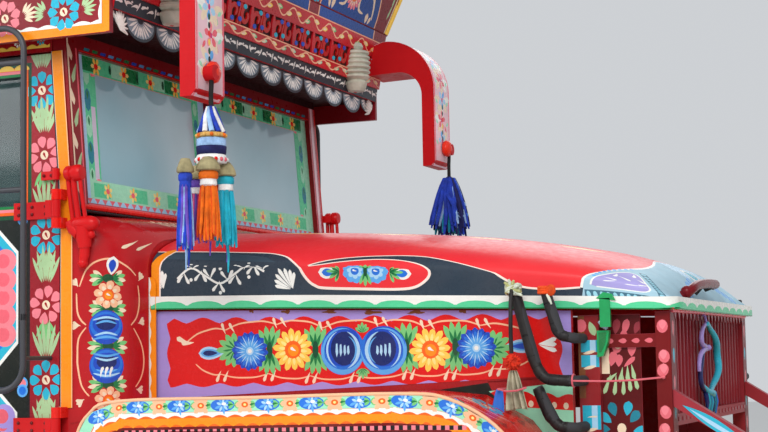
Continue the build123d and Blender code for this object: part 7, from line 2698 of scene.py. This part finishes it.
dc = Canvas("fuel_drum_art", rectp(-2786, -1714, -340, 300), "bodyblue", drum_place, grid=34, curved=True, lift=0.4, thick=1)
for i in range(5):
    u = -2660 + 205 * i
    if i % 2:
        dc.daisy(u, -10, 84, 12, ("yellow", "paleyellow"), ("deeporange", "orange", "white"))
    else:
        dc.daisy(u, -10, 84, 12, ("pink", "cream"), ("deeporange", "yellow", "white"))
    for s in (-1, 1):
        dc.leaf_fan(u, -10 + s * 76, s * math.pi / 2, 76, 6, 2.0)
for v in (-318, 278):
    dc.band([(-2786, v), (-1714, v)], 22, "orange", 0)
    dc.band([(-2786, v - 16 if v > 0 else v + 16), (-1714, v - 16 if v > 0 else v + 16)], 6, "white", 0)
dc.build("root")
b = Bag()
for x in (-2786, -2430, -2070, -1714):
    b.lathe([(240, -9), (246, -5), (248, 0), (246, 5), (240, 9)], (x, -790, 700), "x", "bodyred", 40, closed=True)
for x in (-2620, -1880):
    b.lathe([(240, -26), (244, -25), (244, 25), (240, 26)], (x, -790, 700), "x", "chassisblack", 40, closed=True)
b.lathe([(2, 26), (30, 26), (34, 0)], (-2000, -864, 922), "z", "tinplate", 16)
b.make("fuel_drum_bands", smooth=True, sharp=40)
for nm, x, pl in (("front", -1700, lambda u, v: (-1700, u, v)), ("back", -2800, lambda u, v: (-2800, -u, v))):
    cy = -790 if nm == "front" else 790
    de = Canvas("fuel_drum_end_" + nm, arc_pts(cy, 700, 232, 232, 0, 2 * math.pi, 40)[:-1], "bodyred", pl)
    de.ring(cy, 700, 214, 214, 12, "yellow", 40)
    de.daisy(cy, 700, 150, 16, ("turquoise", "paleblue"), ("deeporange", "yellow", "white"))
    de.build("root")
tb = Canvas("tool_box_art", rectp(1642, 2558, 762, 1073), "bodygreen", lambda u, v: (-u, 1090, v))
bay_frame(tb, 1650, 2550, 770, 1066, "crimson", "yellow", "bodyblue")
for i in range(4):
    u = 1762 + 226 * i
    if i % 2:
        tb.daisy(u, 918, 82, 12, ("yellow", "paleyellow"), ("deeporange", "orange", "white"))
    else:
        tb.daisy(u, 918, 82, 12, ("pink", "cream"), ("deeporange", "yellow", "white"))
    for s in (-1, 1):
        tb.leaf_fan(u + s * 72, 918, 0 if s > 0 else math.pi, 60, 5, 1.9)
tb.build("root")
b = Bag()
for x in (-2400, -1800):
    b.box(x - 22, x + 22, 1090.5, 1096, 1016, 1070, "tinplate")
    b.tube([(x - 14, 1097, 1030), (x - 14, 1112, 1022), (x + 14, 1112, 1022), (x + 14, 1097, 1030)], 4, "tinplate", 8)
b.make("tool_box_latches", smooth=True, sharp=30)
b = Bag()
for s in (-1, 1):
    for i in range(24):
        for j in range(7):
            x, y = -884 + 31.5 * i, s * (778 + 35 * j)
            b.prism([(x - 9, y - 3), (x, y - 6), (x + 9, y + 3), (x, y + 6)] if (i + j) % 2 else [(x - 9, y + 3), (x, y + 6), (x + 9, y - 3), (x, y - 6)], 2.4, lambda u, v, d: (u, v, 625 + d), "tinplate")
b.make("step_treads", fix=False)
for s in (-1, 1):
    st_ = Canvas("step_edge_" + ("R" if s < 0 else "L"), rectp(-898, -152, 601, 624) if s < 0 else rectp(152, 898, 601, 624), "scarlet", side_place(-1010) if s < 0 else (lambda u, v: (-u, 1010, v)))
    for i in range(12):
        u = (-868 + 62 * i) if s < 0 else (182 + 62 * i)
        st_.add([(u - 20, 612), (u, 603), (u + 20, 612), (u, 621)], "bodyyellow")
    st_.build("root")

# ================================================================ tyres and wheels
plain_mat("tyrerubber", (30, 29, 30), rough=0.82, var=0.25, scale=10, bump=0.25, dust=0.75)


def tyre_mesh(name, cx, cys, body, replaces):
    b_ = Bag()
    w = 125
    prof = [(262, -w + 34), (280, -w + 16), (302, -w + 7), (340, -w + 3), (362, -w + 1), (366, -w - 1.5), (384, -w - 1.5), (388, -w + 1), (430, -w + 3), (462, -w + 9), (484, -w + 20), (494, -w + 38),
            (497, -w + 60), (498, 0), (497, w - 60), (494, w - 38), (484, w - 20), (462, w - 9), (430, w - 3), (388, w - 1), (384, w + 1.5), (366, w + 1.5), (362, w - 1), (340, w - 3), (302, w - 7), (280, w - 16), (262, w - 34), (262, 0)]
    for cy in cys:
        b_.lathe(prof, (cx, cy, 510), "y", "tyrerubber", 72, closed=True)
        n = 46
        for i in range(n):
            a0 = 2 * math.pi * i / n
            for (y0, y1, r0, r1, sh, wd) in ((-112, -62, 486, 509, 0.0, 0.60), (62, 112, 486, 509, 0.5, 0.60), (-52, -8, 494, 509.5, 0.25, 0.74), (8, 52, 494, 509.5, 0.75, 0.74)):
                a = a0 + sh * 2 * math.pi / n
                h = wd * math.pi / n
                v = []
                for rr, g in ((r0, 1.0), (r1, 0.9)):
                    for (aa, yy) in ((a - h * g, y0), (a + h * g, y0), (a + h * g + 0.012, y1), (a - h * g + 0.012, y1)):
                        rq = rr
                        if rr == r1 and (yy in (-112, 112)):
                            rq = rr - 12
                        v.append((cx + rq * math.sin(aa), cy + yy, 510 + rq * math.cos(aa)))
                b_.add(v, [(0, 3, 2, 1), (4, 5, 6, 7), (0, 1, 5, 4), (1, 2, 6, 5), (2, 3, 7, 6), (3, 0, 4, 7)], "tyrerubber")
    return b_.make(name, body, smooth=True, replaces=replaces, sharp=28)


tyre_mesh("front_tyre_tread_R", 850, (-860,), "wheel_front_right", ("front_tyre_right",))
tyre_mesh("front_tyre_tread_L", 850, (860,), "wheel_front_left", ("front_tyre_left",))
tyre_mesh("rear_tyre_tread_R", -3450, (-740, -1040), "wheels_rear_right", ("rear_tyres_right",))
tyre_mesh("rear_tyre_tread_L", -3450, (740, 1040), "wheels_rear_left", ("rear_tyres_left",))


def wheel_art(name, cx, body, s, y_flat, y_rim):
    """s is the side's sign; y_flat the disc's outboard face near the hub, y_rim at the rim."""
    def pl(u, v):
        r = math.hypot(u, v)
        t = min(max((r - 150) / 92, 0), 1)
        return (cx - s * u if s > 0 else cx + u, y_flat + (y_rim - y_flat) * t, 510 + v)
    cv = Canvas(name, arc_pts(0, 0, 237, 237, 0, 2 * math.pi, 48)[:-1], "bodyred", pl, grid=22, curved=True, lift=0.5, thick=0.8,
                holes=[arc_pts(0, 0, 73, 73, 0, 2 * math.pi, 24)[:-1]] + [arc_pts(195 * math.cos(math.radians(45 * k + 22.5)), 195 * math.sin(math.radians(45 * k + 22.5)), 28.5, 28.5, 0, 2 * math.pi, 16)[:-1] for k in range(8)])
    cv.ring(0, 0, 231, 231, 9, "bodyyellow", 44)
    cv.ring(0, 0, 152, 152, 7, "white", 36)
    for k in range(8):
        a = math.radians(45 * k)
        cv.petal(0, 0, a, 156, 222, 62, "turquoise" if k % 2 else "bodyyellow", 0.7)
        cv.petal(0, 0, a, 164, 206, 24, "navy" if k % 2 else "scarlet", 0.6)
    cv.ring(0, 0, 92, 92, 8, "bodyyellow", 30)
    cv.build(body)
    b_ = Bag()
    o = 1 if s > 0 else -1
    for k in range(8):
        a = math.radians(45 * k)
        x, z = cx + 118 * math.cos(a), 510 + 118 * math.sin(a)
        b_.lathe([(17, 0), (17, o * 4)], (x, y_flat, z), "y", "darksteel", 14)
        b_.lathe([(13.5, 0), (13.5, o * 18), (11, o * 20), (8, o * 20), (8, o * 30), (2, o * 31)], (x, y_flat, z), "y", "tinplate", 6)
    return b_, o


for s, nm in ((-1, "right"), (1, "left")):
    b_, o = wheel_art("front_wheel_art_" + nm, 850, "wheel_front_" + nm, s, s * 897, s * 867)
    b_.lathe([(53, 0), (50, o * 8), (36, o * 17), (14, o * 22), (2, o * 22)], (850, s * 956, 510), "y", "chrome", 24)
    b_.lathe([(74, -o * 60), (76, -o * 54), (73, -o * 50)], (850, s * 956, 510), "y", "bodyyellow", 28, closed=True)
    b_.lathe([(240, 0), (262, 0), (264, o * 2), (238, o * 2)], (850, s * 957, 510), "y", "bodyyellow", 48, closed=True)
    b_.make("front_wheel_bolts_" + nm, "wheel_front_" + nm, smooth=True, sharp=30)
    b_, o = wheel_art("rear_wheel_art_" + nm, -3450, "wheels_rear_" + nm, s, s * 957, s * 927)
    b_.lathe([(62, 0), (58, o * 10), (40, o * 20), (2, o * 22)], (-3450, s * 1030, 510), "y", "bodyyellow", 24)
    b_.lathe([(71, 0), (74, -o * 4), (74, -o * 20), (71, -o * 24)], (-3450, s * 1012, 510), "y", "chrome", 28, closed=True)
    b_.lathe([(240, 0), (262, 0), (264, o * 2), (238, o * 2)], (-3450, s * 1137, 510), "y", "bodyyellow", 48, closed=True)
    b_.make("rear_wheel_bolts_" + nm, "wheels_rear_" + nm, smooth=True, sharp=30)
# ================================================================ inside the cab
plain_mat("velvet", (128, 14, 34), rough=0.9, var=0.25, scale=40, bump=0.3, dust=0.1)
plain_mat("pipingmat", (226, 176, 70), rough=0.6, var=0.2, scale=60, bump=0.3, dust=0.1)
plain_mat("blackleather", (26, 24, 26), rough=0.5, var=0.2, scale=30, bump=0.35, dust=0.15)


def swell(ob, voxel, pressure, cap, clamp):
    """Blows a closed pad up as cloth and keeps every point within cap of where it began."""
    scene.frame_set(1)
    me = ob.data
    rm = ob.modifiers.new("remesh", "REMESH")
    rm.mode = "VOXEL"
    rm.voxel_size = voxel
    dg = bpy.context.evaluated_depsgraph_get()
    new = bpy.data.meshes.new_from_object(ob.evaluated_get(dg))
    ob.modifiers.clear()
    ob.data = new
    if not new.materials:
        new.materials.append(me.materials[0])
    start = np.empty(len(new.vertices) * 3)
    new.vertices.foreach_get("co", start)
    start = start.reshape(-1, 3)
    cl = ob.modifiers.new("cloth", "CLOTH")
    cl.settings.quality = 5
    cl.settings.mass = 0.3
    cl.settings.use_pressure = True
    cl.settings.uniform_pressure_force = pressure
    cl.settings.tension_stiffness = 15
    cl.settings.compression_stiffness = 15
    cl.settings.bending_stiffness = 0.5
    cl.settings.effector_weights.gravity = 0
    cl.point_cache.frame_start = 1
    cl.point_cache.frame_end = 20
    for f in range(1, 21):
        scene.frame_set(f)
    dg = bpy.context.evaluated_depsgraph_get()
    done = bpy.data.meshes.new_from_object(ob.evaluated_get(dg))
    ob.modifiers.clear()
    ob.data = done
    scene.frame_set(1)
    end = np.empty(len(done.vertices) * 3)
    done.vertices.foreach_get("co", end)
    end = end.reshape(-1, 3)
    mv = end - start
    L = np.linalg.norm(mv, axis=1, keepdims=True)
    end = start + mv * np.minimum(1.0, cap / np.maximum(L, 1e-9))
    end = clamp(end)
    ob.data.vertices.foreach_set("co", end.reshape(-1))
    ob.data.update()
    even = ob.modifiers.new("even", "SMOOTH")
    even.factor, even.iterations = 0.5, 1
    dg = bpy.context.evaluated_depsgraph_get()
    fin_ = bpy.data.meshes.new_from_object(ob.evaluated_get(dg))
    ob.modifiers.clear()
    ob.data = fin_
    fin_.polygons.foreach_set("use_smooth", [True] * len(fin_.polygons))
    return ob


def pad(name, prof, y0, y1, clamp, channels, along):
    """prof is an X-Z outline; the pad runs from y0 to y1, and its channels are sewn across it."""
    b_ = Bag()
    n = len(prof)
    v = [(x, y0, z) for x, z in prof] + [(x, y1, z) for x, z in prof]
    f = [tuple(range(n)), tuple(range(2 * n - 1, n - 1, -1))] + [(i, i + n, (i + 1) % n + n, (i + 1) % n) for i in range(n)]
    b_.add(v, f, "velvet")
    ob = b_.make(name)
    swell(ob, 0.014, 4.0, 0.026, clamp)
    me = ob.data
    co = np.empty(len(me.vertices) * 3)
    me.vertices.foreach_get("co", co)
    co = co.reshape(-1, 3)
    nr = np.empty(len(me.vertices) * 3)
    me.vertices.foreach_get("normal", nr)
    nr = nr.reshape(-1, 3)
    dep = np.zeros(len(co))
    for c in channels:
        dep = np.maximum(dep, np.exp(-((co[:, 1] - c / 1000.0) / 0.012) ** 2))
    co -= nr * (0.009 * dep)[:, None]
    me.vertices.foreach_set("co", clamp(co).reshape(-1))
    me.update()
    return ob


def clamp_seat(c):
    c = c.copy()
    c[:, 2] = np.clip(c[:, 2], 1.2910, 1.4285)
    c[:, 0] = np.clip(c[:, 0], (-1257 + 1840) / 1000.0, (-708 + 1840) / 1000.0)
    c[:, 1] = np.clip(c[:, 1], -0.836, 0.836)
    return c


def clamp_back(c):
    c = c.copy()
    c[:, 0] = np.maximum(c[:, 0], (-1391 + 1840) / 1000.0)
    lim = (-1262 - (c[:, 2] * 1000 - 1290) * 68 / 670 + 9 + 1840) / 1000.0
    c[:, 0] = np.minimum(c[:, 0], lim)
    c[:, 2] = np.clip(c[:, 2], 1.2910, 1.968)
    c[:, 1] = np.clip(c[:, 1], -0.836, 0.836)
    return c


ch = [-660, -440, -220, 0, 220, 440, 660]
seat = pad("seat_pad", [(-1240, 1304), (-735, 1304), (-728, 1340), (-742, 1392), (-790, 1402), (-1240, 1400)], -808, 808, clamp_seat, ch, "x")
back = pad("back_pad", [(-1378, 1306), (-1284, 1306), (-1350, 1944), (-1378, 1944)], -808, 808, clamp_back, ch, "z")
for o_ in (seat, back):
    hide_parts("seat_cushions")
# brass studs and piping on the seat base
b = Bag()
for i in range(34):
    b.ball((-719, -808 + 49 * i, 1270), 6, "pipingmat", 8)
b.box(-720, -718, -838, 838, 1040, 1250, "velvet")
for i in range(9):
    b.box(-718, -716.5, -838 + 186 * i, -826 + 186 * i, 1042, 1248, "pipingmat")
b.make("seat_base_skirt")

# dashboard: painted panel with plain dials
db = Canvas("dashboard_art", rectp(-900, 900, 1625, 1796), "crimson", lambda u, v: (-250 + (v - 1620) * 15 / 180, -u, v))
for i in range(9):
    u = -800 + 200 * i
    if not (230 < u < 570):
        db.daisy(u, 1710, 50, 12, ("yellow", "paleyellow") if i % 2 else ("turquoise", "paleblue"), ("deeporange", "orange", "white"))
        for s in (-1, 1):
            db.leaf_fan(u + s * 46, 1710, 0 if s > 0 else math.pi, 44, 5, 1.8)
db.band([(-900, 1634), (900, 1634)], 9, "yellow", 0)
db.band([(-900, 1787), (900, 1787)], 9, "yellow", 0)
db.rect(220, 580, 1640, 1782, "black")
db.build("root")
b = Bag()
for y, z, r in ((-300, 1712, 46), (-400, 1722, 52), (-500, 1712, 46)):
    b.lathe([(r, 0), (r + 5, -8), (r, -12), (r - 4, -9)], (-245, y, z), "x", "chrome", 24)
    b.lathe([(r - 4, -8), (2, -8)], (-245, y, z), "x", "white", 24)
    a = 2.2
    b.tube([(-254, y, z), (-254, y + (r - 14) * math.cos(a), z + (r - 14) * math.sin(a))], 1.6, "scarlet", 5)
for i in range(6):
    b.lathe([(9, 0), (12, -10), (12, -20), (2, -22)], (-246, -560 - 38 * i, 1668), "x", "black", 12)
    b.lathe([(9, 0), (12, -10), (12, -20), (2, -22)], (-246, -40 + 38 * i, 1668), "x", "tinplate", 12)
b.make("dashboard_dials", smooth=True, sharp=40)
# wheel rim wrapping, and a horn button
b = Bag()
nz = Vector((-math.cos(math.radians(32)), 0, math.sin(math.radians(32))))
ux_ = Vector((0, 1, 0))
uy_ = nz.cross(ux_)
sc = Vector((-470, -400, 1725))
for i in range(72):
    a = 2 * math.pi * i / 72
    c_ = sc + (ux_ * math.cos(a) + uy_ * math.sin(a)) * 205
    t = (-ux_ * math.sin(a) + uy_ * math.cos(a))
    b.tube([c_ - t * 6.2, c_ - t * 3, c_ + t * 3, c_ + t * 6.2], [13.2, 15.4, 15.4, 13.2], ("blackleather", "blackleather", "scarlet")[i % 3] if i % 12 < 3 else "blackleather", 10, caps=False)
b.tube([sc + nz * 16, sc + nz * 24, sc + nz * 27], [30, 28, 12], "scarlet", 20)
b.make("steering_wheel_wrap", "steering_wheel", smooth=True, sharp=50)
plain_mat("spokesteel", (60, 60, 64), rough=0.4, metal=0.7, var=0.1, scale=10, bump=0.1, dust=0.1)
for nm, mt in (("dashboard", "crimson"), ("steering_wheel", "spokesteel")):
    NODES[nm].data.materials.clear()
    NODES[nm].data.materials.append(PAINTS[mt])
# ================================================================ a finish on every CAD node that still shows
plain_mat("engineblock", (92, 96, 92), rough=0.6, metal=0.4, var=0.3, scale=9, bump=0.35, dust=0.6, rust=0.3)
plain_mat("springsteel", (48, 46, 46), rough=0.55, metal=0.6, var=0.3, scale=12, bump=0.3, dust=0.8, rust=0.45)
plain_mat("deckwood", (122, 86, 56), rough=0.8, var=0.5, scale=4, bump=0.45, dust=0.5)
plain_mat("drumiron", (70, 64, 60), rough=0.6, metal=0.5, var=0.3, scale=10, bump=0.3, dust=0.7, rust=0.5)
paint("cabred", (150, 16, 24), rough=0.32, coat=0.3, dust=0.3, fade=0.2)
paint("insideblue", (120, 170, 190), rough=0.45, coat=0.1, dust=0.3, fade=0.25)
# The cab roof's underside over the windscreen is painted near-black maroon as painted shade, standing for the shadow
# under the crown.
paint("roof_underside_painted_shade", (44, 6, 10), rough=0.5, coat=0.05, dust=0.3)
paint("wheelred", (172, 20, 26), rough=0.35, coat=0.3, dust=0.6)
paint("boardbackred", (140, 24, 22), rough=0.5, coat=0.1, dust=0.4, fade=0.25, chips=0.4)
# Windscreen glass: a pale blue base colour with soft lighter and darker patches is painted reflection of the sky on the
# glass, and the glass is drawn nearly opaque.
gm, gnt, gb = new_mat("cabglass")
gb.inputs["Roughness"].default_value = 0.06
gb.inputs["IOR"].default_value = 1.45
gb.inputs["Coat Weight"].default_value = 0.4
gco = node(gnt, "ShaderNodeTexCoord").outputs["Object"]
glass_sky_reflection_col = mixc(gnt, ramp(gnt, noise(gnt, gco, 1.3, 2), 0.3, 0.7), srgb(128, 190, 206), srgb(196, 230, 238))
gnt.links.new(glass_sky_reflection_col, gb.inputs["Base Color"])
gnt.links.new(ramp(gnt, noise(gnt, gco, 3.0, 5), 0.35, 0.75, 0.84, 0.94), gb.inputs["Alpha"])
PAINTS["cabglass"] = gm
dm, dnt, db_ = new_mat("doorglass")
db_.inputs["Roughness"].default_value = 0.08
db_.inputs["Coat Weight"].default_value = 0.3
dco = node(dnt, "ShaderNodeTexCoord").outputs["Object"]
dcol = mixc(dnt, ramp(dnt, noise(dnt, dco, 2.2, 3), 0.3, 0.7), srgb(30, 46, 46), srgb(60, 84, 84))
dnt.links.new(dcol, db_.inputs["Base Color"])
dnt.links.new(ramp(dnt, noise(dnt, dco, 3.0, 5), 0.35, 0.75, 0.66, 0.8), db_.inputs["Alpha"])
PAINTS["doorglass"] = dm
FINISH = {
    "body_front_wall": "bodyred", "body_sides": "timber", "body_sills": "timber", "body_bearers": "timber", "bumpers": "bodyyellow",
    "cab_back_panel": "insideblue", "cab_floor": "chassisblack", "cab_glass": "cabglass", "cab_roof": "roof_underside_painted_shade", "cab_sides": "cabred",
    "cab_steps": "chassisblack", "chassis_rails": "chassisblack", "chassis_crossmembers": "chassisblack", "crown_arms": "armred",
    "crown_board": "boardbackred", "crown_cheeks": "cheekred", "crown_gallery": "railred", "deck": "deckwood",
    "door_glass_left": "doorglass", "door_glass_right": "doorglass", "door_hinge_brackets": "scarlet", "engine_and_gearbox": "engineblock",
    "engine_bay_sides": "crimson", "exhaust": "drumiron", "front_axle": "springsteel", "front_wheel_left": "wheelred", "front_wheel_right": "wheelred",
    "front_wings": "crimson", "fuel_tank": "bodyblue", "lamps": "chrome", "leaf_springs": "springsteel", "mudflaps": "rubberflap",
    "propeller_shaft": "springsteel", "rear_axle": "drumiron", "rear_frame": "crimson", "rear_wheels_left": "wheelred", "rear_wheels_right": "wheelred",
    "scuttle": "cowlred", "seat_base": "chassisblack", "steering_knuckle_left": "springsteel", "steering_knuckle_right": "springsteel",
    "tailgate": "timber", "tool_box": "bodygreen", "track_rod": "springsteel", "windscreen_frame": "framered",
}
for nm, mt in FINISH.items():
    ob = NODES[nm]
    ob.data.materials.clear()
    ob.data.materials.append(PAINTS[mt])


# ================================================================ floor
fl = bpy.data.meshes.new("floor")
fl.from_pydata([(-40, -40, 0), (40, -40, 0), (40, 40, 0), (-40, 40, 0)], [], [(0, 1, 2, 3)])
floor = bpy.data.objects.new("floor", fl)
scene.collection.objects.link(floor)
fm, fnt, fb = new_mat("floor_mat")
fb.inputs["Base Color"].default_value = (0.72, 0.72, 0.71, 1)
fb.inputs["Roughness"].default_value = 0.85
floor.data.materials.append(fm)
